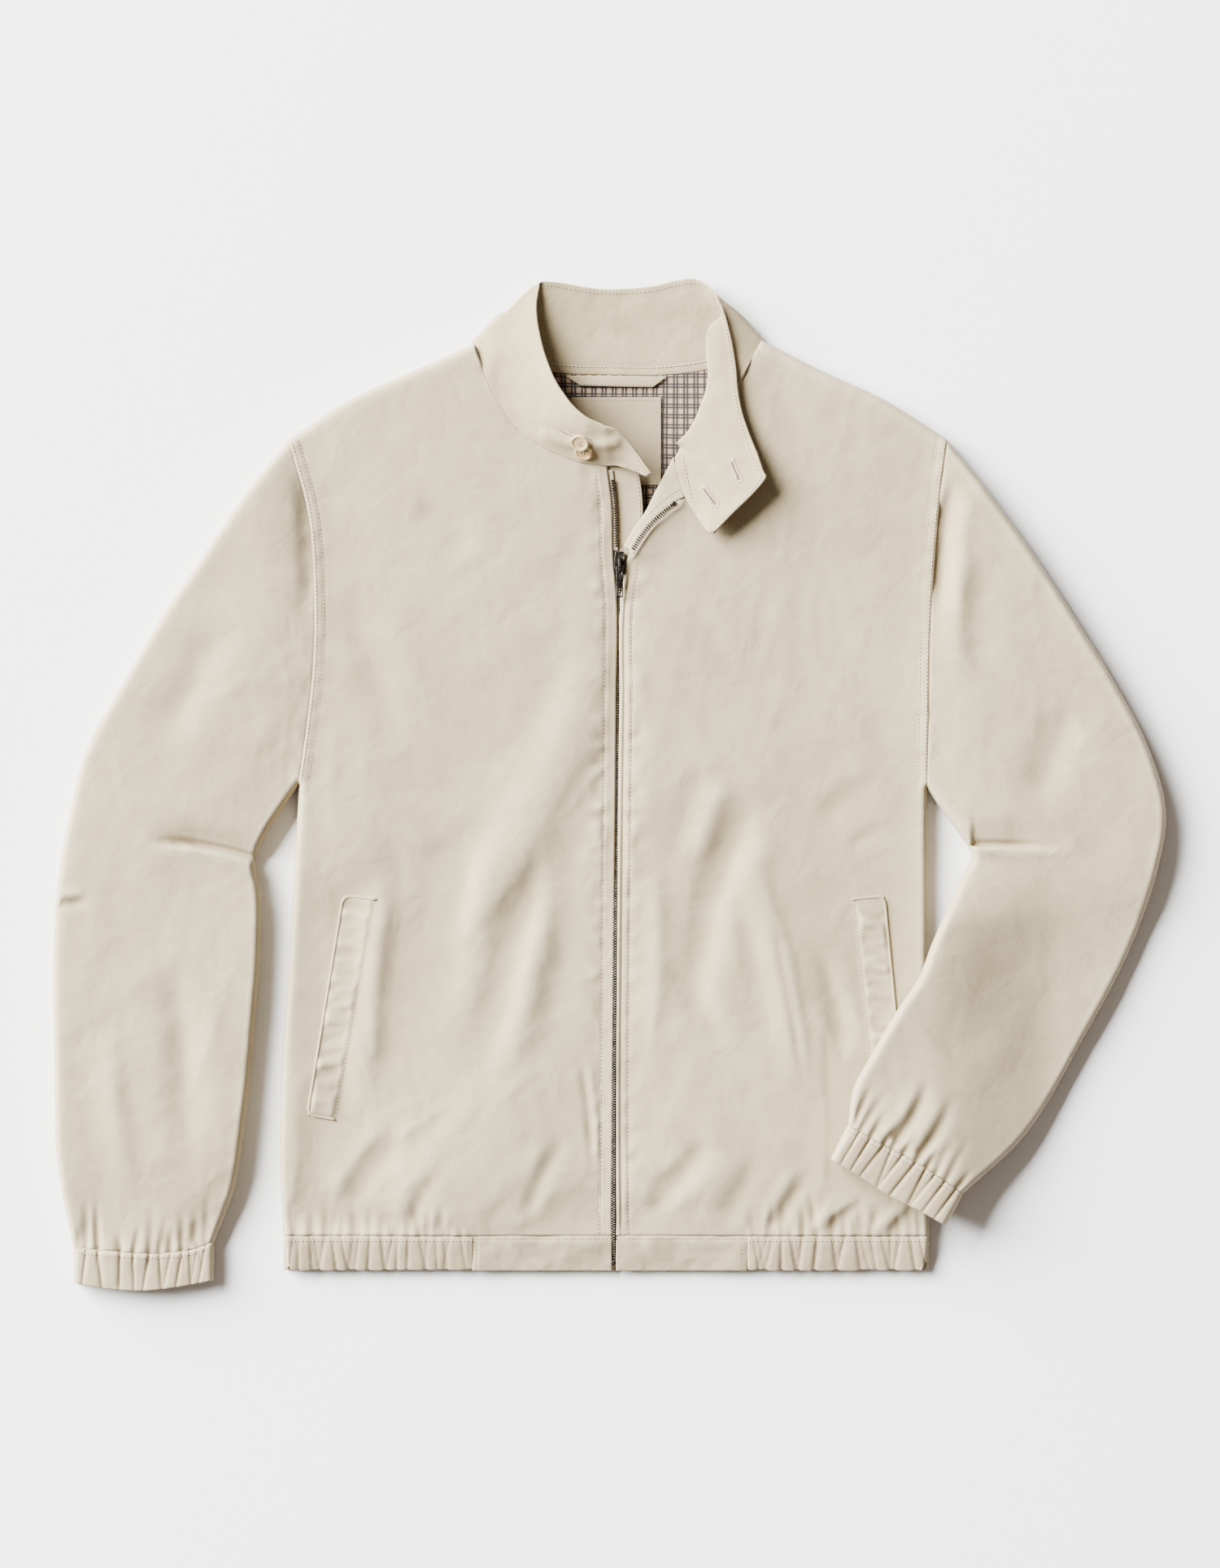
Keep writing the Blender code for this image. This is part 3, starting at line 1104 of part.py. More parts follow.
def make_piping(side, panel, corners, values):
    """The piping round the ends and outer side of a pocket's welt."""
    top_out, low_out, low_in, top_in = (np.array(tuple(c)) for c in corners)
    inward, down = unit(top_in - top_out) * POCKET_CORNER, unit(low_out - top_out) * POCKET_CORNER
    path = [top_in, top_out + inward, top_out + down, low_out - down, low_out + inward, low_in]
    points = []
    for start, end in zip(path[:-1], path[1:]):
        count = max(int(np.linalg.norm(end - start) / PIPING_STEP), 1)
        points += [start + (end - start) * k / count for k in range(count)]
    line = np.array(points + [path[-1]])
    tangents = unit(np.gradient(line, axis=0))
    sideways = np.stack([-tangents[:, 1], tangents[:, 0]], axis=-1)
    middle = sum(path) / len(path)
    inside = np.sign(((middle - line) * sideways).sum(axis=1, keepdims=True))
    across = PIPING_WIDTH * inside * sideways
    centre = line + across / 2
    base = panel_height(panel, centre[:, 0], centre[:, 1])[:, None] + SEAM_GAP
    low = np.stack([np.concatenate([edge, base], axis=1) for edge in (line, line + across)], axis=1)
    build_wall(f"pocket_piping_{side}", low + np.array([0, 0, PIPING_HEIGHT]), low, values)


def lie_on(panel, spot, reach):
    """Point of a panel's surface over a plan spot, and its normal there, from its grid points within reach."""
    points = panel.reshape(-1, 3)
    near = points[np.hypot(points[:, 0] - spot.x, points[:, 1] - spot.y) < reach]
    level = np.column_stack([near[:, :2] - np.array(tuple(spot)), np.ones(len(near))])
    slope_x, slope_y, height = np.linalg.lstsq(level, near[:, 2], rcond=None)[0]
    return np.array([spot.x, spot.y, height]), unit(np.array([-slope_x, -slope_y, 1.0]))


def make_button(name, panel, spot, lift, values):
    """A horn button: a disc with a sunk middle, lying lift above the collar."""

    def ring(share, height):
        """Points of a circle round the button."""
        turns = (2 * math.pi * k / BUTTON_SIDES for k in range(BUTTON_SIDES))
        reach = BUTTON_DIAMETER / 2 * share * MM
        level = height * BUTTON_THICK * MM
        return [work.verts.new((reach * math.cos(a), reach * math.sin(a), level)) for a in turns]

    work = bmesh.new()
    previous = ring(BUTTON_BACK, -0.5)
    work.faces.new(previous[::-1])
    for share, height in BUTTON_RINGS:
        current = ring(share, height)
        for k in range(BUTTON_SIDES):
            after = (k + 1) % BUTTON_SIDES
            work.faces.new((previous[k], previous[after], current[after], current[k]))
        previous = current
    work.faces.new(previous)
    bmesh.ops.recalc_face_normals(work, faces=work.faces)
    mesh = bpy.data.meshes.new(name)
    work.to_mesh(mesh)
    work.free()
    mesh.shade_smooth()
    mesh.set_sharp_from_angle(angle=math.radians(40))
    mesh.materials.append(finish(name, values))
    obj = bpy.data.objects.new(name, mesh)
    place, normal = lie_on(panel, BUTTON_LOWER, BUTTON_REACH)
    aside = np.array([spot.x - place[0], spot.y - place[1]])
    place = place + np.array([*aside, -(aside @ normal[:2]) / normal[2]])
    obj.location = (place + lift * normal) * MM
    obj.rotation_euler = Vector(normal).to_track_quat("Z", "Y").to_euler()
    bpy.context.scene.collection.objects.link(obj)


def make_level_sheet(name, plan, top, thickness, values):
    """A level sheet over a plan grid."""
    outer = with_height(plan, lambda x, y: np.full(np.shape(x), top))
    build_wall(name, outer, outer - np.array([0, 0, thickness]), values)


def make_lining(values):
    """The check lining under the open neck."""
    high = smooth_curve(NECK_BACK, LINING_SHARES) - np.array([0, LINING_INSET])
    count = len(LINING_SHARES)
    low = np.stack([np.linspace(-LINING_SIDE, LINING_SIDE, count), np.full(count, LINING_LOW)], axis=-1)
    rows = np.linspace(0, 1, 5)
    ends = [np.outer(1 - rows, low[k]) + np.outer(rows, high[k]) for k in (0, -1)]
    plan = coons(low, high, ends[0], ends[1], np.linspace(0, 1, count), rows)
    make_level_sheet("lining_back", plan, CLOTH + SEAM_GAP + THIN_CLOTH, THIN_CLOTH, values)


def make_label(values):
    """The bare label sewn on the lining."""
    shares = np.linspace(-0.5, 0.5, 4)
    xs, ys = LABEL_CENTRE.x + LABEL_SIZE[0] * shares, LABEL_CENTRE.y + LABEL_SIZE[1] * shares
    plan = np.stack(np.meshgrid(xs, ys), axis=-1)
    make_level_sheet("label", plan, CLOTH + 2 * (SEAM_GAP + THIN_CLOTH), THIN_CLOTH, values)


def make_hanger_loop(values):
    """The hanging loop: a band along the neck seam, a little slack in its middle."""
    shares = np.linspace(0, 1, 7)
    top, low = (np.outer(1 - shares, ends[0]) + np.outer(shares, ends[1]) for ends in (LOOP_TOP, LOOP_LOW))
    level = CLOTH + THIN_CLOTH + 2 * SEAM_GAP + CLOTH
    outer = with_height(np.stack([low, top]), lambda x, y: np.full(np.shape(x), level))
    outer[..., 2] += LOOP_SLACK * np.sin(math.pi * shares)
    build_wall("hanger_loop", outer, outer - np.array([0, 0, CLOTH]), values)


# ---------------------------------------------------------------------------------------------
# The jacket
# ---------------------------------------------------------------------------------------------

def clear_scene():
    """Removes every object of the starting scene."""
    for obj in list(bpy.data.objects):
        bpy.data.objects.remove(obj, do_unlink=True)


def main():
    """Builds the jacket, piece by piece."""
    clear_scene()
    make_back(CREAM)
    neck_rows = smooth_curve(NECK_RIGHT, NECK_SHARES)
    front_edge = smooth_curve(FRONT_EDGE_RIGHT, np.linspace(0, 1, 17))
    plan = front_plan(
        (FRONT_EDGE_RIGHT[0], SIDE_RIGHT[0]), chain(front_edge, neck_rows), SIDE_RIGHT, ARMHOLE_RIGHT,
        SHOULDER_RIGHT,
    )
    right = make_front("front_right", plan, CREAM)
    inner = chain(
        smooth_curve(FRONT_EDGE_LEFT, np.linspace(0, 1, 17)), smooth_curve(ROLL_LINE, ROLL_SHARES),
        smooth_curve(NECK_LEFT, NECK_LEFT_SHARES),
    )
    plan = front_plan((FRONT_EDGE_LEFT[0], SIDE_LEFT[0]), inner, SIDE_LEFT, ARMHOLE_LEFT, SHOULDER_LEFT)
    left = make_front("front_left", plan, CREAM)

    make_sleeve("sleeve_right", ARMHOLE_RIGHT, SLEEVE_RIGHT_OUTER, SLEEVE_RIGHT_INNER, CUFF_RIGHT_SEAM, CREAM)
    make_sleeve("sleeve_left", ARMHOLE_LEFT, SLEEVE_LEFT_OUTER, SLEEVE_LEFT_INNER, CUFF_LEFT_SEAM, CREAM)
    make_cuff("cuff_right", CUFF_RIGHT_SEAM, CUFF_RIGHT_EDGE, CREAM_LIGHT)
    make_cuff("cuff_left", CUFF_LEFT_SEAM, CUFF_LEFT_EDGE, CREAM_LIGHT)

    make_tab("hem_tab_right", FRONT_EDGE_RIGHT[0].x - 0.5, TAB_END_RIGHT, CREAM_LIGHT)
    make_tab("hem_tab_left", FRONT_EDGE_LEFT[0].x + 0.5, TAB_END_LEFT, CREAM_LIGHT)
    make_hem_elastic(CREAM_LIGHT)

    collar = make_collar(CREAM_LIGHT)
    make_facing(CREAM)
    make_tape(CREAM_LIGHT)
    make_guard(CREAM_LIGHT)
    make_teeth(GUNMETAL)
    make_slider(GUNMETAL)
    make_pull(GUNMETAL)

    for side, panel, corners in (("right", right, POCKET_RIGHT), ("left", left, POCKET_LEFT)):
        make_welt(side, panel, corners, CREAM)
        make_piping(side, panel, corners, CREAM)
    make_button("button_lower", collar, BUTTON_LOWER, BUTTON_LIFT, HORN)
    make_button("button_upper", collar, BUTTON_UPPER, BUTTON_LIFT + BUTTON_THICK + SEAM_GAP, HORN)
    make_lining(CHECK)
    make_label(CREAM_LIGHT)
    make_hanger_loop(CREAM_LIGHT)


main()
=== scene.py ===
"""Looks of a harrington jacket laid flat on its back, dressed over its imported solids.

Metres, +Z up. X runs across the jacket, towards the wearer's left, and Y runs up to the collar. The
tables are in millimetres in that frame. The shell's heights come from the same named sizes as the
solids, and the creases, gathers and seams are laid over them. Each cloth piece is a thin closed shell.
"""

import logging
import math
from dataclasses import dataclass, field
from enum import Enum
from typing import Callable, NamedTuple, Sequence

import bpy
import numpy as np
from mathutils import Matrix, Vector


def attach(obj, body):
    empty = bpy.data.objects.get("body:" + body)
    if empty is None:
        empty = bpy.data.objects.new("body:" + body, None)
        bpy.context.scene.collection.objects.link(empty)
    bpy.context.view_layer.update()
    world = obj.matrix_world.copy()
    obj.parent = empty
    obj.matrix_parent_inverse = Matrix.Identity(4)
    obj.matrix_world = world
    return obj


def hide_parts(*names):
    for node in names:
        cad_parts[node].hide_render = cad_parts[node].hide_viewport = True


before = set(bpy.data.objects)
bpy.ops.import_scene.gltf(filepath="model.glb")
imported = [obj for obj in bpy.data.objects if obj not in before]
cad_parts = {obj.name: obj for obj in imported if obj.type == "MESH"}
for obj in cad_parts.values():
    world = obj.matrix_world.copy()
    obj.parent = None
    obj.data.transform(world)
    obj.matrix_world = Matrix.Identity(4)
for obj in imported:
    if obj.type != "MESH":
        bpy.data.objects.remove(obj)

log = logging.getLogger("jacket")
MM = 0.001
Array = np.ndarray
Surface = Callable[[Array, Array], Array]
Piece = bpy.types.Object
Node = bpy.types.Node
Socket = bpy.types.NodeSocket
Tree = bpy.types.NodeTree
Material = bpy.types.Material
Colour = tuple[float, float, float]


class Body(Enum):
    """The bodies that pieces ride on."""

    JACKET = "jacket"
    PULL_TAB = "pull_tab"


class Slot(Enum):
    """Material slots of the record."""

    SHELL = "shell_cloth"
    RIB = "rib_cloth"
    COLLAR = "collar_cloth"
    LINING = "lining_cloth"
    LABEL = "label_cloth"
    TAPE = "zip_tape_cloth"
    METAL = "zip_metal"
    HORN = "button_horn"


class Held(Enum):
    """How a sheet of cloth is held."""

    LAID = "laid"
    FOLDED = "folded"
    GATHERED = "gathered"


class Side(Enum):
    """The wearer's sides."""

    RIGHT = "right"
    LEFT = "left"


RIGHT, LEFT = Side


# Sizes of the laid shell, in millimetres

EDGE_HEIGHT = 6.0        # height of the fold at a side, shoulder or sleeve edge
EDGE_BELOW = 6.0         # radius of that fold underneath
ROLL_WIDTH = 4.5         # how far in from an edge the upper layer reaches its full height
BODY_LOFT = 15.5
SLEEVE_LOFT = 20.0
HEM_LOFT = 12.0
CUFF_LOFT = 15.0
FRONT_EDGE_DROP = 2.2
BENT_ARM_LIFT = 18.0
BENT_ARM_RAMP = 100.0
BENT_FROM, BENT_OVER = -52.0, 55.0   # y where the bent forearm starts to rise, and how far that takes
FOREARM = (-0.52, 0.85)  # direction of the bent forearm in plan, from its cuff to its elbow
CUFF_RAMP = 76.0         # how far above a cuff its sleeve starts to narrow
FADE_SHADE_STEPS = 4           # points over which a ridge is compared with its surroundings
# the height below is also how far a hollow sinks to take its full painted shade
FADE_SHADE_HEIGHT = 0.9        # how far a fully faded ridge stands out
CLOTH = 0.9              # one layer of the shell
COLLAR_CLOTH = 1.9
RIB_CLOTH = 1.8
THIN_CLOTH = 0.7
HEM_SEAM, HEM_BOTTOM = -336.0, -361.2
TAB_END = {RIGHT: -104.4, LEFT: 98.4}
LINING_LEVEL = 2.8
FINE = (0.25, 0.7, 1.4, 2.3, 3.4)          # first steps in from a folded edge
SEAM = (0.35, 0.8, 1.4, 2.2)               # first steps in from a seam
PLACKET_STEPS = (0.25, 0.7, 1.3, 2.0, 2.7, 3.3, 3.9, 4.7, 5.6, 6.6, 7.5, 8.2, 8.9, 9.6, 10.4, 11.6)

NECK = {
    RIGHT: np.array([
        (-5.4, 233.2), (-27.6, 237), (-48.6, 245.4), (-69, 259.2), (-84, 279), (-93.6, 297.6), (-103.8, 322.2),
    ]),
    LEFT: np.array([
        (49.8, 246.9), (63, 255.6), (75, 267), (84.6, 279.6), (91.2, 291.6), (97.8, 304.8), (109.2, 325.2),
    ]),
}
NECK_BACK = np.array([
    (-103.8, 322.2), (-75, 308.6), (-46.8, 302.7), (0, 300.6), (38.4, 300.6), (69.6, 304.8),
    (92, 314.6), (109.2, 325.2),
])
SHOULDER = {
    RIGHT: np.array([(-103.8, 322.2), (-150, 302), (-196, 281), (-240, 252)]),
    LEFT: np.array([(109.2, 325.2), (152, 303.4), (200, 281), (246, 252)]),
}
ARMHOLE = {
    RIGHT: np.array([(-232.8, -3.6), (-226.5, 40), (-221.5, 90), (-221, 140), (-225, 195), (-240, 252)]),
    LEFT: np.array([(231, -6), (232.2, 50), (233.4, 110), (236.4, 165), (240.6, 210), (246, 252)]),
}
SIDE_SEAM = {
    RIGHT: np.array([(-244.2, -336), (-246.6, -288), (-245.4, -216), (-240.6, -144), (-236.4, -72), (-232.8, -3.6)]),
    LEFT: np.array([(232.8, -336), (231.6, -270), (231, -180), (231, -90), (231, -6)]),
}
SLEEVE_OUTER = {
    RIGHT: np.array([
        (-240, 252), (-269.4, 216), (-302.4, 168), (-334.8, 120), (-363, 72), (-389.4, 24), (-402, -24),
        (-410.4, -72), (-414, -130), (-413.4, -200), (-410.4, -288), (-399.6, -344.4),
    ]),
    LEFT: np.array([
        (246, 252), (274.8, 216), (309.6, 168), (340.8, 120), (370.2, 72), (394.8, 24), (407.6, -24),
        (399.6, -72), (382.8, -120), (345.6, -192), (301.2, -264), (256.8, -304.2),
    ]),
}
SLEEVE_INNER = {
    RIGHT: np.array([
        (-232.8, -3.6), (-245, -21), (-256.8, -39.6), (-264.6, -58.2), (-260.6, -84), (-260.4, -112),
        (-261.6, -140), (-264, -168), (-267, -204), (-272, -250), (-280, -300), (-295.2, -340.2),
    ]),
    LEFT: np.array([
        (231, -6), (240, -19), (253, -37), (263.6, -55.2), (255, -73.5), (244.8, -95.5), (234.6, -118),
        (224, -145), (208.8, -168), (189.6, -201), (176, -227), (172.2, -252.6),
    ]),
}
CUFF_SEAM = {
    RIGHT: np.array([(-295.2, -340.2), (-318, -347), (-343.8, -348.6), (-370, -346.8), (-399.6, -344.4)]),
    LEFT: np.array([(172.2, -252.6), (193, -265), (214.2, -276), (236, -289), (256.8, -304.2)]),
}
CUFF_EDGE = {
    RIGHT: np.array([(-295.8, -367.8), (-320, -372.2), (-347, -375.3), (-372, -374), (-399, -369.6)]),
    LEFT: np.array([(159.6, -277.2), (180, -289.6), (204, -305), (224, -315), (244.2, -326.4)]),
}
TEETH = {
    RIGHT: np.array([(-2.2, 229), (0.4, 205), (1.6, 170)]),
    LEFT: np.array([(45.4, 205.6), (36.2, 198.8), (26.4, 189.6), (17.4, 177.6), (12, 168.6)]),
}
ROLL_LINE = np.array([(8.8, 160), (22.8, 194), (35.4, 219), (45, 238), (49.8, 246.9)])
FRONT_EDGE = {
    RIGHT: np.array([
        (-1.9, -336), (-1, -250), (0.2, -100), (1.6, 60), (1.8, 137), (-0.6, 165), (-1.6, 205), (-5.4, 233.2),
    ]),
    LEFT: np.array([(1.8, -336), (1.2, -250), (2.2, -100), (4, 60), (5.4, 137), (8.8, 160)]),
}


class Crease(NamedTuple):
    """A soft ridge (+) or trough (-) along a bowed line.

    Its far side may carry an echo, a shallower bend the other way: a positive echo lies to the left
    of the line. Lean makes the left flank steeper than the right one, or the reverse where negative.
    """

    x0: float
    y0: float
    x1: float
    y1: float
    bow: float
    width: float
    height: float
    lean: float = 0.0
    echo: float = 0.0
    fade_in: float = 0.25
    fade_out: float = 0.4


class Tuck(NamedTuple):
    """A step where cloth folds over itself: the left of the line stands over the right of it."""

    x0: float
    y0: float
    x1: float
    y1: float
    bow: float
    above: float
    below: float
    width_above: float
    width_below: float
    edge: float = 0.9
    fade_in: float = 0.22
    fade_out: float = 0.3


# Curves, grids and distances in plan


def lengths_of(line: Array) -> Array:
    """Distance along a line at each of its points."""
    return np.concatenate([[0.0], np.cumsum(np.linalg.norm(np.diff(line, axis=0), axis=1))])


def shares_along(line: Array) -> Array:
    """Distance along a line at each of its points, as a share of its length."""
    stops = lengths_of(line)
    return stops / stops[-1]


def hermite(s: Array, start: Array, slope_in: Array, end: Array, slope_out: Array) -> Array:
    """Reads cubics between two ends, with a slope at each, at shares s of the way."""
    return (
        (2 * s**3 - 3 * s**2 + 1) * start + (s**3 - 2 * s**2 + s) * slope_in
        + (3 * s**2 - 2 * s**3) * end + (s**3 - s**2) * slope_out
    )


def bilinear(u: Array, v: Array, corners: Sequence[Array]) -> Array:
    """Blends four corners: the low pair, then the high pair."""
    a, b, c, d = corners
    return (1 - u) * (1 - v) * a + u * (1 - v) * b + (1 - u) * v * c + u * v * d


def smooth_curve(points: Array, shares: Array) -> Array:
    """Reads a smooth curve through points.

    Args:
        points: Rows the curve runs through.
        shares: Where to read it, as shares of its length in plan.

    Returns:
        One row per share.
    """
    rows, shares = np.asarray(points, float), np.asarray(shares, float)
    stops = shares_along(rows[:, :2])
    slopes = np.gradient(rows, stops, axis=0)
    k = np.clip(np.searchsorted(stops, shares, side="right") - 1, 0, len(stops) - 2)
    span = (stops[k + 1] - stops[k])[:, None]
    s = (shares - stops[k])[:, None] / span
    return hermite(s, rows[k], span * slopes[k], rows[k + 1], span * slopes[k + 1])


def spaced(length: float, step: float, start: Sequence[float] = (), end: Sequence[float] = ()) -> Array:
    """Spreads points along a length, closer together at its ends.

    Args:
        length: Length in millimetres.
        step: Usual distance between points.
        start: Distances of the first points from the start.
        end: Distances of the last points from the end.

    Returns:
        Shares of the length, from 0 to 1.
    """
    first, last = (start[-1] if start else 0.0), (end[-1] if end else 0.0)
    count = max(int(round((length - first - last) / step)), 2)
    head = [0.0, *start[:-1]] if start else []
    tail = [*(length - d for d in reversed(end[:-1])), length] if end else []
    return np.concatenate([head, np.linspace(first, length - last, count + 1), tail]) / length


def coons(low: Array, high: Array, start: Array, end: Array, columns: Array, rows: Array) -> Array:
    """Fills a plan grid between four borders.

    Args:
        low: Border along the columns at the first row.
        high: Border along the columns at the last row.
        start: Border up the rows at the first column.
        end: Border up the rows at the last column.
        columns: Shares across.
        rows: Shares up.

    Returns:
        The grid, rows by columns by 2.
    """
    u, v = np.asarray(columns)[None, :, None], np.asarray(rows)[:, None, None]
    corners = bilinear(u, v, (low[0], low[-1], high[0], high[-1]))
    return (1 - v) * low[None] + v * high[None] + (1 - u) * start[:, None] + u * end[:, None] - corners


def bowed(start: Sequence[float], end: Sequence[float], bow: float) -> Array:
    """Points of a shallow arc, which stands bow to the left of its chord."""
    a, b = np.array(start, float), np.array(end, float)
    chord = b - a
    middle = (a + b) / 2 + 2 * bow * np.array([-chord[1], chord[0]]) / max(np.hypot(*chord), 1e-9)
    t = np.linspace(0, 1, 7)[:, None]
    return (1 - t) ** 2 * a + 2 * t * (1 - t) * middle + t**2 * b


def nearest_on(x: Array, y: Array, path: Array) -> tuple[Array, Array]:
    """Places points against a path.

    Args:
        x: Points' x.
        y: Points' y.
        path: Rows of the path.

    Returns:
        Signed distance, positive to the left of the path, and the share of the path nearest.
    """
    best = np.full(np.shape(x), 1e9)
    share = np.zeros(np.shape(x))
    stops = lengths_of(path)
    for k in range(len(path) - 1):
        ax, ay = path[k]
        bx, by = path[k + 1] - path[k]
        size = math.hypot(bx, by)
        t = np.clip(((x - ax) * bx + (y - ay) * by) / max(size * size, 1e-12), 0, 1)
        dx, dy = x - ax - t * bx, y - ay - t * by
        gap = np.hypot(dx, dy)
        closer = gap < np.abs(best)
        best = np.where(closer, np.where(bx * dy - by * dx >= 0, gap, -gap), best)
        share = np.where(closer, (stops[k] + t * size) / stops[-1], share)
    return best, share


def edge_distance(x: Array, y: Array, edges: Sequence[Array]) -> Array:
    """Distance from points to the nearest of the edges, up to a little past the roll."""
    reach = ROLL_WIDTH + 2
    found = np.full(np.shape(x), reach)
    for edge in edges:
        for (ax, ay), (bx, by) in zip(edge[:-1], edge[1:]):
            near = (x > min(ax, bx) - reach) & (x < max(ax, bx) + reach)
            near &= (y > min(ay, by) - reach) & (y < max(ay, by) + reach)
            if not near.any():
                continue
            px, py = x[near] - ax, y[near] - ay
            dx, dy = bx - ax, by - ay
            t = np.clip((px * dx + py * dy) / max(dx * dx + dy * dy, 1e-12), 0, 1)
            found[near] = np.minimum(found[near], np.hypot(px - t * dx, py - t * dy))
    return found


def smoothstep(value: Array) -> Array:
    """0 to 1 as value goes from 0 to 1, level at both ends."""
    value = np.clip(value, 0, 1)
    return value * value * (3 - 2 * value)


def bell(value: Array) -> Array:
    """A soft bump of height 1 about 0."""
    return np.exp(-np.square(value))


def crease_height(x: Array, y: Array, creases: Sequence[Crease]) -> Array:
    """Sums soft creases over points.

    Args:
        x: Points' x.
        y: Points' y.
        creases: The creases.

    Returns:
        Height to add at each point.
    """
    total = np.zeros(np.shape(x))
    for c in creases:
        path = bowed((c.x0, c.y0), (c.x1, c.y1), c.bow)
        margin = 3.6 * c.width
        low, high = path.min(axis=0) - margin, path.max(axis=0) + margin
        near = (x > low[0]) & (x < high[0]) & (y > low[1]) & (y < high[1])
        if not near.any():
            continue
        offset, share = nearest_on(x[near], y[near], path)
        left, right = c.width * (1 - 0.5 * c.lean), c.width * (1 + 0.5 * c.lean)
        shape = bell(offset / np.where(offset > 0, left, right))
        if c.echo:
            away = offset * math.copysign(1, c.echo) - 2.0 * c.width
            shape = shape - abs(c.echo) * bell(away / (1.1 * c.width))
        shape = shape * smoothstep(share / c.fade_in) * smoothstep((1 - share) / c.fade_out)
        total[near] += c.height * shape
    return total


def tuck_height(x: Array, y: Array, tucks: Sequence[Tuck]) -> Array:
    """Sums the steps of tucked cloth over points."""
    total = np.zeros(np.shape(x))
    for t in tucks:
        path = bowed((t.x0, t.y0), (t.x1, t.y1), t.bow)
        margin = 3.5 * max(t.width_above, t.width_below)
        low, high = path.min(axis=0) - margin, path.max(axis=0) + margin
        near = (x > low[0]) & (x < high[0]) & (y > low[1]) & (y < high[1])
        if not near.any():
            continue
        offset, share = nearest_on(x[near], y[near], path)
        upper = t.above * bell(np.maximum(offset - t.edge, 0) / t.width_above)
        lower = -t.below * bell(np.minimum(offset + t.edge, 0) / t.width_below)
        blend = smoothstep((offset + t.edge) / (2 * t.edge))
        step = lower + (upper - lower) * blend
        total[near] += step * smoothstep(share / t.fade_in) * smoothstep((1 - share) / t.fade_out)
    return total


def drift(x: Array, y: Array, cell_x: float, cell_y: float, seed: int) -> Array:
    """Slow uneven waves over the cloth.

    Args:
        x: Points' x.
        y: Points' y.
        cell_x: Size of a wave across.
        cell_y: Size of a wave along.
        seed: Picks the waves.

    Returns:
        A value from -1 to 1 at each point.
    """
    cells, clear = 64, 500.0
    lattice = np.random.default_rng(seed).uniform(-1, 1, (cells, cells))
    u, v = np.asarray(x) / cell_x + clear, np.asarray(y) / cell_y + clear
    i, j = np.floor(u).astype(int), np.floor(v).astype(int)
    s, t = smoothstep(u - i), smoothstep(v - j)
    corners = [lattice[(i + right) % cells, (j + up) % cells] for up in (0, 1) for right in (0, 1)]
    return bilinear(s, t, corners)


def turned_drift(x: Array, y: Array, angle: float, cell_x: float, cell_y: float, seed: int) -> Array:
    """Slow waves whose long side is turned by an angle in degrees from y."""
    c, s = math.cos(math.radians(angle)), math.sin(math.radians(angle))
    return drift(c * x + s * y, c * y - s * x, cell_x, cell_y, seed)


def crumple(x: Array, y: Array, angle: float, seed: int) -> Array:
    """Relief of washed cotton: swells, and soft creases in patches.

    Args:
        x: Points' x.
        y: Points' y.
        angle: Degrees by which its creases lean from y.
        seed: Picks the waves.

    Returns:
        Heights over the points, in millimetres.
    """
    bend = 14 * drift(x, y, 90, 70, seed + 1)
    x, y = x + bend, y + 10 * drift(x, y, 60, 110, seed + 2)
    total = 1.35 * turned_drift(x, y, angle, 46, 105, seed + 3)
    total = total + 0.35 * turned_drift(x, y, angle - 30, 21, 40, seed + 4)
    for lean, wide, long, height, patch in (
        (12, 27, 95, 1.1, 95), (-28, 15, 52, 0.5, 70), (38, 10, 30, 0.28, 48),
    ):
        wave = turned_drift(x, y, angle + lean, wide, long, seed + int(wide))
        where = smoothstep(0.5 + 1.3 * drift(x, y, patch, patch, seed + int(long)))
        total = total + height * where * (0.35 - np.sqrt(wave * wave + 0.004))
    return total + 0.1 * turned_drift(x, y, angle + 50, 8, 13, seed + 6) + 0.05 * drift(x, y, 4.5, 6, seed + 7)


# Heights of the laid shell


def dense(points: Array) -> Array:
    """A smooth edge as a close polyline, for distances."""
    return smooth_curve(points, np.linspace(0, 1, 5 * len(points)))


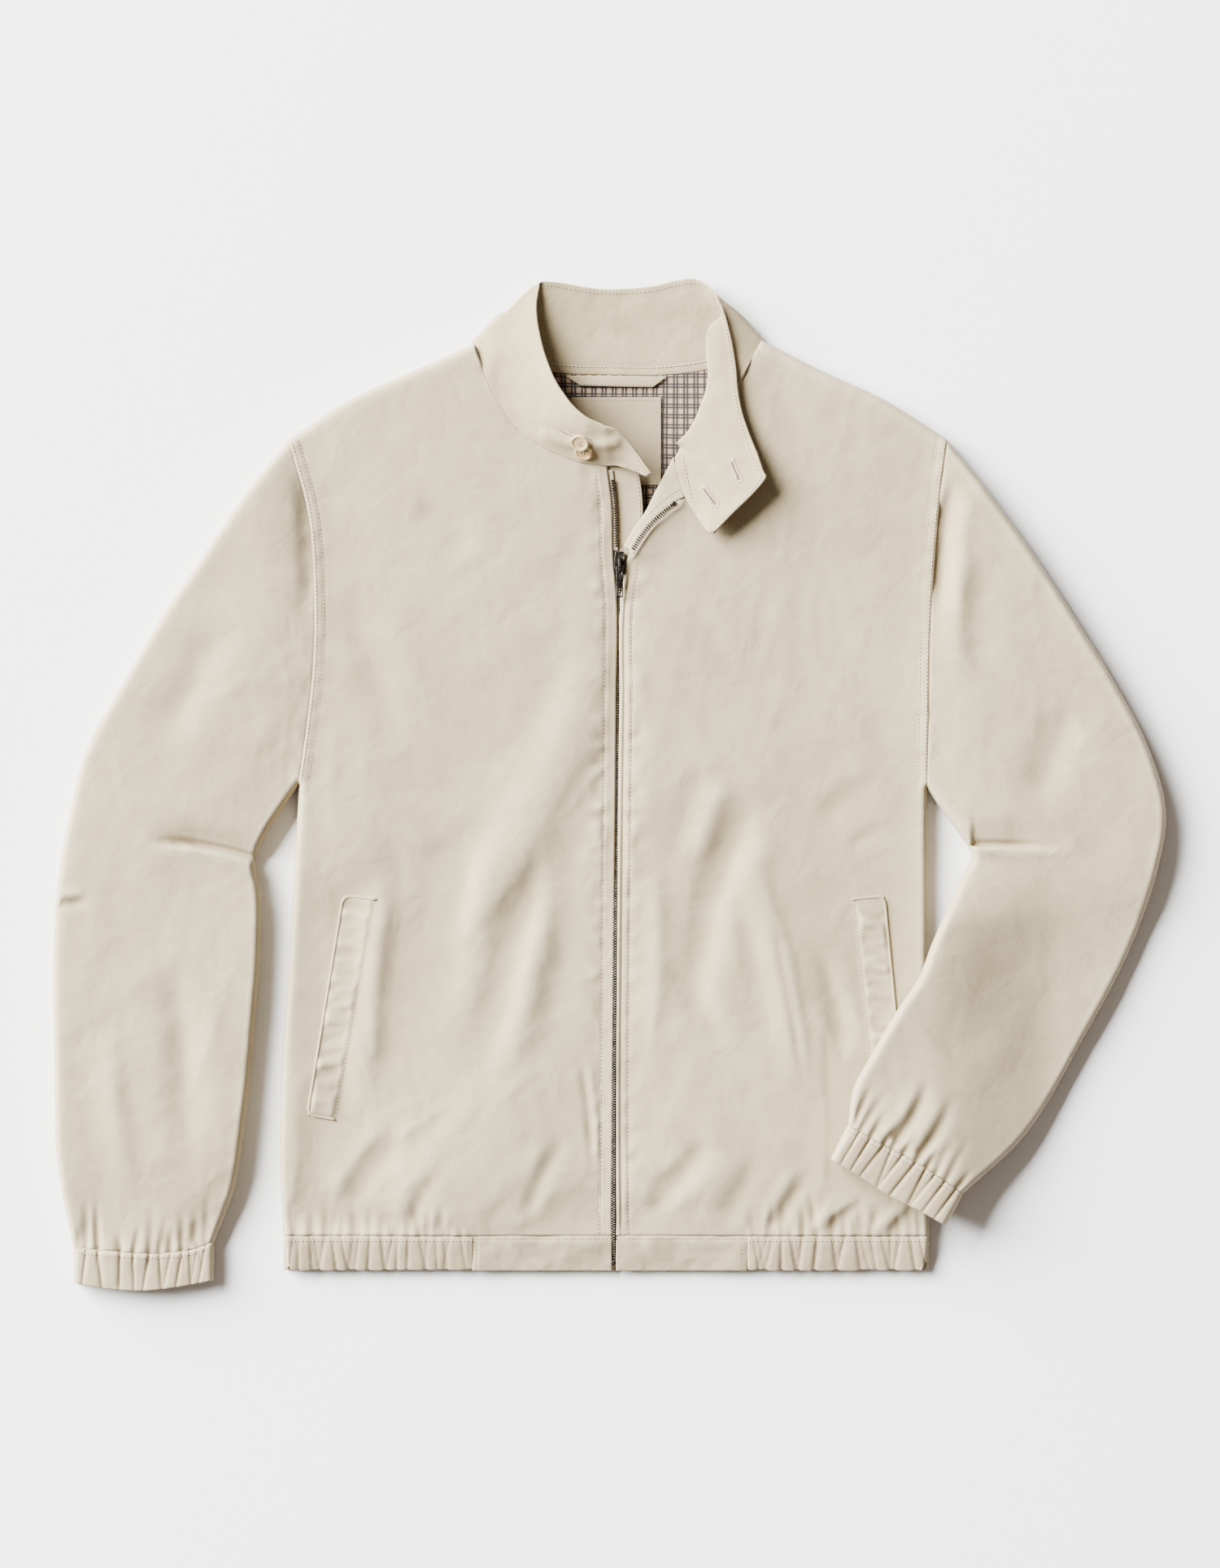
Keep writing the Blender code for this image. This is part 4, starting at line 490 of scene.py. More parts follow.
@dataclass
class LaidShell:
    """Levels of the jacket's two layers as it lies, before creases."""

    body_edges: list[Array] = field(init=False)
    sleeve_edges: list[Array] = field(init=False)
    armholes: list[Array] = field(init=False)

    def __post_init__(self) -> None:
        """Gathers the folded edges."""
        shoulders, outer, inner, sides, self.armholes = (
            [dense(line) for line in table.values()]
            for table in (SHOULDER, SLEEVE_OUTER, SLEEVE_INNER, SIDE_SEAM, ARMHOLE)
        )
        collar = [np.array([(-103.8, 322.2), (-54.8, 368.2)]), np.array([(109.2, 325.2), (74.8, 357.0)])]
        self.body_edges = shoulders + collar + outer + sides + [
            *(dense(line[:4]) for line in SLEEVE_INNER.values()),
            np.array([(-244.2, HEM_SEAM), (-244.2, HEM_BOTTOM - 40)]),
            np.array([(232.8, HEM_SEAM), (233.4, HEM_BOTTOM - 40)]),
        ]
        self.sleeve_edges = shoulders + outer + inner + [
            np.array([(-295.2, -340.2), (-296.2, -400.0)]), np.array([(-399.6, -344.4), (-398.6, -400.0)]),
            np.array([(172.2, -252.6), (147.0, -301.8)]), np.array([(256.8, -304.2), (231.6, -348.6)]),
        ]

    def loft(self, x: Array, y: Array) -> Array:
        """Full height of the upper layer, away from the edges."""
        reach = [np.interp(y, a[:, 1], np.abs(a[:, 0])) for a in self.armholes]
        sleeve = smoothstep((np.abs(x) - np.where(x < 0, reach[0], reach[1]) + 20) / 60)
        body = BODY_LOFT - (BODY_LOFT - HEM_LOFT) * smoothstep((-286 - y) / 50)
        placket = smoothstep((260 - y) / 60) * smoothstep((y + 330) / 60)
        body = body - FRONT_EDGE_DROP * bell(x / 13) * placket
        right_cuff = smoothstep((-270 - y) / CUFF_RAMP)
        gap = np.abs(nearest_on(x, y, CUFF_SEAM[LEFT][[0, -1]])[0])
        left_cuff = smoothstep(1 - gap / CUFF_RAMP)
        past = self.from_left_cuff(x, y) < 0
        left_cuff = np.where(past & (left_cuff > 0), 1.0, left_cuff)
        arm = SLEEVE_LOFT - (SLEEVE_LOFT - CUFF_LOFT) * np.where(x < 0, right_cuff, left_cuff)
        return body * (1 - sleeve) + arm * sleeve

    def from_left_cuff(self, x: Array, y: Array) -> Array:
        """Distance up the bent forearm from its cuff, negative past it."""
        start = CUFF_SEAM[LEFT][0]
        return (x - start[0]) * FOREARM[0] + (y - start[1]) * FOREARM[1]

    def arm_loft(self, x: Array, y: Array) -> Array:
        """Full height of the bent forearm over its own underside."""
        narrowed = smoothstep(1 - self.from_left_cuff(x, y) / CUFF_RAMP)
        return SLEEVE_LOFT - (SLEEVE_LOFT - CUFF_LOFT) * narrowed

    def bent(self, x: Array, y: Array) -> Array:
        """1 on the bent forearm, 0 off it, with a ramp at its elbow."""
        return np.where(x > 0, smoothstep((BENT_FROM - y) / BENT_OVER), 0.0)

    def arm_lift(self, x: Array, y: Array) -> Array:
        """Height of a sleeve's underside away from its edges: only the bent forearm is off the floor."""
        beside = 1 - smoothstep((x - SIDE_SEAM[LEFT][-1][0]) / BENT_ARM_RAMP)
        return BENT_ARM_LIFT * beside * self.bent(x, y)

    def rolled(self, inside: Array) -> Array:
        """How much of its full height the upper layer has at a distance in from a folded edge."""
        return np.sqrt(1 - (1 - np.clip(inside / ROLL_WIDTH, 0, 1)) ** 2)

    def under_edge(self, inside: Array) -> Array:
        """Height of the lower layer's underside beside a folded edge."""
        return EDGE_HEIGHT * (1 - np.sqrt(1 - (1 - np.clip(inside / EDGE_BELOW, 0, 1)) ** 2))

    def body_top(self, x: Array, y: Array, relief: Surface | float = 0.0) -> Array:
        """Height of the body's upper layer, with relief that dies away at the folded edges."""
        extra = relief(x, y) if callable(relief) else relief
        rolled = self.rolled(edge_distance(x, y, self.body_edges))
        return EDGE_HEIGHT + (self.loft(x, y) + extra - EDGE_HEIGHT) * rolled

    def body_under(self, x: Array, y: Array) -> Array:
        """Height of the body's underside."""
        return self.under_edge(edge_distance(x, y, self.body_edges))

    def sleeve_top(self, x: Array, y: Array, relief: Surface | float = 0.0) -> Array:
        """Height of a sleeve's or cuff's upper layer."""
        extra = relief(x, y) if callable(relief) else relief
        bent = self.bent(x, y)
        full = self.loft(x, y) * (1 - bent) + self.arm_loft(x, y) * bent + extra
        rolled = self.rolled(edge_distance(x, y, self.sleeve_edges))
        return self.arm_lift(x, y) + EDGE_HEIGHT + (full - EDGE_HEIGHT) * rolled

    def sleeve_under(self, x: Array, y: Array) -> Array:
        """Height of a sleeve's or cuff's underside."""
        return self.arm_lift(x, y) + self.under_edge(edge_distance(x, y, self.sleeve_edges))


# Meshes


def unit(vectors: Array) -> Array:
    """Vectors scaled to length 1."""
    length = np.linalg.norm(vectors, axis=-1, keepdims=True)
    return vectors / np.where(length < 1e-12, 1, length)


def with_height(plan: Array, height: Surface) -> Array:
    """Plan points with their heights."""
    return np.concatenate([plan, height(plan[..., 0], plan[..., 1])[..., None]], axis=-1)


def grid_normals(grid: Array, around: bool, up: bool) -> tuple[Array, bool]:
    """Finds the outward normals of a grid.

    Args:
        grid: Rows by columns by 3.
        around: Whether its rows close on themselves.
        up: Whether the grid, or the first half of a closed one, faces up.

    Returns:
        Unit normals, and whether they run against the grid's own turning sense.
    """
    across = np.roll(grid, -1, axis=1) - np.roll(grid, 1, axis=1) if around else np.gradient(grid, axis=1)
    normals = unit(np.cross(across, np.gradient(grid, axis=0)))
    half = normals[:, : normals.shape[1] // 2] if around else normals
    flip = (half[..., 2].mean() > 0) != up
    return (-normals if flip else normals), flip


def rim_loops(grid: Array, around: bool) -> list[list[int]]:
    """Indices of a grid's free borders, each once round."""
    rows, columns = grid.shape[:2]
    index = np.arange(rows * columns).reshape(rows, columns)
    if around:
        return [list(index[0]), list(index[-1][::-1])]
    return [list(index[0]) + list(index[1:, -1]) + list(index[-1, :-1][::-1]) + list(index[1:-1, 0][::-1])]


def add_mesh(name: str, points: Array, faces: Array, cloth_uv: Array | None = None) -> Piece:
    """Makes an object of four-sided faces.

    Args:
        name: The object's name.
        points: Points in metres.
        faces: Rows of four indices.
        cloth_uv: One place on the cloth per face corner, in metres.

    Returns:
        The linked object.
    """
    mesh = bpy.data.meshes.new(name)
    mesh.vertices.add(len(points))
    mesh.vertices.foreach_set("co", np.ascontiguousarray(points, np.float32).ravel())
    mesh.loops.add(faces.size)
    mesh.loops.foreach_set("vertex_index", np.ascontiguousarray(faces, np.int32).ravel())
    mesh.polygons.add(len(faces))
    mesh.polygons.foreach_set("loop_start", np.arange(0, faces.size, faces.shape[1], dtype=np.int32))
    mesh.update(calc_edges=True)
    if cloth_uv is not None:
        layer = mesh.uv_layers.new(name="cloth")
        layer.uv.foreach_set("vector", np.ascontiguousarray(cloth_uv, np.float32).ravel())
    mesh.shade_smooth()
    obj = bpy.data.objects.new(name, mesh)
    bpy.context.scene.collection.objects.link(obj)
    return obj


def grid_quads(rows: int, columns: int, around: bool) -> tuple[Array, Array, Array]:
    """Row and column of each cell of a grid, and the indices of its four corners."""
    i, j = np.meshgrid(np.arange(rows - 1), np.arange(columns if around else columns - 1), indexing="ij")
    i, j = i.ravel(), j.ravel()
    low, after = i * columns, (j + 1) % columns
    return i, j, np.stack([low + j, low + after, low + columns + after, low + columns + j], axis=1)


def map_cloth(mesh: bpy.types.Mesh, places: Array) -> None:
    """Fills a mesh's cloth map with one place, in metres, for each of its points."""
    corners = np.zeros(len(mesh.loops), np.int32)
    mesh.loops.foreach_get("vertex_index", corners)
    mesh.uv_layers["cloth"].uv.foreach_set("vector", np.ascontiguousarray(places[corners], np.float32).ravel())


def shell(
    name: str, outer: Array, depth: float | Array, around: bool = False, up: bool = True, rim: int = 2,
) -> Piece:
    """Builds one closed sheet of cloth with rounded rims.

    Args:
        name: The object's name.
        outer: Grid of its outer face, in millimetres.
        depth: Thickness of the cloth, one value or one per point.
        around: Whether the rows close on themselves, as on a tube.
        up: Whether the outer face, or a tube's first half, faces up.
        rim: Loops of points that round each free edge.

    Returns:
        The object, with a UV map in metres along the cloth.
    """
    rows, columns = outer.shape[:2]
    normals, flip = grid_normals(outer, around, up)
    depth = np.broadcast_to(np.asarray(depth, float), (rows, columns))[..., None]
    inner = outer - depth * normals
    closed = np.concatenate([outer, outer[:, :1]], axis=1) if around else outer
    run = np.linalg.norm(np.diff(closed, axis=1), axis=2)
    u = np.concatenate([np.zeros((rows, 1)), np.cumsum(run, axis=1)], axis=1)
    u = u - u[:, u.shape[1] // 2][:, None]
    rise = np.linalg.norm(np.diff(outer, axis=0), axis=2)
    v = np.concatenate([np.zeros((1, columns)), np.cumsum(rise, axis=0)])
    v = np.concatenate([v, v[:, :1]], axis=1) if around else v
    uv = np.stack([u, v], axis=-1) * MM

    i, j, quads = grid_quads(rows, columns, around)
    places = np.stack([uv[i, j], uv[i, j + 1], uv[i + 1, j + 1], uv[i + 1, j]], axis=1)
    size = rows * columns
    points = [outer.reshape(-1, 3), inner.reshape(-1, 3)]
    faces = [quads, quads[:, ::-1] + size]
    corners = [places, places[:, ::-1]]
    made = 2 * size
    flat_outer, flat_inner = points
    inside_of = inner_neighbours(outer, around)
    for loop in rim_loops(outer, around):
        loop = np.array(loop)
        top, low = flat_outer[loop], flat_inner[loop]
        normal = unit(top - low)
        outward = top - inside_of[loop]
        outward = unit(outward - (outward * normal).sum(axis=1, keepdims=True) * normal)
        half = np.linalg.norm(top - low, axis=1, keepdims=True) / 2
        rings = [loop]
        for k in range(1, rim + 1):
            turn = math.pi * k / (rim + 1)
            points.append((top + low) / 2 + half * (math.cos(turn) * normal + math.sin(turn) * outward))
            rings.append(made + np.arange(len(loop)))
            made += len(loop)
        rings.append(loop + size)
        flat_uv = uv[:, :columns].reshape(-1, 2)[loop]
        next_uv = np.roll(flat_uv, -1, axis=0)
        for upper, lower in zip(rings[:-1], rings[1:]):
            faces.append(np.stack([upper, lower, np.roll(lower, -1), np.roll(upper, -1)], axis=1))
            corners.append(np.stack([flat_uv, flat_uv, next_uv, next_uv], axis=1))
    faces, corners = np.concatenate(faces), np.concatenate(corners)
    if flip:
        faces, corners = faces[:, ::-1], corners[:, ::-1]
    return add_mesh(name, np.concatenate(points) * MM, faces, corners)


def inner_neighbours(grid: Array, around: bool) -> Array:
    """For each border point of a grid, the point one step inside it."""
    rows, columns = grid.shape[:2]
    i, j = np.clip(np.arange(rows), 1, rows - 2), np.arange(columns)
    if not around:
        j = np.clip(j, 1, columns - 2)
    return grid[i][:, j].reshape(-1, 3)


def add_fade_and_shade(obj: Piece, grid: Array, around: bool) -> None:
    """Stores how far each point of a shell stands out of its surroundings, for fading on ridges and painted shade in
    hollows.

    Args:
        obj: A shell made from the grid.
        grid: Its outer face.
        around: Whether its rows close on themselves.
    """
    height = mean = grid[..., 2]
    for axis in (0, 1):
        total = np.zeros_like(mean)
        for step in range(-FADE_SHADE_STEPS, FADE_SHADE_STEPS + 1):
            if axis == 1 and around:
                total += np.roll(mean, step, axis=1)
            else:
                index = np.clip(np.arange(mean.shape[axis]) + step, 0, mean.shape[axis] - 1)
                total += np.take(mean, index, axis=axis)
        mean = total / (2 * FADE_SHADE_STEPS + 1)
    stand = np.clip((height - mean) / FADE_SHADE_HEIGHT, -1, 1).ravel()
    values = np.zeros(len(obj.data.vertices), np.float32)
    values[: len(stand)] = stand
    # the stored value fades ridges above 0 and gives painted shade to hollows below 0
    layer = obj.data.attributes.new("ridge_fade_and_hollow_shade", "FLOAT", "POINT")
    layer.data.foreach_set("value", values)


def deselect_all() -> None:
    """Leaves object mode with nothing selected."""
    if bpy.context.mode != "OBJECT":
        bpy.ops.object.mode_set(mode="OBJECT")
    bpy.ops.object.select_all(action="DESELECT")


def activate(*pieces: Piece) -> None:
    """Selects these pieces alone, and makes the first of them the active one."""
    deselect_all()
    for piece in pieces:
        piece.select_set(True)
    bpy.context.view_layer.objects.active = pieces[0]


def settle(obj: Piece) -> None:
    """Moves an object's place, turn and scale into its mesh."""
    activate(obj)
    bpy.ops.object.transform_apply(location=True, rotation=True, scale=True)
    obj.select_set(False)


def block(name: str, size: Sequence[float], centre: Sequence[float], turn: float = 0.0) -> Piece:
    """Builds a box from its size, its middle and its turn about z."""
    deselect_all()
    bpy.ops.mesh.primitive_cube_add(size=1, location=[c * MM for c in centre], rotation=(0, 0, turn))
    box = bpy.context.object
    box.name = name
    box.scale = [s * MM for s in size]
    settle(box)
    return box


def pick(obj: Piece, test: Callable[[Vector, Vector], bool], kind: str = "FACE") -> None:
    """Selects the faces, or the points, whose place and normal pass a test, and opens edit mode."""
    bpy.ops.object.mode_set(mode="EDIT")
    bpy.ops.mesh.select_mode(type=kind)
    bpy.ops.mesh.select_all(action="DESELECT")
    bpy.ops.object.mode_set(mode="OBJECT")
    for part in obj.data.polygons if kind == "FACE" else obj.data.vertices:
        part.select = bool(test(part.center if kind == "FACE" else part.co, part.normal))
    bpy.ops.object.mode_set(mode="EDIT")


def apply_bevel(obj: Piece, width: float, segments: int, angle: float = 30.0) -> None:
    """Rounds an object's edges that turn by more than an angle."""
    bevel = obj.modifiers.new("Round", "BEVEL")
    bevel.width, bevel.segments, bevel.limit_method = width, segments, "ANGLE"
    bevel.angle_limit = math.radians(angle)
    bpy.context.view_layer.objects.active = obj
    bpy.ops.object.modifier_apply(modifier=bevel.name)


def read_template(obj: Piece) -> tuple[Array, Array]:
    """Takes a small modelled object apart into points and triangles, and removes it."""
    settle(obj)
    mesh = obj.data
    mesh.calc_loop_triangles()
    points = np.array([tuple(v.co) for v in mesh.vertices])
    triangles = np.array([tuple(t.vertices) for t in mesh.loop_triangles])
    bpy.data.objects.remove(obj)
    bpy.data.meshes.remove(mesh)
    return points, triangles


def place_copies(points: Array, triangles: Array, places: Array, frames: Array) -> tuple[Array, Array]:
    """Copies a template.

    Args:
        points: The template's points.
        triangles: Its triangles.
        places: One point per copy.
        frames: One turn per copy, whose rows are the directions of the template's axes.

    Returns:
        All points and all triangles.
    """
    moved = np.einsum("pk,nkd->npd", points, frames) + places[:, None, :]
    shift = np.arange(len(places))[:, None, None] * len(points)
    return moved.reshape(-1, 3), (triangles[None] + shift).reshape(-1, 3)


def frames_along(path: Array, normals: Array) -> Array:
    """Turns for copies along a path: x runs along it and z stands on the cloth."""
    along = unit(np.gradient(path, axis=0))
    normals = unit(normals - (normals * along).sum(axis=1, keepdims=True) * along)
    return np.stack([along, np.cross(normals, along), normals], axis=1)


def at_pitch(path: Array, normals: Array, pitch: float, start: float = 0.0) -> tuple[Array, Array]:
    """Reads a path and its normals every pitch millimetres."""
    stops = lengths_of(path)
    places = np.arange(start, stops[-1], pitch)
    read = [np.interp(places, stops, column) for column in np.concatenate([path, normals], axis=1).T]
    return np.stack(read[:3], axis=1), unit(np.stack(read[3:], axis=1))


# Finishes

class Wiring:
    """Adds and links the nodes of one tree."""

    def __init__(self, tree: Tree) -> None:
        """Starts on a tree."""
        self.tree = tree

    def add(self, kind: str, **settings: object) -> Node:
        """Adds a node with its settings."""
        node = self.tree.nodes.new(kind)
        for name, value in settings.items():
            setattr(node, name, value)
        return node

    def feed(self, target: Socket, source: object) -> None:
        """Links a socket to its source, or sets its value."""
        if isinstance(source, Socket):
            self.tree.links.new(source, target)
        else:
            target.default_value = source

    def maths(self, operation: str, *inputs: object, clamp: bool = False) -> Socket:
        """Adds a Math node and gives its output."""
        node = self.add("ShaderNodeMath", operation=operation, use_clamp=clamp)
        for socket, value in zip(node.inputs, inputs):
            self.feed(socket, value)
        return node.outputs[0]

    def mix(self, share: object, first: object, second: object) -> Socket:
        """Mixes two colours and gives the result."""
        node = self.add("ShaderNodeMix", data_type="RGBA")
        self.feed(node.inputs[0], share)
        self.feed(node.inputs[6], (*first, 1.0) if isinstance(first, tuple) else first)
        self.feed(node.inputs[7], (*second, 1.0) if isinstance(second, tuple) else second)
        return node.outputs[2]

    def fill(self, node: Node, **inputs: object) -> Node:
        """Feeds a node's inputs by name, with underscores for spaces."""
        for name, value in inputs.items():
            self.feed(node.inputs[name.replace("_", " ")], value)
        return node

    def times(self, first: object, second: object) -> Socket:
        """Multiplies two values."""
        return self.maths("MULTIPLY", first, second)

    def noise(self, vector: Socket, scale: object, detail: float, distortion: float = 0.0) -> Socket:
        """Adds a Noise texture and gives its value."""
        node = self.add("ShaderNodeTexNoise")
        return self.fill(node, Vector=vector, Scale=scale, Detail=detail, Distortion=distortion).outputs[0]

    def ramp(self, value: object, low: float, high: float, to_low: float = 0.0, to_high: float = 1.0) -> Socket:
        """Maps a value smoothly from one range to another."""
        node = self.add("ShaderNodeMapRange", interpolation_type="SMOOTHSTEP")
        for socket, given in zip(node.inputs, (value, low, high, to_low, to_high)):
            self.feed(socket, given)
        return node.outputs[0]

    def group(self, tree: Tree, **inputs: object) -> Node:
        """Places a group with its values."""
        return self.fill(self.add("ShaderNodeGroup", node_tree=tree), **inputs)


def new_group(name: str, inputs: dict[str, float | None], outputs: Sequence[str]) -> tuple[Wiring, Node, Node]:
    """Starts a shader group.

    Args:
        name: The group's name.
        inputs: Socket name to its default, or to None for a vector.
        outputs: Names of its float outputs.

    Returns:
        The wiring, the input node and the output node.
    """
    tree = bpy.data.node_groups.new(name, "ShaderNodeTree")
    for label, default in inputs.items():
        kind = "NodeSocketVector" if default is None else "NodeSocketFloat"
        socket = tree.interface.new_socket(name=label, in_out="INPUT", socket_type=kind)
        if default is not None:
            socket.default_value = default
    for label in outputs:
        tree.interface.new_socket(name=label, in_out="OUTPUT", socket_type="NodeSocketFloat")
    wiring = Wiring(tree)
    return wiring, wiring.add("NodeGroupInput"), wiring.add("NodeGroupOutput")


def weave_group() -> Tree:
    """Plain or twill weave on a cloth's own map: its height, and how much it shades."""
    w, given, out = new_group("weave", {"Vector": None, "Threads": 1600.0, "Slant": 0.5}, ("Height", "Shade"))
    parts = w.add("ShaderNodeSeparateXYZ")
    w.feed(parts.inputs[0], given.outputs["Vector"])
    u = w.times(parts.outputs[0], given.outputs["Threads"])
    v = w.times(parts.outputs[1], given.outputs["Threads"])
    warp = w.maths("SINE", w.times(u, 2 * math.pi))
    diagonal = w.maths("ADD", u, w.times(v, given.outputs["Slant"]))
    rib = w.maths("SINE", w.times(diagonal, math.pi))
    weft = w.maths("SINE", w.times(v, 2 * math.pi))
    cross = w.times(warp, weft)
    slub = w.noise(given.outputs["Vector"], 420.0, 2.0)
    height = w.maths("ADD", w.times(rib, 0.6), w.times(cross, 0.4))
    height = w.maths("ADD", height, w.times(slub, 1.2))
    w.feed(out.inputs["Height"], height)
    w.feed(out.inputs["Shade"], w.ramp(height, -1.0, 1.6))
    return w.tree


def mottle_group() -> Tree:
    """Slow unevenness of a washed cloth, from two sizes of cloud."""
    w, given, out = new_group("mottle", {"Vector": None, "Large": 9.0, "Small": 60.0}, ("Value",))
    large, small = (w.noise(given.outputs["Vector"], given.outputs[size], 4.0) for size in ("Large", "Small"))
    both = w.maths("ADD", w.times(large, 0.6), w.times(small, 0.4))
    w.feed(out.inputs["Value"], w.ramp(both, 0.35, 0.65))
    return w.tree


def crinkle_group() -> Tree:
    """Soft crinkles of a washed cloth, broad ones with finer ones between."""
    w, given, out = new_group("crinkle", {"Vector": None, "Broad": 34.0, "Fine": 120.0}, ("Height",))
    broad = w.noise(given.outputs["Vector"], given.outputs["Broad"], 2.0, 0.8)
    fine = w.noise(given.outputs["Vector"], given.outputs["Fine"], 2.0, 0.5)
    both = w.maths("ADD", w.times(broad, 0.85), w.times(fine, 0.15))
    w.feed(out.inputs["Height"], both)
    return w.tree


BAND_EDGE = 0.00012      # how far a woven stripe takes to end, in metres


def band_group() -> Tree:
    """One stripe of a repeating pattern: 1 on the stripe, 0 off it."""
    w, given, out = new_group("band", {"Place": 0.0, "Repeat": 0.0075, "Centre": 0.0, "Width": 0.001}, ("Mask",))
    moved = w.maths("SUBTRACT", given.outputs["Place"], given.outputs["Centre"])
    turn = w.maths("ADD", w.maths("DIVIDE", moved, given.outputs["Repeat"]), 0.5)
    offset = w.maths("SUBTRACT", w.maths("FRACT", turn), 0.5)
    gap = w.times(w.maths("ABSOLUTE", offset), given.outputs["Repeat"])
    half = w.times(given.outputs["Width"], 0.5)
    inside = w.maths("DIVIDE", w.maths("SUBTRACT", half, gap), BAND_EDGE)
    w.feed(out.inputs["Mask"], w.maths("ADD", inside, 0.5, clamp=True))
    return w.tree


@dataclass
class Groups:
    """The shared effects, built once."""

    weave: Tree = field(default_factory=weave_group)
    mottle: Tree = field(default_factory=mottle_group)
    crinkle: Tree = field(default_factory=crinkle_group)
    band: Tree = field(default_factory=band_group)


def new_material(name: str) -> tuple[Material, Wiring, Node, Socket]:
    """Starts a material and gives its wiring, its Principled shader and places in the object's frame."""
    material = bpy.data.materials.new(name)
    material.use_nodes = True
    w = Wiring(material.node_tree)
    return material, w, w.tree.nodes["Principled BSDF"], w.add("ShaderNodeTexCoord").outputs["Object"]


def bump(
    w: Wiring, height: Socket, distance: float, strength: float, under: Socket | None = None,
) -> Socket:
    """Adds a Bump node, over another normal if one is given, and gives its normal."""
    node = w.fill(w.add("ShaderNodeBump"), Height=height, Distance=distance, Strength=strength)
    if under is not None:
        w.feed(node.inputs["Normal"], under)
    return node.outputs[0]


@dataclass(frozen=True)
class Cotton:
    """A washed cotton, faded on its ridges, with painted shade in its hollows."""

    name: str
    colour: Colour
    shade: Colour
    faded: Colour
    threads: float = 1500.0
    slant: float = 0.5
    relief: float = 0.00004
    sheen: float = 0.12
    roughness: float = 0.86
    crinkle: float = 0.0011

    def material(self, groups: Groups) -> Material:
        """Builds the cloth's material."""
        material, w, shader, place = new_material(self.name)
        uv = w.add("ShaderNodeUVMap", uv_map="cloth")
        weave = w.group(groups.weave, Vector=uv.outputs[0], Threads=self.threads, Slant=self.slant)
        mottle = w.group(groups.mottle, Vector=place)
        ridge_fade_and_hollow_shade = w.add("ShaderNodeAttribute", attribute_name="ridge_fade_and_hollow_shade").outputs["Fac"]
        colour = w.mix(w.times(mottle.outputs[0], 0.5), self.colour, self.shade)
        colour = w.mix(w.ramp(ridge_fade_and_hollow_shade, 0.1, 0.9, 0.0, 0.5), colour, self.faded)
        # painted shade: darker where the cloth sinks below its surroundings, in creases and hollows
        colour = w.mix(w.ramp(ridge_fade_and_hollow_shade, -0.15, -1.0, 0.0, 0.45), colour, self.shade)
        hollow = w.maths("SUBTRACT", 1.0, weave.outputs["Shade"])
        crinkled = bump(w, w.group(groups.crinkle, Vector=place).outputs["Height"], self.crinkle, 1.0)
        w.fill(
            shader, Base_Color=w.mix(w.times(hollow, 0.22), colour, self.shade),
            Roughness=w.ramp(mottle.outputs[0], 0.0, 1.0, self.roughness - 0.05, self.roughness + 0.06),
            Sheen_Weight=self.sheen, Sheen_Roughness=0.5, Specular_IOR_Level=0.3,
            Normal=bump(w, weave.outputs["Height"], self.relief, 0.6, crinkled),
        )
        return material


@dataclass(frozen=True)
class CheckLining:
    """A woven check: pairs of dark stripes down, thinner pairs across, and fine warm lines between."""

    name: str = "lining_check"
    ground: Colour = (0.37, 0.28, 0.18)
    ground_shade: Colour = (0.33, 0.24, 0.15)
    dark: Colour = (0.011, 0.007, 0.006)
    warm: Colour = (0.2, 0.1, 0.065)
    repeat: float = 0.0075
    stripe: float = 0.0017
    gap: float = 0.0007

    def material(self, groups: Groups) -> Material:
        """Builds the lining's material."""
        material, w, shader, place = new_material(self.name)
        uv = w.add("ShaderNodeUVMap", uv_map="cloth")
        parts = w.add("ShaderNodeSeparateXYZ")
        w.feed(parts.inputs[0], uv.outputs[0])

        def bands(axis: int, centres: Sequence[float], width: float) -> Socket:
            """Sum of the stripes at several centres along one axis."""
            total = None
            for centre in centres:
                stripe = w.group(
                    groups.band, Place=parts.outputs[axis], Repeat=self.repeat, Centre=centre, Width=width,
                ).outputs[0]
                total = stripe if total is None else w.maths("ADD", total, stripe, clamp=True)
            return total

        reach = (self.stripe + self.gap) / 2
        down = bands(0, (-reach, reach), self.stripe)
        across = bands(1, (-reach * 0.9, reach * 0.9), self.stripe * 0.9)
        fine, fine_across = (
            bands(axis, (self.repeat * 0.37, self.repeat * 0.63), self.stripe * 0.3) for axis in (0, 1)
        )
        weave = w.group(groups.weave, Vector=uv.outputs[0], Threads=2200.0, Slant=0.0)
        mottle = w.group(groups.mottle, Vector=place)
        colour = w.mix(w.times(mottle.outputs[0], 0.5), self.ground, self.ground_shade)
        for mask, share, over in (
            (fine, 0.6, self.warm), (fine_across, 0.6, self.warm), (across, 0.92, self.dark), (down, 0.94, self.dark),
        ):
            colour = w.mix(w.times(mask, share), colour, over)
        w.fill(
            shader, Base_Color=colour, Roughness=w.ramp(weave.outputs["Shade"], 0.0, 1.0, 0.85, 0.75),
            Normal=bump(w, weave.outputs["Height"], 0.00005, 0.5),
        )
        return material


@dataclass(frozen=True)
class Metal:
    """Dark plated brass, rubbed brighter in places."""

    name: str
    colour: Colour = (0.028, 0.025, 0.023)
    rubbed: Colour = (0.2, 0.18, 0.15)
    rubbing: float = 0.25

    def material(self, groups: Groups) -> Material:
        """Builds the metal's material."""
        material, w, shader, place = new_material(self.name)
        mottle = w.group(groups.mottle, Vector=place, Large=180.0, Small=900.0)
        colour = w.mix(w.times(mottle.outputs[0], self.rubbing), self.colour, self.rubbed)
        w.fill(shader, Base_Color=colour, Metallic=1.0, Roughness=w.ramp(mottle.outputs[0], 0.0, 1.0, 0.26, 0.44))
        return material


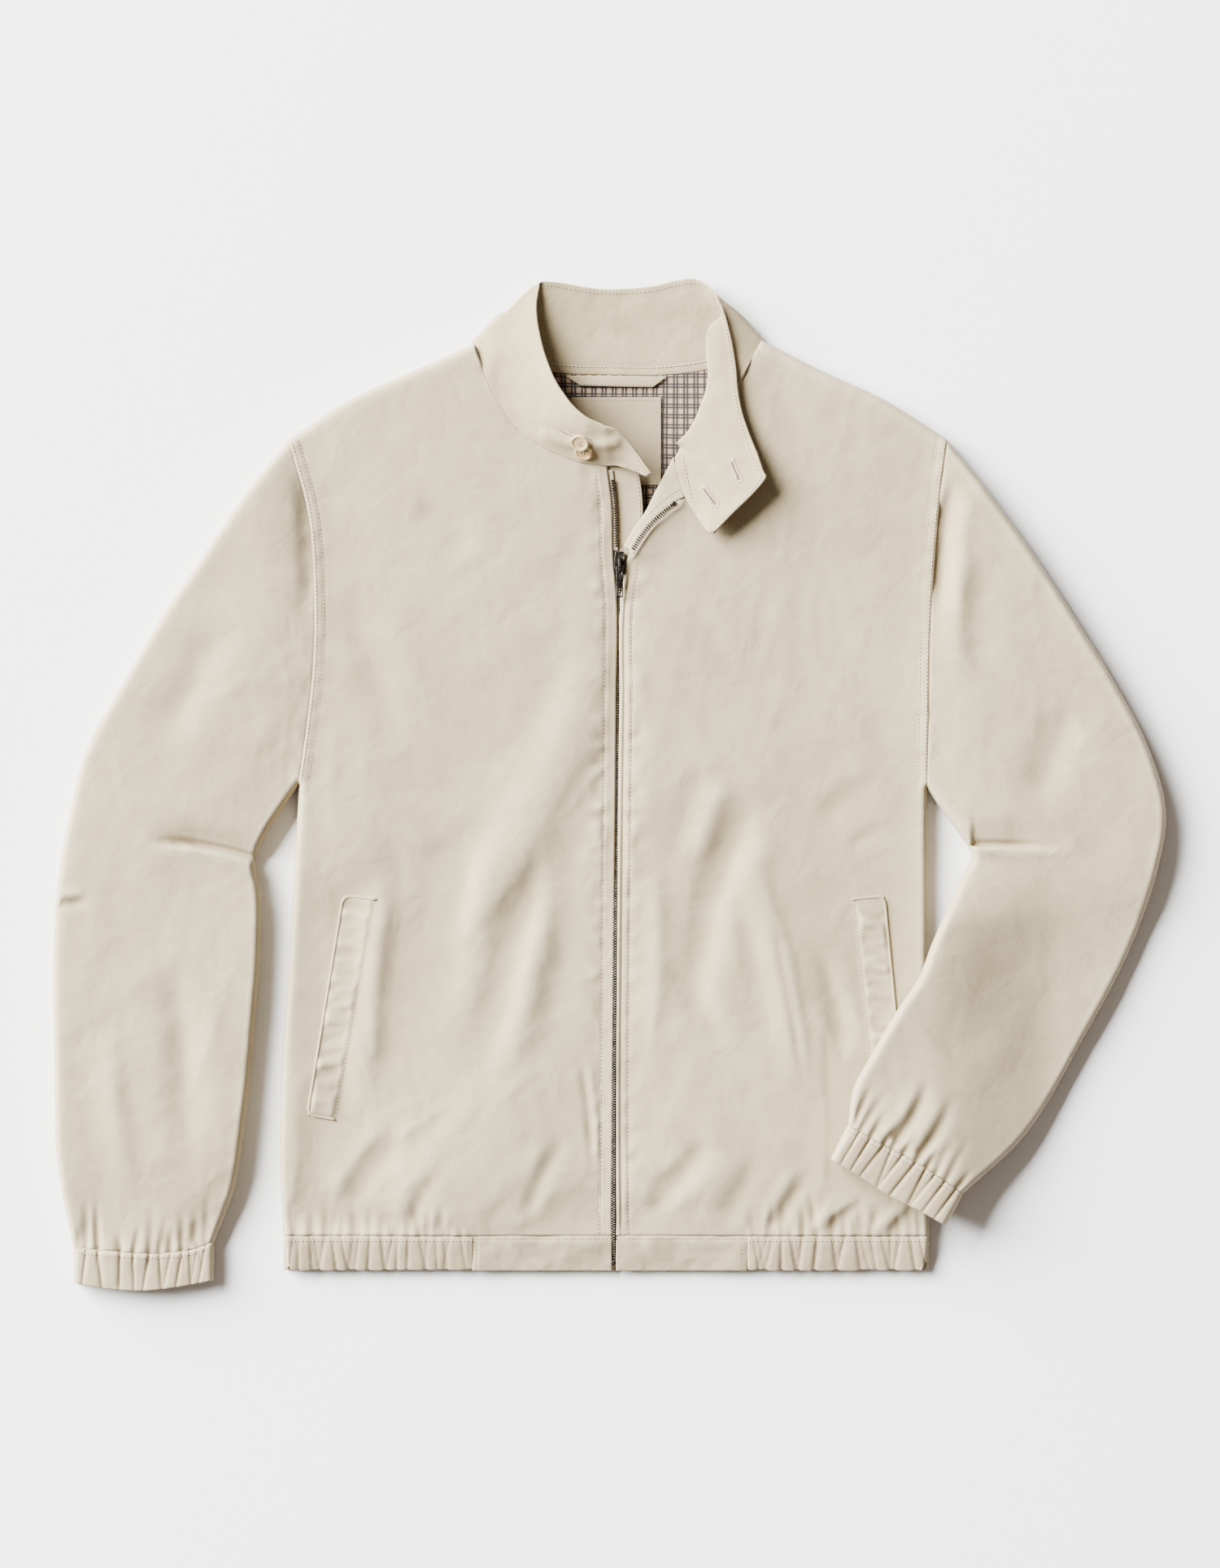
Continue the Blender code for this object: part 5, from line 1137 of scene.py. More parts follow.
@dataclass(frozen=True)
class Horn:
    """Polished horn: cream with amber clouds and a dark streak."""

    name: str
    turn: float = 0.0
    cream: Colour = (0.47, 0.36, 0.19)
    amber: Colour = (0.38, 0.19, 0.05)
    dark: Colour = (0.17, 0.065, 0.02)

    def material(self, groups: Groups) -> Material:
        """Builds the horn's material."""
        material, w, shader, place = new_material(self.name)
        moved = w.fill(w.add("ShaderNodeMapping"), Vector=place, Location=(self.turn, 0.0, 0.0)).outputs[0]
        clouds, streak = w.noise(moved, 170.0, 3.0), w.noise(moved, 110.0, 1.0)
        colour = w.mix(w.ramp(clouds, 0.45, 0.75), self.cream, self.amber)
        colour = w.mix(w.ramp(streak, 0.6, 0.72, 0.0, 0.9), colour, self.dark)
        w.fill(
            shader, Base_Color=colour, Roughness=w.ramp(clouds, 0.3, 0.7, 0.22, 0.34), Subsurface_Weight=0.15,
            Subsurface_Radius=(0.002, 0.0012, 0.0006), Coat_Weight=0.25,
        )
        return material


@dataclass(frozen=True)
class Thread:
    """Sewing thread, twisted."""

    name: str
    colour: Colour
    shade: Colour
    roughness: float = 0.7

    def material(self, groups: Groups) -> Material:
        """Builds the thread's material."""
        material, w, shader, place = new_material(self.name)
        mottle = w.group(groups.mottle, Vector=place, Large=30.0, Small=1400.0)
        colour = w.mix(mottle.outputs[0], self.colour, self.shade)
        w.fill(shader, Base_Color=colour, Roughness=self.roughness)
        return material


@dataclass(frozen=True)
class Paper:
    """The plain pale floor."""

    name: str = "pale_floor"
    colour: Colour = (0.83, 0.83, 0.83)
    grain: Colour = (0.7, 0.7, 0.7)

    def material(self, groups: Groups) -> Material:
        """Builds the floor's material."""
        material, w, shader, place = new_material(self.name)
        colour = w.mix(w.times(w.noise(place, 6.0, 2.0), 0.03), self.colour, self.grain)
        w.fill(shader, Base_Color=colour, Roughness=0.95, Specular_IOR_Level=0.1)
        return material


@dataclass
class Finishes:
    """Every finish of the jacket, built once."""

    groups: Groups = field(default_factory=Groups)
    made: dict[str, Material] = field(default_factory=dict)

    def get(self, finish: "Cotton | CheckLining | Metal | Horn | Thread | Paper") -> Material:
        """The material of a finish, built at its first use."""
        if finish.name not in self.made:
            self.made[finish.name] = finish.material(self.groups)
        return self.made[finish.name]


SHELL_COTTON = Cotton("shell_cotton", (0.335, 0.273, 0.168), (0.27, 0.212, 0.12), (0.4, 0.34, 0.228))
COLLAR_COTTON = Cotton("collar_cotton", (0.34, 0.275, 0.16), (0.27, 0.208, 0.112), (0.41, 0.345, 0.222))
RIB_COTTON = Cotton("rib_cotton", (0.33, 0.268, 0.163), (0.26, 0.2, 0.112), (0.41, 0.348, 0.235))
TAPE_COTTON = Cotton("tape_cotton", (0.38, 0.315, 0.21), (0.3, 0.24, 0.15), (0.43, 0.37, 0.27), 900.0, 1.0, 0.00012)
LABEL_SATIN = Cotton(
    "label_satin", (0.29, 0.23, 0.135), (0.25, 0.195, 0.11), (0.33, 0.27, 0.165),
    2600.0, 0.2, 0.00003, 0.3, 0.5, 0.0004,
)
LINING = CheckLining()
GUNMETAL = Metal("gunmetal")
TOOTH_METAL = Metal("tooth_metal", (0.03, 0.025, 0.02), (0.22, 0.19, 0.14), 0.3)
CREAM_THREAD = Thread("cream_thread", (0.47, 0.4, 0.29), (0.4, 0.33, 0.23))
# dark discs painted as the shade in needle holes and buttonhole slits, with the thread finish
NEEDLE_HOLE_SHADE = Thread("needle_hole_shade", (0.13, 0.08, 0.05), (0.1, 0.055, 0.035), 0.95)
HORN_UPPER = Horn("horn_upper", 0.031)
HORN_LOWER = Horn("horn_lower", 0.012)


def dress(
    obj: Piece, finishes: Finishes, finish: object, slot: Slot, nodes: Sequence[str] = (),
    body: Body = Body.JACKET,
) -> Piece:
    """Gives a piece its finish and its place in the frame.

    Args:
        obj: The piece.
        finishes: Where materials come from.
        finish: The piece's finish.
        slot: Not used.
        nodes: The solids that it stands for.
        body: The body that it moves with.

    Returns:
        The piece.
    """
    obj.data.materials.append(finishes.get(finish))
    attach(obj, body.value)
    if nodes:
        obj.name = obj.data.name = f"{nodes[0]}_dressed"
        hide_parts(*nodes)
    log.info("%s: %d faces", obj.name, len(obj.data.polygons))
    return obj


def half_surface(obj: Piece) -> float:
    """Area of one face of a thin closed shell, in square metres."""
    areas = np.zeros(len(obj.data.polygons), np.float32)
    obj.data.polygons.foreach_get("area", areas)
    return float(areas.sum()) / 2


def declare(
    obj: Piece, flat: tuple[float, float], held: Held,
    with_pieces: Sequence[Piece] = (),
) -> None:
    """Works out a cloth piece's area, no more than the area of its cut, and keeps nothing.

    Args:
        obj: The cloth.
        flat: Width and length of its cut, in metres.
        held: Not used.
        with_pieces: Not used.
    """
    area = min(half_surface(obj), flat[0] * flat[1])


# Sewing


def bead(segments: int, rings: int, size: tuple[float, float, float], turn: float = 0.0) -> tuple[Array, Array]:
    """Models a small squashed ball, turned about y first, as a template."""
    deselect_all()
    bpy.ops.mesh.primitive_uv_sphere_add(segments=segments, ring_count=rings, radius=0.5)
    ball = bpy.context.object
    bpy.ops.object.mode_set(mode="EDIT")
    bpy.ops.mesh.select_all(action="SELECT")
    bpy.ops.transform.rotate(value=turn, orient_axis="Y", center_override=(0, 0, 0))
    bpy.ops.transform.resize(value=size)
    bpy.ops.object.mode_set(mode="OBJECT")
    return read_template(ball)


@dataclass
class Sewing:
    """Rows of lockstitch along seams."""

    finishes: Finishes
    thread: float = 0.6
    length: float = 2.1
    pitch: float = 2.9
    # size of a dark disc painted as the shade in a needle hole
    needle: tuple[float, float, float] = (1.2, 1.05, 0.36)
    seed: int = 3

    def __post_init__(self) -> None:
        """Models one stitch, and one dark disc painted as the shade in a needle hole."""
        self.stitch = bead(6, 4, (self.length, self.thread, self.thread * 0.8), math.pi / 2)
        self.hole = bead(5, 2, self.needle)

    def finish(self, name: str, points: Array, triangles: Array, marks: Array, slot: Slot) -> Piece:
        """Makes one piece of stitches (mark 0) and dark discs painted as the shade in needle holes (mark 1)."""
        obj = add_mesh(name, points * MM, triangles)
        obj.data.materials.append(self.finishes.get(CREAM_THREAD))
        obj.data.materials.append(self.finishes.get(NEEDLE_HOLE_SHADE))
        obj.data.polygons.foreach_set("material_index", marks.astype(np.int32))
        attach(obj, Body.JACKET.value)
        return obj

    def row(
        self, name: str, path: Array, normals: Array, body_slot: Slot = Slot.SHELL, pitch: float | None = None,
        scale: float = 1.0,
    ) -> Piece:
        """Sews one row.

        Args:
            name: The row's name.
            path: Points along the cloth's surface, in millimetres.
            normals: The cloth's normals there.
            body_slot: Passed to finish, which does not use it.
            pitch: Distance between stitches, where it isn't the usual one.
            scale: Size of the stitches against the usual one.

        Returns:
            The row, as one object.
        """
        pitch = pitch or self.pitch
        rng = np.random.default_rng(self.seed + len(path))
        places, ups = at_pitch(path, normals, pitch, pitch / 2)
        frames = frames_along(places, ups)
        yaw = rng.normal(0, 0.06, len(places))[:, None]
        along = unit(frames[:, 0] * np.cos(yaw) + frames[:, 1] * np.sin(yaw))
        frames = np.stack([along, np.cross(frames[:, 2], along), frames[:, 2]], axis=1)
        points, triangles = place_copies(self.stitch[0] * scale, self.stitch[1], places + 0.12 * ups, frames)
        # dark discs between the stitches: painted shade of the needle holes
        between, over = at_pitch(path, normals, pitch, 0.05)
        turns = frames_along(between, over)
        more, faces = place_copies(self.hole[0] * scale, self.hole[1], between + 0.02 * over, turns)
        marks = np.repeat([0, 1], [len(triangles), len(faces)])
        triangles = np.concatenate([triangles, faces + len(points)])
        return self.finish(name, np.concatenate([points, more]), triangles, marks, body_slot)

    def buttonhole(self, name: str, start: Array, end: Array, height: Surface, slot: Slot) -> Piece:
        """Works a keyhole buttonhole: close stitches across its outline, a bar, and a slit of dark discs painted as
        the shade in its cut.

        Args:
            name: Its name.
            start: Its barred end, in plan.
            end: Its keyhole end, in plan.
            height: The cloth that it is worked on.
            slot: Passed to finish, which does not use it.

        Returns:
            The buttonhole, as one object.
        """
        along = unit(end - start)
        aside = np.array([-along[1], along[0]])
        long, turns = float(np.linalg.norm(end - start)), np.linspace(-math.pi / 2, math.pi / 2, 9)
        head = [(long - 2.4 + 2.4 * math.cos(a), 2.3 * math.sin(a)) for a in turns]
        rim = np.array([(0.0, -1.5), (long - 5.5, -1.5), *head, (long - 5.5, 1.5), (0.0, 1.5), (0.0, -1.5)])
        points, triangles, marks, count = [], [], [], 0
        for path, template, pitch, turned, mark in (
            (rim, self.stitch, 0.62, True, 0),
            (np.array([(-0.4, -2.2), (-0.4, 2.2)]), self.stitch, 0.6, True, 0),
            # the slit: dark discs painted as the shade in its cut
            (np.array([(1.2, 0.0), (long - 1.6, 0.0)]), self.hole, 0.7, False, 1),
        ):
            plan = start + path[:, :1] * along + path[:, 1:] * aside
            stops = lengths_of(plan)
            fine = np.arange(0, stops[-1], 0.3)
            line, ups = on_surface(np.column_stack([np.interp(fine, stops, plan[:, k]) for k in (0, 1)]), height)
            places, normals = at_pitch(line, ups, pitch)
            frames = frames_along(places, normals)
            if turned:
                frames = np.stack([frames[:, 1], -frames[:, 0], frames[:, 2]], axis=1)
            model = template[0] * (1.15 if turned else 1.35)
            more, faces = place_copies(model, template[1], places + 0.12 * normals, frames)
            points.append(more)
            triangles.append(faces + count)
            marks.append(np.full(len(faces), mark))
            count += len(more)
        return self.finish(name, np.concatenate(points), np.concatenate(triangles), np.concatenate(marks), slot)


def on_surface(plan: Array, height: Surface) -> tuple[Array, Array]:
    """Lays a plan line on a surface.

    Args:
        plan: Rows of x and y.
        height: The surface.

    Returns:
        The line's points, and the surface's normals there.
    """
    x, y = plan[:, 0], plan[:, 1]
    step = 0.6
    slope_x = (height(x + step, y) - height(x - step, y)) / (2 * step)
    slope_y = (height(x, y + step) - height(x, y - step)) / (2 * step)
    normals = unit(np.stack([-slope_x, -slope_y, np.ones(len(x))], axis=1))
    return np.column_stack([plan, height(x, y)]), normals


def raised(level: Surface, lift: float) -> Surface:
    """A surface lifted by a distance."""
    return lambda x, y: level(x, y) + lift


def beside(line: Array, offset: float) -> Array:
    """A plan line moved to its left by an offset, or to its right where negative."""
    along = unit(np.gradient(line, axis=0))
    return line + offset * np.stack([-along[:, 1], along[:, 0]], axis=1)


# Creases

BODY_CREASES = [Crease(*row) for row in (
    (-22.8, 75.6, -129.6, -142.8, 10, 17, 2.9, 0.3, 0.4),
    (-117, -24, -153, -198, 8, 15, -3.4, 0.2, 0.3),
    (-165, -60, -180, -264, -6, 13, 2.6, 0.3, -0.3),
    (-39, -24, -87, -222, 6, 12, 2.1, -0.3, 0.3, 0.5, 0.4),
    (-69, -60, -111, -246, 6, 12, -1.8, 0.1, 0.2, 0.5, 0.4),
    (-24.6, -207.6, -16.8, -288, 2, 2.4, -1.6, 0, 0.4),
    (-30, 120, -62, -20, -5, 15, -1.4, 0.2, 0.3),
    (-190, 150, -150, 20, -8, 14, -1.6, 0, 0.3),
    (-150, 205, -100, 165, 6, 11, -1.5, 0.2, 0.3),
    (107.4, -4.8, 57.6, -199.8, -14, 11, -2.8, 0.2, 0.35),
    (99.6, -51, 138, -238, 6, 9, 2.4, 0.4, -0.45),
    (115, -96, 140, -231, 2, 3, -1.5, 0.2, 0.3),
    (84, 6, 61, -66, -4, 9, 1.7, -0.2, -0.3),
    (30, -60, 26, -220, 3, 8, 1.3),
    (70, -262, 20, -300, 8, 8, -1.5, 0, 0.3),
    (150, -30, 200, -2, 4, 8, -1.5, 0.2, 0.4),
    (172, -52, 206, -34, 3, 5, -0.8, 0.2, 0.3),
    (60, 120, 130, 60, -8, 13, -1.3, 0, 0.25),
    (-150, -328, -110, -268, 5, 6.5, -1, 0.2, 0.5, 0.1, 0.6),
    (-196, -318, -150, -256, 6, 7, -1.8, 0, 0.5),
    (-98, -330, -58, -280, -5, 7, -0.9, 0.2, 0.5, 0.1, 0.6),
    (-66, -326, -34, -262, 4, 6, -1, 0, 0.5),
    (-214, -150, -190, -262, -4, 7, -1, 0, 0.4),
    (26, -322, 66, -286, 4, 7, -1.2, 0, 0.5),
    (74, -326, 106, -272, -5, 8, -0.9, 0.2, 0.5),
    (120, -330, 152, -284, 4, 5, -1.3, 0, 0.5, 0.1, 0.6),
    (148, -334, 187, -297, 5, 5, 2.4, 0.2, -0.5, 0.1, 0.5),
    (190, -334, 214, -298, -5, 4.5, 2.4, 0.3, -0.5, 0.1, 0.5),
    (36, -130, 84, -214, 6, 8, -1, 0.2, 0.4),
    (150, -120, 168, -220, 5, 7, -1.1, 0.2, 0.4),
)]
SLEEVE_CREASES = [Crease(*row) for row in (
    (-232, 236, -226, 110, 5, 7, -3, 0.3, 0.4),
    (-290, 120, -345, 20, 6, 14, -2, 0.2, 0.3),
    (-330, -130, -318, -300, 8, 12, -2.2, 0, 0.3),
    (-370, -180, -352, -320, -6, 10, 1.5, 0, -0.3),
    (-410, -91, -386, -89, 0, 3.2, -2, 0, 0.5, 0.1, 0.5),
    (250, 224, 241, 110, -4, 7, -3.6, 0.2, 0.3),
    (262, 180, 256, 60, -6, 10, 1.8, 0, 0.3),
    (330, 60, 300, -30, 6, 14, -2, 0.2, 0.3),
    (330, -120, 268, -240, -6, 14, 0.7, 0, -0.2),
    (205, -266, 232, -214, -4, 4, -1.9, 0.2, 0.45, 0.05, 0.6),
    (222, -276, 250, -226, -4, 4, -1.5, 0.2, 0.45, 0.05, 0.6),
    (-262, -57, -342, -43.5, -3, 2.3, -2.3, 0, 0, 0.04, 0.4),
    (262, -46.4, 330, -49.2, 1, 2.3, -1.7, 0, 0, 0.04, 0.6),
)]
SLEEVE_TUCKS = [
    Tuck(-262, -60, -346, -46, -3, 1.8, 5, 6, 13, 1.1, 0.04, 0.45),
    Tuck(338, -52, 262, -49, -1, 1.6, 3.6, 6, 15, 1.1, 0.6, 0.04),
]
CUFF_LINES = {
    RIGHT: (0, 0.06, 0.12, 0.18, 0.23, 0.31, 0.39, 0.46, 0.57, 0.66, 0.82, 0.9, 0.965, 1),
    LEFT: (0, 0.04, 0.1, 0.19, 0.3, 0.37, 0.46, 0.57, 0.66, 0.74, 0.83, 0.93, 1),
}
HEM_LINES = {
    RIGHT: (
        -104.4, -106.8, -112.8, -121.2, -126, -131.4, -137.4, -143.4, -151.8, -159.6, -163.2, -171.6, -180,
        -187.8, -192.6, -201.6, -208.2, -213, -220.8, -224.4, -232.8, -236.4, -244.2,
    ),
    LEFT: (
        98.4, 102.6, 106.8, 112.8, 117.6, 123.6, 130.2, 139.2, 150, 161.4, 170.4, 178.2, 182.4, 189.6, 197,
        204, 211, 218.4, 225, 232.8,
    ),
}


def gathers(lines: Sequence[float], at: Array, height: float, full: float, seed: int) -> Array:
    """Height of cloth puffed up between gather lines.

    Args:
        lines: Places of the lines, rising or falling.
        at: Places to read.
        height: Height of a lobe that is full wide.
        full: Width at which a lobe reaches its height.
        seed: Picks how much each lobe differs.

    Returns:
        Heights over the lines.
    """
    marks = np.sort(np.array(lines, float))
    k = np.clip(np.searchsorted(marks, at, side="right") - 1, 0, len(marks) - 2)
    width = marks[k + 1] - marks[k]
    t = np.clip((at - marks[k]) / width, 0, 1)
    uneven = np.random.default_rng(seed).uniform(0.75, 1.15, len(marks))[k]
    return height * uneven * np.minimum(width / full, 1.25) * (1 - np.abs(2 * t - 1) ** 4.2)


def slanted_gathers(
    lines: Sequence[float], at: Array, down: Array, slant: float, height: float, full: float, seed: int,
) -> Array:
    """Gathers whose lines lean to either side as they go down.

    Args:
        lines: Places of the lines at the top.
        at: Places to read, along the band.
        down: Shares of the band's height to read at.
        slant: How far a line may lean over the whole height.
        height: Height of a lobe that is full wide.
        full: Width at which a lobe reaches its height.
        seed: Picks the leans.

    Returns:
        Heights, one row per share of the height.
    """
    marks = np.sort(np.array(lines, float))
    lean = np.random.default_rng(seed + 50).uniform(-slant, slant, len(marks))
    lean[[0, -1]] = 0
    return np.array([gathers(np.sort(marks + lean * share), at, height, full, seed) for share in down])


def fan_creases(lines: Sequence[float], seam: float, long: float, seed: int) -> list[Crease]:
    """Short folds that run up from a gathered seam, one from each gather line."""
    rng = np.random.default_rng(seed)
    found = []
    for x in lines[1:-1]:
        reach = long * rng.uniform(0.35, 1.0)
        found.append(Crease(
            x, seam - 2, x + rng.normal(0, 0.12) * reach, seam + reach, rng.normal(0, 0.8), rng.uniform(1.8, 3.0),
            -rng.uniform(0.7, 1.3), rng.uniform(-0.4, 0.4), 0.0, 0.02, 0.75,
        ))
    return found


# Body


@dataclass
class Maker:
    """What the parts of the jacket are made with."""

    laid: LaidShell
    finishes: Finishes
    sewing: Sewing

    def cloth(
        self, name: str, grid: Array, finish: Cotton = SHELL_COTTON, slot: Slot = Slot.SHELL, depth: float = CLOTH,
        **form: int,
    ) -> Piece:
        """Builds the sheet of cloth that stands for the solid of its name, faded on its ridges and with painted shade
        in its hollows.

        Args:
            name: The solid's name.
            grid: The cloth's outer face, in millimetres.
            finish: The cloth's finish.
            slot: Passed to dress, which does not use it.
            depth: The cloth's thickness.
            form: Whether it goes around or faces up, and its rim, as for a shell.

        Returns:
            The piece.
        """
        obj = shell(name, grid, depth, **form)
        add_fade_and_shade(obj, grid, form.get("around", False))
        return dress(obj, self.finishes, finish, slot, [name])


@dataclass
class BodyPanels(Maker):
    """The two fronts and the back."""

    column_step: float = 2.15
    row_step: float = 2.5
    placket: dict[Side, float] = field(default_factory=lambda: {RIGHT: 8.7, LEFT: 9.1})
    seam_band: float = 7.0
    relief_limit: float = 4.4
    hem_reach: float = 9.0
    under_arm_top: float = 15.7
    neck_place: float = 16.0
    leaf_place: float = 19.0
    armpit_place: float = 12.0
    top_place: float = 24.0
    front_cut: tuple[float, float] = (0.27, 0.66)
    back_cut: tuple[float, float] = (0.5, 0.68)

    def __post_init__(self) -> None:
        """Reads the edges that the relief follows."""
        self.edges, self.necks, self.armholes = (
            {side: dense(table[side]) for side in Side} for table in (FRONT_EDGE, NECK, ARMHOLE)
        )
        self.turned = dense(TEETH[LEFT])
        fans = fan_creases(HEM_LINES[RIGHT], HEM_SEAM, 34, 5) + fan_creases(HEM_LINES[LEFT], HEM_SEAM, 42, 8)
        self.creases = BODY_CREASES + fans

    def relief(self, side: Side) -> Surface:
        """Creases, seams and unevenness of one front."""
        lines = HEM_LINES[side]
        band = self.placket[side]

        def height(x: Array, y: Array) -> Array:
            """Relief over points of this front."""
            low = smoothstep((60 - y) / 150) * (1.7 if side is RIGHT else 0.8)
            total = (1.3 + 0.4 * low) * crease_height(x, y, self.creases)
            total = total + (2.6 + 1.3 * low) * drift(x, y, 100, 150, 12)
            total = total + (0.85 + 0.55 * low) * crumple(x, y, -18 if side is RIGHT else 14, 11)
            if side is LEFT:
                total = total * (1 - 0.9 * bell(np.hypot((x - 4.1) / 9, (y - 147) / 20)))
                total = total - 1.3 * bell(np.hypot((x - 4.1) / 7, (y - 158) / 13))
            edge = np.abs(nearest_on(x, y, self.edges[side])[0])
            below_neck = smoothstep((236 - y) / 4)
            calm = 1 - 0.6 * bell(edge / 6) * below_neck
            total = total * calm + below_neck * (
                self.placket_profile(side, edge)
                + 1.35 * drift(x, y, 30, 6.5, 14) * bell((edge - band - 4.0) / 5.0)
                + 0.7 * drift(x, y, 30, 3.6, 15) * bell((edge - band - 0.5) / 3.0)
            )
            neck = np.abs(nearest_on(x, y, self.necks[side])[0])
            total = total - 1.3 * np.clip(1 - neck / 1.8, 0, 1) ** 2 + 0.5 * drift(x, y, 7, 7, 16) * bell(neck / 5)
            arm = np.abs(nearest_on(x, y, self.armholes[side])[0])
            total = total + (
                0.5 * smoothstep(arm / 1.5) * (1 - smoothstep((arm - self.seam_band + 1) / 2.0))
                - 0.4 * bell((arm - self.seam_band) / 1.1) - 0.35 * np.clip(1 - arm / 1.2, 0, 1) ** 2
                + 0.45 * drift(x, y, 12, 6, 17) * bell((arm - 4) / 6)
            )
            fold = 0.0
            if side is LEFT:
                past = nearest_on(x, y, self.turned)[0]
                fall = np.where(past > 3.6, np.exp(-(past - 3.6) / 12.0), bell(np.minimum(past + 4, 0) / 5.0))
                total = total * (1 - fall)
                fold = (3.1 * fall + 1.5 * bell((past - 3.9) / 1.2)) * smoothstep((y - 158) / 12)
            up = y - HEM_SEAM
            by_hem = bell(np.maximum(up, 0) / self.hem_reach)
            total = total * (1 - 0.8 * by_hem)
            puffed = gathers(lines, x, 1.4, 8.0, 4) * by_hem
            inside = np.abs(x) > min(abs(lines[0]), abs(lines[-1]))
            total = total + np.where(inside, puffed, 0.0) - 1.3 * np.clip(1 - up / 1.8, 0, 1) ** 2
            return self.relief_limit * np.tanh(total / self.relief_limit) + fold

        return height

    def placket_profile(self, side: Side, edge: Array) -> Array:
        """Height of the turned edge and stitched band beside the zip, by distance from the edge."""
        roll = -0.9 * np.clip(1 - edge / 1.0, 0, 1) ** 2
        if side is RIGHT:
            band = 0.25 * smoothstep(edge / 1.0) * (1 - smoothstep((edge - 6.6) / 2.2))
            return roll + band - 0.4 * bell((edge - self.placket[side]) / 1.0)
        ridge = 0.6 * smoothstep(edge / 0.8) * (1 - smoothstep((edge - 2.2) / 1.2)) - 0.4 * bell((edge - 3.6) / 0.9)
        band = 0.3 * smoothstep((edge - 4.2) / 0.8) * (1 - smoothstep((edge - 7.6) / 1.2))
        return roll + ridge + band - 0.45 * bell((edge - self.placket[side]) / 1.0)

    def front_edge(self, side: Side, places: Array) -> Array:
        """Inner border of a front, from the hem up to the neck and along it, at places from 0 to the top."""
        start, top = self.neck_place, self.top_place
        if side is LEFT:
            roll = smooth_curve(ROLL_LINE, np.clip((places - start) / (self.leaf_place - start), 0, 1))
            start = self.leaf_place
        border = smooth_curve(NECK[side], np.clip((places - start) / (top - start), 0, 1))
        if side is LEFT:
            border = np.where(places[:, None] <= start, roll, border)
        low = smooth_curve(FRONT_EDGE[side], np.clip(places / self.neck_place, 0, 1))
        return np.where(places[:, None] <= self.neck_place, low, border)

    def side_edge(self, side: Side, places: Array) -> Array:
        """Outer border of a front: its side to the armpit, then its armhole."""
        seam, hole = SIDE_SEAM[side], ARMHOLE[side]
        pit = self.armpit_place
        low = smooth_curve(seam, np.clip(places / pit, 0, 1))
        high = smooth_curve(hole, np.clip((places - pit) / (self.top_place - pit), 0, 1))
        return np.where(places[:, None] <= pit, low, high)

    def plan(self, side: Side) -> Array:
        """Plan grid of a front."""
        coarse = np.linspace(0, self.top_place, 49)
        middle = (self.front_edge(side, coarse) + self.side_edge(side, coarse)) / 2
        stops = lengths_of(middle)
        places = np.interp(spaced(stops[-1], self.row_step, SEAM, FINE) * stops[-1], stops, coarse)
        inner, outer = self.front_edge(side, places), self.side_edge(side, places)
        columns = spaced(236, self.column_step, PLACKET_STEPS, FINE)
        low = np.outer(1 - columns, inner[0]) + np.outer(columns, outer[0])
        rows = shares_along(outer)
        return coons(low, smooth_curve(SHOULDER[side], columns), inner, outer, columns, rows)

    def surface(self, side: Side) -> Surface:
        """Height of one front's outer face."""
        relief = self.relief(side)

        def height(x: Array, y: Array) -> Array:
            """Upper face, kept down where the bent forearm lies on it."""
            under_arm = smoothstep((x - 135) / 25) * smoothstep((-80 - y) / 30)
            top = np.maximum(self.laid.body_top(x, y, relief), EDGE_HEIGHT + 0.1)
            return np.minimum(top, self.under_arm_top + 5 * (1 - under_arm))

        return height

    def build_front(self, side: Side) -> Piece:
        """Builds a front and sews it."""
        grid = with_height(self.plan(side), self.surface(side))
        name = f"front_{side.value}"
        obj = self.cloth(name, grid)
        rows = self.sew_front(side)
        declare(obj, self.front_cut, Held.LAID, rows)
        return obj

    def sew_front(self, side: Side) -> list[Piece]:
        """Sews a front's placket and armhole."""
        surface = self.surface(side)
        sign = 1 if side is RIGHT else -1
        shares = np.linspace(0.004, 0.997, 260)
        edge = smooth_curve(FRONT_EDGE[side], shares)
        lines = [(f"placket_stitch_{side.value}", beside(edge, sign * self.placket[side]))]
        hole = smooth_curve(ARMHOLE[side], np.linspace(0.03, 0.985, 120))
        lines.append((f"armhole_stitch_{side.value}", beside(hole, -sign * 1.7)))
        lines.append((f"armhole_topstitch_{side.value}", beside(hole, -sign * self.seam_band)))
        return [self.sewing.row(name, *on_surface(line, surface)) for name, line in lines]

    def build_back(self) -> Piece:
        """Builds the back, flat where it lies."""
        pit = self.armpit_place
        shoulder = spaced(150, 5.5, FINE, ())
        high = np.concatenate([
            smooth_curve(SHOULDER[RIGHT][::-1], shoulder),
            smooth_curve(NECK_BACK, np.linspace(0, 1, 40))[1:],
            smooth_curve(SHOULDER[LEFT], 1 - shoulder[::-1])[1:],
        ])
        columns = shares_along(high)
        places = np.concatenate([
            pit * spaced(330, 5.2, SEAM, ()), pit + (self.top_place - pit) * spaced(260, 4.4, (), FINE)[1:],
        ])
        start, end = self.side_edge(RIGHT, places), self.side_edge(LEFT, places)
        low = np.outer(1 - columns, SIDE_SEAM[RIGHT][0]) + np.outer(columns, SIDE_SEAM[LEFT][0])
        rows = shares_along(start)
        plan = coons(low, high, start, end, columns, rows)

        def height(x: Array, y: Array) -> Array:
            """Underside of the back, which lifts off the floor in a few shallow folds."""
            under = np.minimum(self.laid.body_under(x, y), EDGE_HEIGHT - 0.1)
            folds = np.maximum(1.1 * crumple(x, y, 10, 21) - 0.1, 0)
            inside = smoothstep((90 - y) / 40) * smoothstep((y - HEM_SEAM) / 20) * smoothstep((200 - np.abs(x)) / 30)
            return under + folds * inside

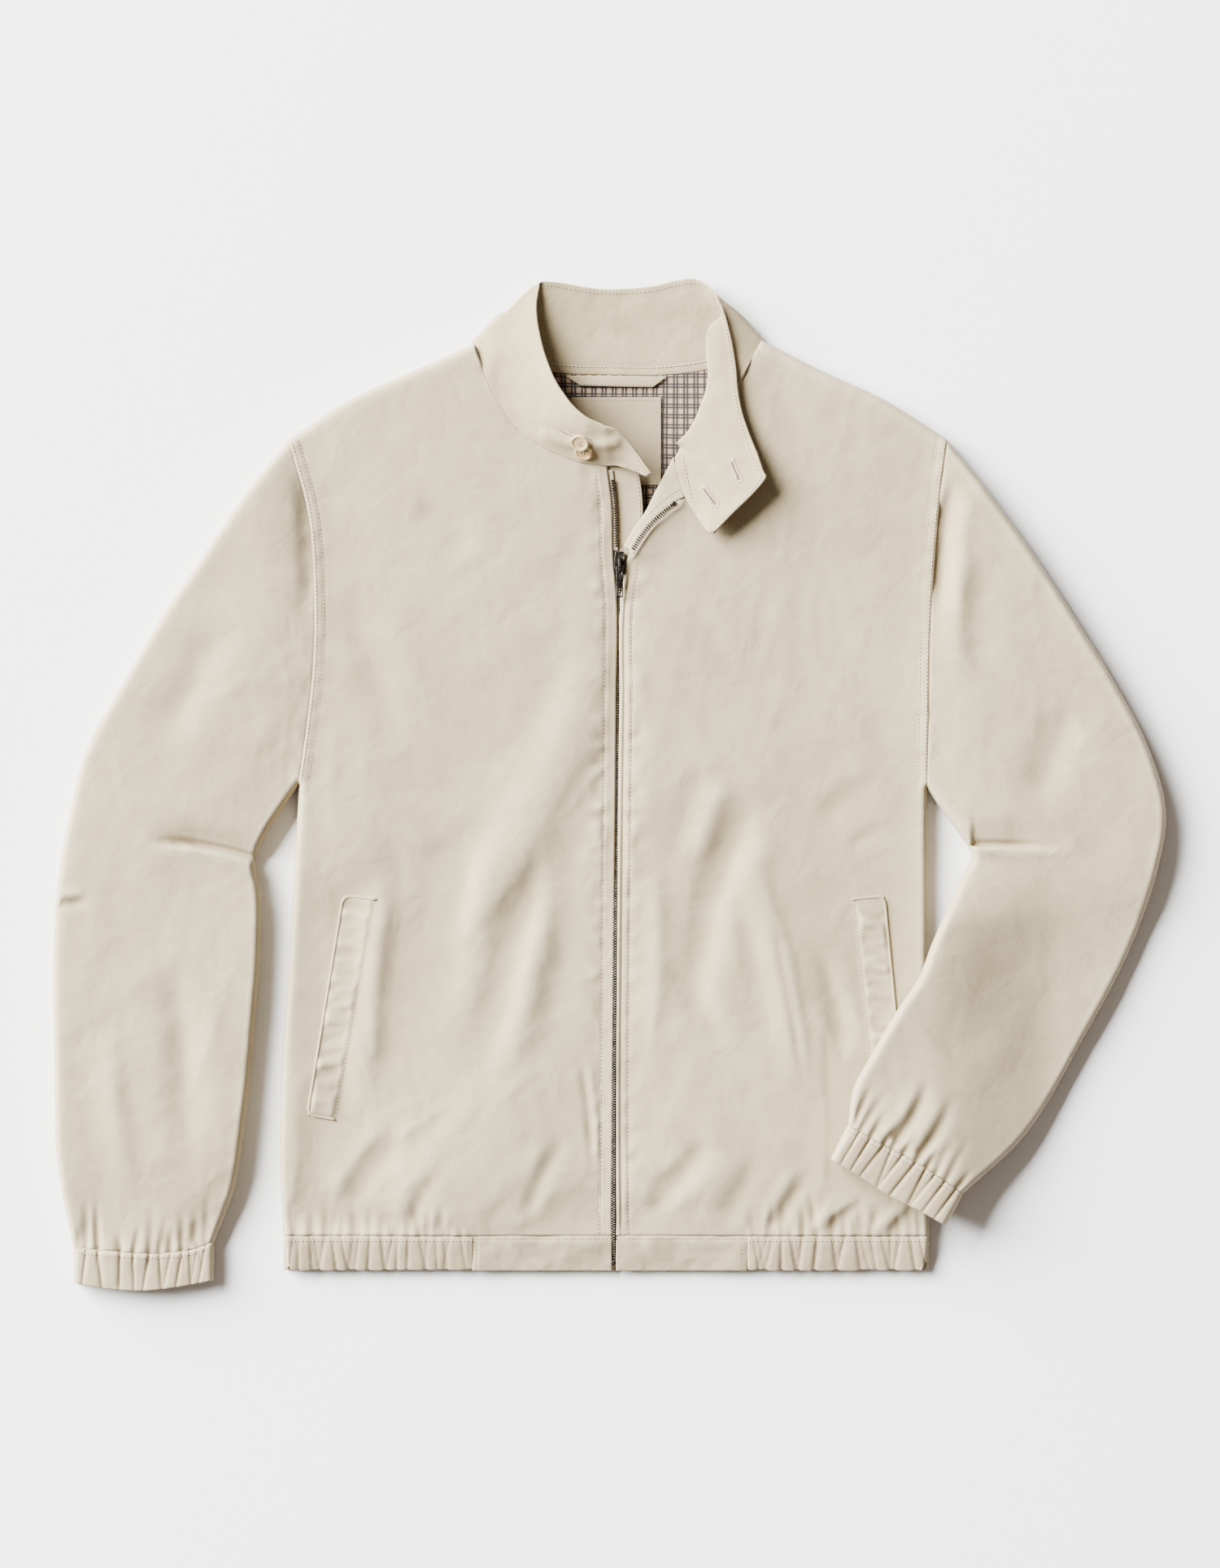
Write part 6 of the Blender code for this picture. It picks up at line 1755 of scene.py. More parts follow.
        grid = with_height(plan, height)
        obj = self.cloth("back", grid, up=False)
        declare(obj, self.back_cut, Held.LAID)
        return obj

    def build(self) -> None:
        """Builds the three panels."""
        self.build_back()
        for side in Side:
            self.build_front(side)


# Sleeves and cuffs


@dataclass
class Sleeves(Maker):
    """The two sleeves and their elasticated cuffs."""

    row_step: float = 2.7
    column_step: float = 2.0
    under_step: float = 5.0
    elbow_row: float = 0.46
    cuff_height: float = 27.0
    sleeve_cut: tuple[float, float] = (0.36, 0.7)
    cuff_cut: tuple[float, float] = (0.24, 0.05)

    def relief(self, x: Array, y: Array) -> Array:
        """Creases and unevenness of the upper layers of both sleeves."""
        total = 1.4 * crease_height(x, y, SLEEVE_CREASES + self.cuff_fans) + tuck_height(x, y, SLEEVE_TUCKS)
        calm = 0.9 - 0.35 * smoothstep((-80 - y) / 60)
        total = total + np.where(x < 0, crumple(x, y, -28, 31), calm * crumple(x, y, 36, 33))
        for hole in self.laid.armholes:
            gap = np.abs(nearest_on(x, y, hole)[0])
            total = total - 0.5 * np.clip(1 - gap / 1.5, 0, 1) ** 2
            total = total + 0.6 * drift(x, y, 9, 8, 34) * bell((gap - 2) / 7)
        for seam, _, lines, _ in self.cuffs.values():
            gap, share = nearest_on(x, y, dense(seam))
            gap = np.abs(gap)
            puffed = gathers(lines, share, 1.2, 0.09, 35) * bell(gap / 9)
            total = total + puffed - 1.2 * np.clip(1 - gap / 1.8, 0, 1) ** 2
        return total

    def __post_init__(self) -> None:
        """Names the edges of each sleeve and cuff."""
        self.cuffs = {
            side: (CUFF_SEAM[side], CUFF_EDGE[side], CUFF_LINES[side], seed) for side, seed in zip(Side, (41, 42))
        }
        self.cuff_fans = []
        for side, (seam, _, lines, seed) in self.cuffs.items():
            rng = np.random.default_rng(seed)
            up = np.array([0.05, 1.0]) if side is RIGHT else np.array([0.53, 0.85])
            for share in lines[1:-1]:
                x, y = smooth_curve(seam, np.array([share]))[0]
                reach = rng.uniform(14, 46)
                tip = np.array([x, y]) + reach * unit(up + rng.normal(0, 0.1, 2))
                self.cuff_fans.append(Crease(
                    x, y, tip[0], tip[1], rng.normal(0, 1), rng.uniform(2.2, 3.6), -rng.uniform(0.8, 1.6),
                    rng.uniform(-0.4, 0.4), 0.0, 0.02, 0.75,
                ))

    def tube(self, plans: Sequence[Array], puff: Array | None = None) -> Array:
        """Lays a flattened tube between the plans of its upper and lower halves.

        Args:
            plans: Upper and lower plan grids, each from the inner edge to the outer edge.
            puff: Extra height outwards, rows by the columns of the whole ring.

        Returns:
            The tube's outer grid.
        """
        upper = with_height(plans[0], lambda x, y: self.laid.sleeve_top(x, y, self.relief))
        lower = with_height(plans[1], self.laid.sleeve_under)
        lift = self.laid.arm_lift(upper[..., 0], upper[..., 1]) + EDGE_HEIGHT
        upper[:, 0, 2], upper[:, -1, 2] = lift[:, 0], lift[:, -1]
        ring = np.concatenate([upper, lower[:, -2:0:-1]], axis=1)
        if puff is not None:
            normals, _ = grid_normals(ring, True, True)
            floor = self.laid.arm_lift(ring[..., 0], ring[..., 1])
            ring = ring + puff[..., None] * normals
            ring[..., 2] = np.maximum(ring[..., 2], floor)
        return ring

    def build_sleeve(self, side: Side) -> None:
        """Builds a sleeve from its armhole to its cuff."""
        hole, outer_edge, inner_edge, seam = (
            table[side] for table in (ARMHOLE, SLEEVE_OUTER, SLEEVE_INNER, CUFF_SEAM)
        )
        length = lengths_of(dense(outer_edge))[-1]
        rows = spaced(length, self.row_step, SEAM, SEAM)
        stops = shares_along(inner_edge)
        inner = smooth_curve(inner_edge, np.interp(rows, (0, self.elbow_row, 1), (0, stops[3], 1)))
        outer = smooth_curve(outer_edge, np.interp(rows, (0, self.elbow_row, 1), (0, 0.5, 1)))
        plans = []
        for step in (self.column_step, self.under_step):
            columns = spaced(150, step, FINE, FINE)
            low, high = smooth_curve(hole, columns), smooth_curve(seam, columns)
            plans.append(coons(low, high, inner, outer, columns, rows))
        name = f"sleeve_{side.value}"
        obj = self.cloth(name, self.tube(plans), around=True)
        declare(obj, self.sleeve_cut, Held.LAID)

    def build_cuff(self, side: Side) -> None:
        """Builds a cuff, puffed between its gathers, and sews its seam."""
        seam, edge, lines, seed = self.cuffs[side]
        rows = spaced(self.cuff_height, 1.3, SEAM, (0.3, 0.8))
        columns = np.linspace(0, 1, 150)
        sides = [np.outer(1 - rows, seam[k]) + np.outer(rows, edge[k]) for k in (0, -1)]
        plan = coons(smooth_curve(seam, columns), smooth_curve(edge, columns), sides[0], sides[1], columns, rows)
        over = slanted_gathers(lines, columns, rows, 0.05, 1.3, 0.09, seed)
        below = slanted_gathers(np.linspace(0, 1, 15), columns, rows, 0.02, 1.0, 0.07, seed + 1)
        puff = np.concatenate([over, below[:, -2:0:-1]], axis=1)
        puff = puff * (0.7 + 0.3 * np.sin(math.pi * rows))[:, None]
        puff = puff - 0.9 * np.clip(1 - rows * self.cuff_height / 1.8, 0, 1)[:, None] ** 2
        ring = self.tube((plan, plan), puff)
        obj = self.cloth(f"cuff_{side.value}", ring, RIB_COTTON, Slot.RIB, RIB_CLOTH, around=True)
        normals, _ = grid_normals(ring, True, True)
        row = int(np.searchsorted(rows * self.cuff_height, 2.6))
        upper = slice(2, len(columns) - 2)
        stitched = self.sewing.row(f"cuff_stitch_{side.value}", ring[row, upper], normals[row, upper], Slot.RIB)
        declare(obj, self.cuff_cut, Held.GATHERED, [stitched])

    def build(self) -> None:
        """Builds both sleeves and both cuffs."""
        for side in Side:
            self.build_sleeve(side)
            self.build_cuff(side)


# Hem band


@dataclass
class HemBand(Maker):
    """The elasticated hem with its two plain tabs beside the zip."""

    height: float = 25.2
    band_cut: tuple[float, float] = (0.95, 0.056)
    tab_cut: tuple[float, float] = (0.105, 0.056)

    def __post_init__(self) -> None:
        """Spreads the rows of the band."""
        self.rows = spaced(self.height, 1.5, SEAM, (0.3, 0.8))

    def tab(self, side: Side) -> None:
        """Builds a plain tab."""
        start, end = (-2.4, TAB_END[RIGHT]) if side is RIGHT else (2.3, TAB_END[LEFT])
        columns = spaced(abs(end - start), 1.6, (0.4, 1.0), (0.4, 1.0))
        plan = np.stack(np.meshgrid(start + (end - start) * columns, HEM_SEAM - self.height * self.rows), axis=-1)

        def relief(x: Array, y: Array) -> Array:
            """Seam, topstitched end and unevenness."""
            up, along = HEM_SEAM - y, np.abs(x - end)
            total = 1.0 * drift(x, y, 26, 18, 51) + 0.55 * drift(x, y, 9, 9, 52) + 0.15 * drift(x, y, 4, 4, 53)
            total = total - 0.9 * np.clip(1 - up / 1.6, 0, 1) ** 2 - 0.8 * np.clip(1 - along / 1.4, 0, 1) ** 2
            return total - 0.6 * bell((up - 2.4) / 0.9) - 0.6 * bell((along - 2.6) / 0.9) - 0.2 * np.maximum(up - 3, 0)

        def surface(x: Array, y: Array) -> Array:
            """Upper face of the tab."""
            return self.laid.body_top(x, y, relief)

        grid = with_height(plan, surface)
        name = f"hem_tab_{side.value}"
        obj = self.cloth(name, grid, depth=RIB_CLOTH, rim=3)
        inward = 1 if side is RIGHT else -1
        ends = np.column_stack([np.full(20, end + inward * 2.6), np.linspace(HEM_SEAM - 2, HEM_BOTTOM + 1.5, 20)])
        seam = np.column_stack([np.linspace(start, end, 60), np.full(60, HEM_SEAM - 2.4)])
        rows = [
            self.sewing.row(f"tab_end_stitch_{side.value}", *on_surface(ends, surface)),
            self.sewing.row(f"tab_seam_stitch_{side.value}", *on_surface(seam, surface)),
        ]
        declare(obj, self.tab_cut, Held.FOLDED, rows)

    def elastic(self) -> None:
        """Builds the gathered band round the back."""
        right, left = SIDE_SEAM[RIGHT][0][0], SIDE_SEAM[LEFT][0][0]
        stretches = [
            TAB_END[RIGHT] + (right - TAB_END[RIGHT]) * spaced(TAB_END[RIGHT] - right, 1.0, (), (0.2, 0.5, 0.9)),
            right + (left - right) * spaced(left - right, 2.2, (0.3, 0.8, 1.5), (0.3, 0.8, 1.5)),
            left + (TAB_END[LEFT] - left) * spaced(left - TAB_END[LEFT], 1.0, (0.2, 0.5, 0.9), ()),
        ]
        xs = np.concatenate([stretches[0], stretches[1][1:], stretches[2][1:]])
        front = np.repeat([True, False, True], [len(stretches[0]), len(stretches[1]) - 2, len(stretches[2])])
        ys = HEM_SEAM - self.height * self.rows
        x, y = np.meshgrid(xs, ys)
        z = np.where(front[None, :], self.laid.body_top(x, y), self.laid.body_under(x, y))
        grid = np.stack([x, y, z], axis=-1)
        normals, _ = grid_normals(grid, False, True)
        middle = len(ys) // 2, len(xs) // 2
        if normals[middle][2] > 0:
            normals = -normals
        normals[..., 1] = 0
        normals = unit(normals)
        place = np.arange(len(xs))
        in_right, in_left = place < len(stretches[0]), place >= len(xs) - len(stretches[2]) + 1
        puff = slanted_gathers(np.linspace(right, left, 52), xs, self.rows, 3.0, 1.0, 9.0, 63)
        for here, lines, look in (
            (in_left, HEM_LINES[LEFT], (6.5, 1.2, 8.5, 62)), (in_right, HEM_LINES[RIGHT], (5.5, 1.05, 7.5, 61)),
        ):
            puff = np.where(here, slanted_gathers(lines, xs, self.rows, *look), puff)
        down = -(y - HEM_SEAM)
        shape = 0.75 + 0.25 * np.sin(math.pi * down / self.height) - 0.25 * bell((down - 2.6) / 1.2)
        wave = puff * shape - 0.9 * np.clip(1 - down / 1.8, 0, 1) ** 2
        wave = wave + 0.2 * drift(x, y, 5, 9, 64) - np.where(front[None, :], 0.2 * np.maximum(down - 3, 0), 0.0)
        grid = grid + wave[..., None] * normals
        grid[..., 2] = np.maximum(grid[..., 2], 0)
        dip = 1.3 * np.clip(1 - puff[-1] / 1.6, 0, 1)
        grid[..., 1] += dip * smoothstep((down - 16) / 9)
        flat, _ = grid_normals(grid, False, True)
        up = bool((flat[middle][2] < 0) == (flat[..., 2].mean() > 0))
        obj = self.cloth("hem_elastic", grid, RIB_COTTON, Slot.RIB, RIB_CLOTH, up=up, rim=3)
        row = int(np.searchsorted(self.rows * self.height, 2.4))
        faces = flat if flat[row, 4, 2] > 0 else -flat
        ends = {"right": slice(len(stretches[0]) - 3), "left": slice(3 - len(stretches[2]), None)}
        rows = [
            self.sewing.row(f"hem_stitch_{side}", grid[row, part], faces[row, part], Slot.RIB)
            for side, part in ends.items()
        ]
        declare(obj, self.band_cut, Held.GATHERED, rows)

    def build(self) -> None:
        """Builds the band."""
        self.elastic()
        for side in Side:
            self.tab(side)


# Collar and the turned-out front corner


class Section(NamedTuple):
    """A line across the collar: places of its sewn edge, its middle or roll, and its free edge.

    Layer 1 or 0 sews it to the upper or the lower cloth of the body, whose level it then takes. A turned
    section rolls over at its middle.
    """

    layer: int | None
    sewn: tuple[float, float, float]
    middle: tuple[float, float, float]
    free: tuple[float, float, float]
    turned: bool = False


COLLAR_TAB = [
    Section(None, (24.6, 225, 23), (25.6, 226.2, 23.6), (26.7, 227.6, 24.2)),
    Section(None, (10.2, 231, 18), (10.4, 240, 25), (9.8, 250.6, 31)),
    Section(None, (1.4, 233.4, 15.4), (1, 245, 25.5), (0.2, 258.4, 35)),
]
COLLAR_RIGHT = [
    Section(1, (-5.4, 233.2, 0), (-6, 246, 26), (-6.8, 260.2, 36)),
    Section(1, (-27.6, 237, 0), (-24.6, 252, 26), (-21.6, 267.6, 36)),
    Section(1, (-48.6, 245.4, 0), (-42.6, 262, 24.5), (-34.2, 280, 33)),
    Section(1, (-69, 259.2, 0), (-58, 278, 22), (-45.6, 299, 28)),
    Section(1, (-84, 279, 0), (-71, 299, 17.5), (-53.4, 322, 21.5)),
    Section(1, (-93.6, 297.6, 0), (-79, 319, 13.5), (-57.2, 345, 16)),
    Section(1, (-103.8, 322.2, 0), (-82, 345, 9), (-54.8, 368.2, 11.5)),
]
COLLAR_BACK = [
    Section(0, (-103.8, 322.2, 0), (-82, 345, 9), (-54.8, 368.2, 11.5)),
    Section(0, (-75, 308.6, 0), (-56, 338, 6.4), (-38, 366.6, 9.4)),
    Section(0, (-46.8, 302.7, 0), (-32, 333, 4.4), (-19.2, 363.3, 7.8)),
    Section(0, (0, 300.6, 0), (2, 331, 3.3), (4, 362.3, 6.7)),
    Section(0, (38.4, 300.6, 0), (34, 332, 3.4), (29, 364.5, 7)),
    Section(0, (69.6, 304.8, 0), (58, 337, 4.2), (47.4, 368.7, 8.2)),
    Section(0, (92, 314.6, 0), (78, 342, 5.6), (62, 368.6, 10.5)),
    Section(0, (109.2, 325.2, 0), (90, 344.6, 11), (74.8, 357, 16)),
]
COLLAR_LEFT = [
    Section(1, (109.2, 325.2, 0), (90, 344.6, 11), (74.8, 357, 16)),
    Section(1, (97.8, 304.8, 0), (68.9, 333, 17.6), (84.6, 329, 21), True),
    Section(1, (91.2, 291.6, 0), (68.4, 314, 18.4), (88.6, 307.6, 22), True),
    Section(1, (84.6, 279.6, 0), (69, 297, 18.8), (90.4, 288, 23), True),
    Section(1, (75, 267, 0), (65.4, 282, 19), (93.6, 271.2, 24), True),
    Section(1, (63, 255.6, 0), (58.5, 264, 19.2), (99, 255, 26), True),
    Section(None, (49.8, 246.9, 17.4), (50.4, 248.6, 20), (104.6, 241, 28)),
]
COLLAR_LEAF = [
    Section(None, (45.6, 236, 20), (77, 233, 25), (108.6, 228.8, 30.4)),
    Section(None, (48.6, 222, 20), (79, 222, 26), (110.4, 222, 32)),
    Section(None, (52.2, 210, 20.2), (76, 210, 26.2), (101.4, 211.2, 31.6)),
    Section(None, (58.4, 198.8, 21), (72, 199, 26.6), (88.2, 198.6, 31.4)),
    Section(None, (67.6, 184, 25.8), (70.2, 183.2, 27.4), (73.4, 183.4, 28.6)),
]
COLLAR_CREASE = Crease(-56, 259, 7, 251, -7, 3.2, -1.6, 0.3, 0.35, 0.12, 0.1)
FACING = [
    ((9.6, 172), (12.6, 170.4)), ((14.6, 182), (18.6, 179.6)), ((22.8, 194.8), (27.4, 191.2)),
    ((31, 210.8), (37.6, 200.8)), ((38.8, 225.6), (46, 206.8)), ((44, 235.6), (51.2, 209.2)),
]
FACING_STEPS = [(-2.4, -1), (-2.6, 0.6), (-1.6, 1.8), (0.6, 2.4)]


@dataclass
class Collar(Maker):
    """The collar, its buttonholes, and the left front's turned-out corner."""

    step: float = 1.7
    leaf_rows: int = 40
    buttonholes: tuple[tuple[str, tuple[float, float], tuple[float, float]], ...] = (
        ("buttonhole_low", (65.6, 215.6), (75.6, 201.8)), ("buttonhole_high", (86.2, 235.2), (92.6, 219.8)),
    )
    collar_cut: tuple[float, float] = (0.57, 0.09)
    facing_cut: tuple[float, float] = (0.075, 0.035)

    def line(self, section: Section, across: Array) -> Array:
        """Points of one section, from the sewn edge to the free edge."""
        sewn, middle, free = (np.array(place, float) for place in section[1:4])
        if section.layer == 1:
            sewn[2] = self.laid.body_top(sewn[:1], sewn[1:2])[0] - 0.3
        elif section.layer == 0:
            sewn[2] = 3.0 + 2.25 * self.laid.body_under(sewn[:1], sewn[1:2])[0] / EDGE_HEIGHT
        toward, away = middle - sewn, free - middle
        through = np.array([0, 0, 7.0]) if section.turned else (toward + away) / 2
        first = (across <= 0.5)[:, None]
        s = np.where(across <= 0.5, 2 * across, 2 * across - 1)[:, None]
        start, end = np.where(first, sewn, middle), np.where(first, middle, free)
        slope_in, slope_out = np.where(first, toward, through), np.where(first, through, away)
        return hermite(s, start, slope_in, end, slope_out)

    def sweep(self, stretches: Sequence[Sequence[Section]], across: Array) -> Array:
        """Smooth grid through stretches of sections, which share their end sections."""
        found = []
        for index, sections in enumerate(stretches):
            lines = np.array([self.line(section, across) for section in sections])
            gaps = np.linalg.norm(np.diff(lines, axis=0), axis=2).max(axis=1)
            stops = shares_along(lines[:, 0, :2])
            slopes = np.gradient(lines, stops, axis=0)
            counts = [max(int(gap / self.step), 2) for gap in gaps]
            steps = [np.linspace(k, k + 1, count, endpoint=False) for k, count in enumerate(counts)]
            places = np.concatenate([*steps, [len(sections) - 1.0]])[1 if index else 0:]
            k = np.clip(places.astype(int), 0, len(sections) - 2)
            span = (stops[k + 1] - stops[k])[:, None, None]
            s = (places - k)[:, None, None]
            found.append(hermite(s, lines[k], span * slopes[k], lines[k + 1], span * slopes[k + 1]))
        return np.concatenate(found)

    def build_collar(self) -> None:
        """Builds the collar in one piece, from the right tab round to the left leaf."""
        across = np.unique(np.concatenate([
            spaced(1, 0.045, (0.008, 0.02, 0.04), (0.008, 0.02, 0.04)), np.linspace(0.42, 0.62, 12),
        ]))
        stretches = [
            COLLAR_TAB + COLLAR_RIGHT[:1], COLLAR_RIGHT, COLLAR_BACK, COLLAR_LEFT, COLLAR_LEFT[-1:] + COLLAR_LEAF,
        ]
        grid = self.shape(self.sweep(stretches, across), across)
        obj = self.cloth("collar", grid, COLLAR_COTTON, Slot.COLLAR, COLLAR_CLOTH, rim=3)
        self.grid = grid
        rows = self.sew_collar(grid, across)
        for name, start, end in self.buttonholes:
            rows.append(self.sewing.buttonhole(name, np.array(start), np.array(end), self.leaf_level, Slot.COLLAR))
        declare(obj, self.collar_cut, Held.FOLDED, rows)

    def shape(self, grid: Array, across: Array) -> Array:
        """Adds the collar's own relief along its normals."""
        normals, _ = grid_normals(grid, False, True)
        x, y = grid[..., 0], grid[..., 1]
        relief = 0.6 * drift(x, y, 26, 26, 71) + 0.3 * drift(x, y, 11, 11, 72) + 0.1 * drift(x, y, 5, 5, 73)
        relief = relief - 0.45 * bell((across - 0.93) / 0.02) - 0.6 * bell((across - 0.075) / 0.022)
        relief = relief + crease_height(x, y, [COLLAR_CREASE]) * ((x < 12) & (y < 275))
        relief = relief - 0.35 * np.clip(1 - across / 0.05, 0, 1)
        return grid + relief[..., None] * normals

    def sew_collar(self, grid: Array, across: Array) -> list[Piece]:
        """Sews the collar's edge and its neck seam."""
        normals, _ = grid_normals(grid, False, True)
        keep = slice(6, len(grid) - 6)
        rows = []
        for name, place, look in (("collar_edge_stitch", 0.93, ()), ("neck_seam_stitch", 0.07, (3.0, 1.9))):
            column = int(np.searchsorted(across, place))
            rows.append(self.sewing.row(name, grid[keep, column], normals[keep, column], Slot.COLLAR, *look))
        return rows

    def leaf_level(self, x: Array, y: Array) -> Array:
        """Height of the leaf's upper face."""
        leaf = self.grid[-self.leaf_rows:].reshape(-1, 3)
        weights = bell(np.hypot(x[:, None] - leaf[:, 0], y[:, None] - leaf[:, 1]) / 1.3) + 1e-12
        return (weights * leaf[:, 2]).sum(axis=1) / weights.sum(axis=1)

    def build_facing(self) -> None:
        """Builds the turned-out corner, with its inner face up."""
        shares = np.linspace(0, 1, 60)
        rolls = smooth_curve(np.array([roll for roll, _ in FACING]), shares)
        edges = smooth_curve(np.array([edge for _, edge in FACING]), shares)
        level = self.laid.body_top(rolls[:, 0], rolls[:, 1])
        grid, sewn = [], []
        for roll, edge, height in zip(rolls, edges, level):
            away = unit(edge - roll)
            reach = max(float(np.linalg.norm(edge - roll)), 2.6)
            last_out, last_up = FACING_STEPS[-1]
            steps = np.array(FACING_STEPS + [(max(reach * 0.6, last_out + 1), last_up + 1.0), (reach, last_up + 1.5)])
            fine = smooth_curve(steps, np.linspace(0, 1, 26))
            grid.append([(*(roll + away * out), height + up) for out, up in fine])
            if reach > 9:
                sewn.append((*(roll + away * (reach - 6)), height + np.interp(reach - 6, fine[:, 0], fine[:, 1])))
        grid = np.array(grid)
        obj = self.cloth("facing_left", grid)
        row = self.sewing.row("facing_stitch", np.array(sewn), np.tile((0.0, 0.0, 1.0), (len(sewn), 1)))
        declare(obj, self.facing_cut, Held.FOLDED, [row])

    def build(self) -> None:
        """Builds the collar and the corner."""
        self.build_collar()
        self.build_facing()


# Zip

GUARD_EDGE = np.array([(17, 233), (20, 214), (20.8, 170), (20.8, HEM_BOTTOM + 2)])
SLIDER, SLIDER_SIZE, SLIDER_TOP = (4.1, 160.8), (7.6, 16.4, 5.0), 16.6
PULL_PIVOT = (4.1, 157.6, 18.3)


@dataclass
class ZipFastener(Maker):
    """The zip: tapes, teeth, guard, slider, pull and stops."""

    pitch: float = 1.85
    tooth: tuple[float, float, float] = (2.9, 0.95, 1.5)
    guard_left: float = -11.0
    guard_cut: tuple[float, float] = (0.036, 0.6)
    tape_cut: tuple[float, float] = (0.028, 0.56)
    pull_size: tuple[float, float, float] = (5.0, 22.5, 1.2)
    pull_rim: float = 1.1
    eye_length: float = 5.4
    window_top: float = 15.5
    stop_size: tuple[float, float, float] = (3.4, 2.6, 1.7)

    def tape_level(self, x: Array, y: Array) -> Array:
        """Height of the tape's upper face, under the fronts' edges and the tabs."""
        return self.laid.body_top(np.zeros(np.shape(x)), y) - 2.1 - 0.22 * np.maximum(HEM_SEAM - 2 - y, 0)

    def guard_level(self, x: Array, y: Array) -> Array:
        """Height of the guard's upper face, under the tape."""
        return self.tape_level(x, y) - 0.8 + 0.12 * drift(x, y, 12, 30, 81)

    def line(self) -> Array:
        """Plan line midway between the fronts' edges, from the hem to the slider."""
        ys = np.linspace(HEM_BOTTOM + 3, SLIDER[1] - SLIDER_SIZE[1] / 2 - 0.6, 240)
        right, left = dense(FRONT_EDGE[RIGHT]), dense(FRONT_EDGE[LEFT])
        middle = (np.interp(ys, right[:, 1], right[:, 0]) + np.interp(ys, left[:, 1], left[:, 0])) / 2
        return np.column_stack([middle, ys])

    def build_guard(self) -> None:
        """Builds the guard behind the zip, with its edge stitch."""
        rows = smooth_curve(GUARD_EDGE, np.concatenate([np.linspace(0, 0.13, 36), np.linspace(0.14, 1, 50)]))[::-1]
        columns = spaced(30, 2.0, SEAM, SEAM)
        plan = np.stack([
            self.guard_left + (rows[:, 0][:, None] - self.guard_left) * columns,
            np.repeat(rows[:, 1][:, None], len(columns), axis=1),
        ], axis=-1)
        grid = with_height(plan, self.guard_level)
        obj = self.cloth("zip_guard", grid)
        shown = beside(rows[rows[:, 1] > 100], 1.6)
        row = self.sewing.row("guard_stitch", *on_surface(shown, self.guard_level))
        declare(obj, self.guard_cut, Held.FOLDED, [row])

    def strip(self, name: str, line: Array, half: float, level: Surface, nodes: Sequence[str]) -> Piece:
        """Builds a flat tape along a plan line."""
        sides = np.linspace(-half, half, 7)
        plan = np.stack([beside(line, -side) for side in sides], axis=1)
        obj = shell(name, with_height(plan, level), THIN_CLOTH)
        return dress(obj, self.finishes, TAPE_COTTON, Slot.TAPE, nodes)

    def build_tapes(self) -> None:
        """Builds the closed tape, and the two tapes that part above the slider."""
        right = smooth_curve(TEETH[RIGHT], np.linspace(0, 1, 40))
        left = smooth_curve(TEETH[LEFT], np.linspace(0, 1, 40))
        parted = [
            self.strip("zip_tape_right", beside(right, -4.5), 5.5, raised(self.tape_level, 0.7), ()),
            self.strip("zip_tape_left", beside(left, 0.9), 1.9, raised(self.laid.body_top, 4.1), ()),
        ]
        closed = self.strip("zip_tape", self.line(), 12.0, self.tape_level, ["zip_tape"])
        declare(closed, self.tape_cut, Held.FOLDED, parted)

    def tooth_template(self) -> tuple[Array, Array]:
        """One tooth, which points along +y: a bar with a narrower, lower head."""
        deselect_all()
        bpy.ops.mesh.primitive_cube_add(size=1)
        tooth = bpy.context.object
        tooth.scale = (self.tooth[1], self.tooth[0], self.tooth[2])
        bpy.ops.object.transform_apply(location=True, rotation=True, scale=True)
        pick(tooth, lambda centre, normal: normal.y > 0.9)
        bpy.ops.mesh.inset(thickness=0.22)
        bpy.ops.mesh.extrude_region_move(TRANSFORM_OT_translate={"value": (0, 0.35, 0)})
        bpy.ops.object.mode_set(mode="OBJECT")
        return read_template(tooth)

    def teeth(self, name: str, line: Array, level: Surface, inward: float) -> None:
        """Sets teeth along a plan line; inward is 1 where they point left of it, 0 where both rows mesh."""
        template, faces = self.template
        path, normals = on_surface(line, level)
        places, ups = at_pitch(path, normals, self.pitch if inward else self.pitch / 2, 0.4)
        frames = frames_along(places, ups)
        turn = np.full(len(places), inward) if inward else np.where(np.arange(len(places)) % 2 == 0, 1.0, -1.0)
        frames = frames * np.stack([turn, turn, np.ones(len(places))], axis=1)[..., None]
        if not inward:
            places = places - frames[:, 1] * 0.75
        points, triangles = place_copies(template, faces, places, frames)
        obj = add_mesh(name, points * MM, triangles)
        obj.data.shade_smooth()
        dress(obj, self.finishes, TOOTH_METAL, Slot.METAL, [name])

    def build_teeth(self) -> None:
        """Builds the closed chain, the two open rows and the stops."""
        self.template = self.tooth_template()
        over = self.laid.body_top
        right = smooth_curve(TEETH[RIGHT], np.linspace(0.12, 0.97, 60))
        left = smooth_curve(TEETH[LEFT], np.linspace(0.05, 0.97, 60))
        self.teeth("zip_chain", self.line(), raised(self.tape_level, 0.7), 0)
        self.teeth("zip_teeth_right", right, raised(self.tape_level, 1.4), 1)
        self.teeth("zip_teeth_left", left, raised(over, 4.7), 1)
        for name, x, y, level, turn in (
            ("zip_top_stop", 43.6, 204.4, raised(over, 4.9), 0.9),
            ("zip_bottom_stop", 0.0, -355.6, raised(self.tape_level, 1.6), 0.0),
        ):
            z = float(level(np.array([x]), np.array([y]))[0])
            stop = block(name, self.stop_size, (x, y, z), turn)
            apply_bevel(stop, 0.5 * MM, 3, 40)
            stop.data.shade_smooth()
            dress(stop, self.finishes, GUNMETAL, Slot.METAL)

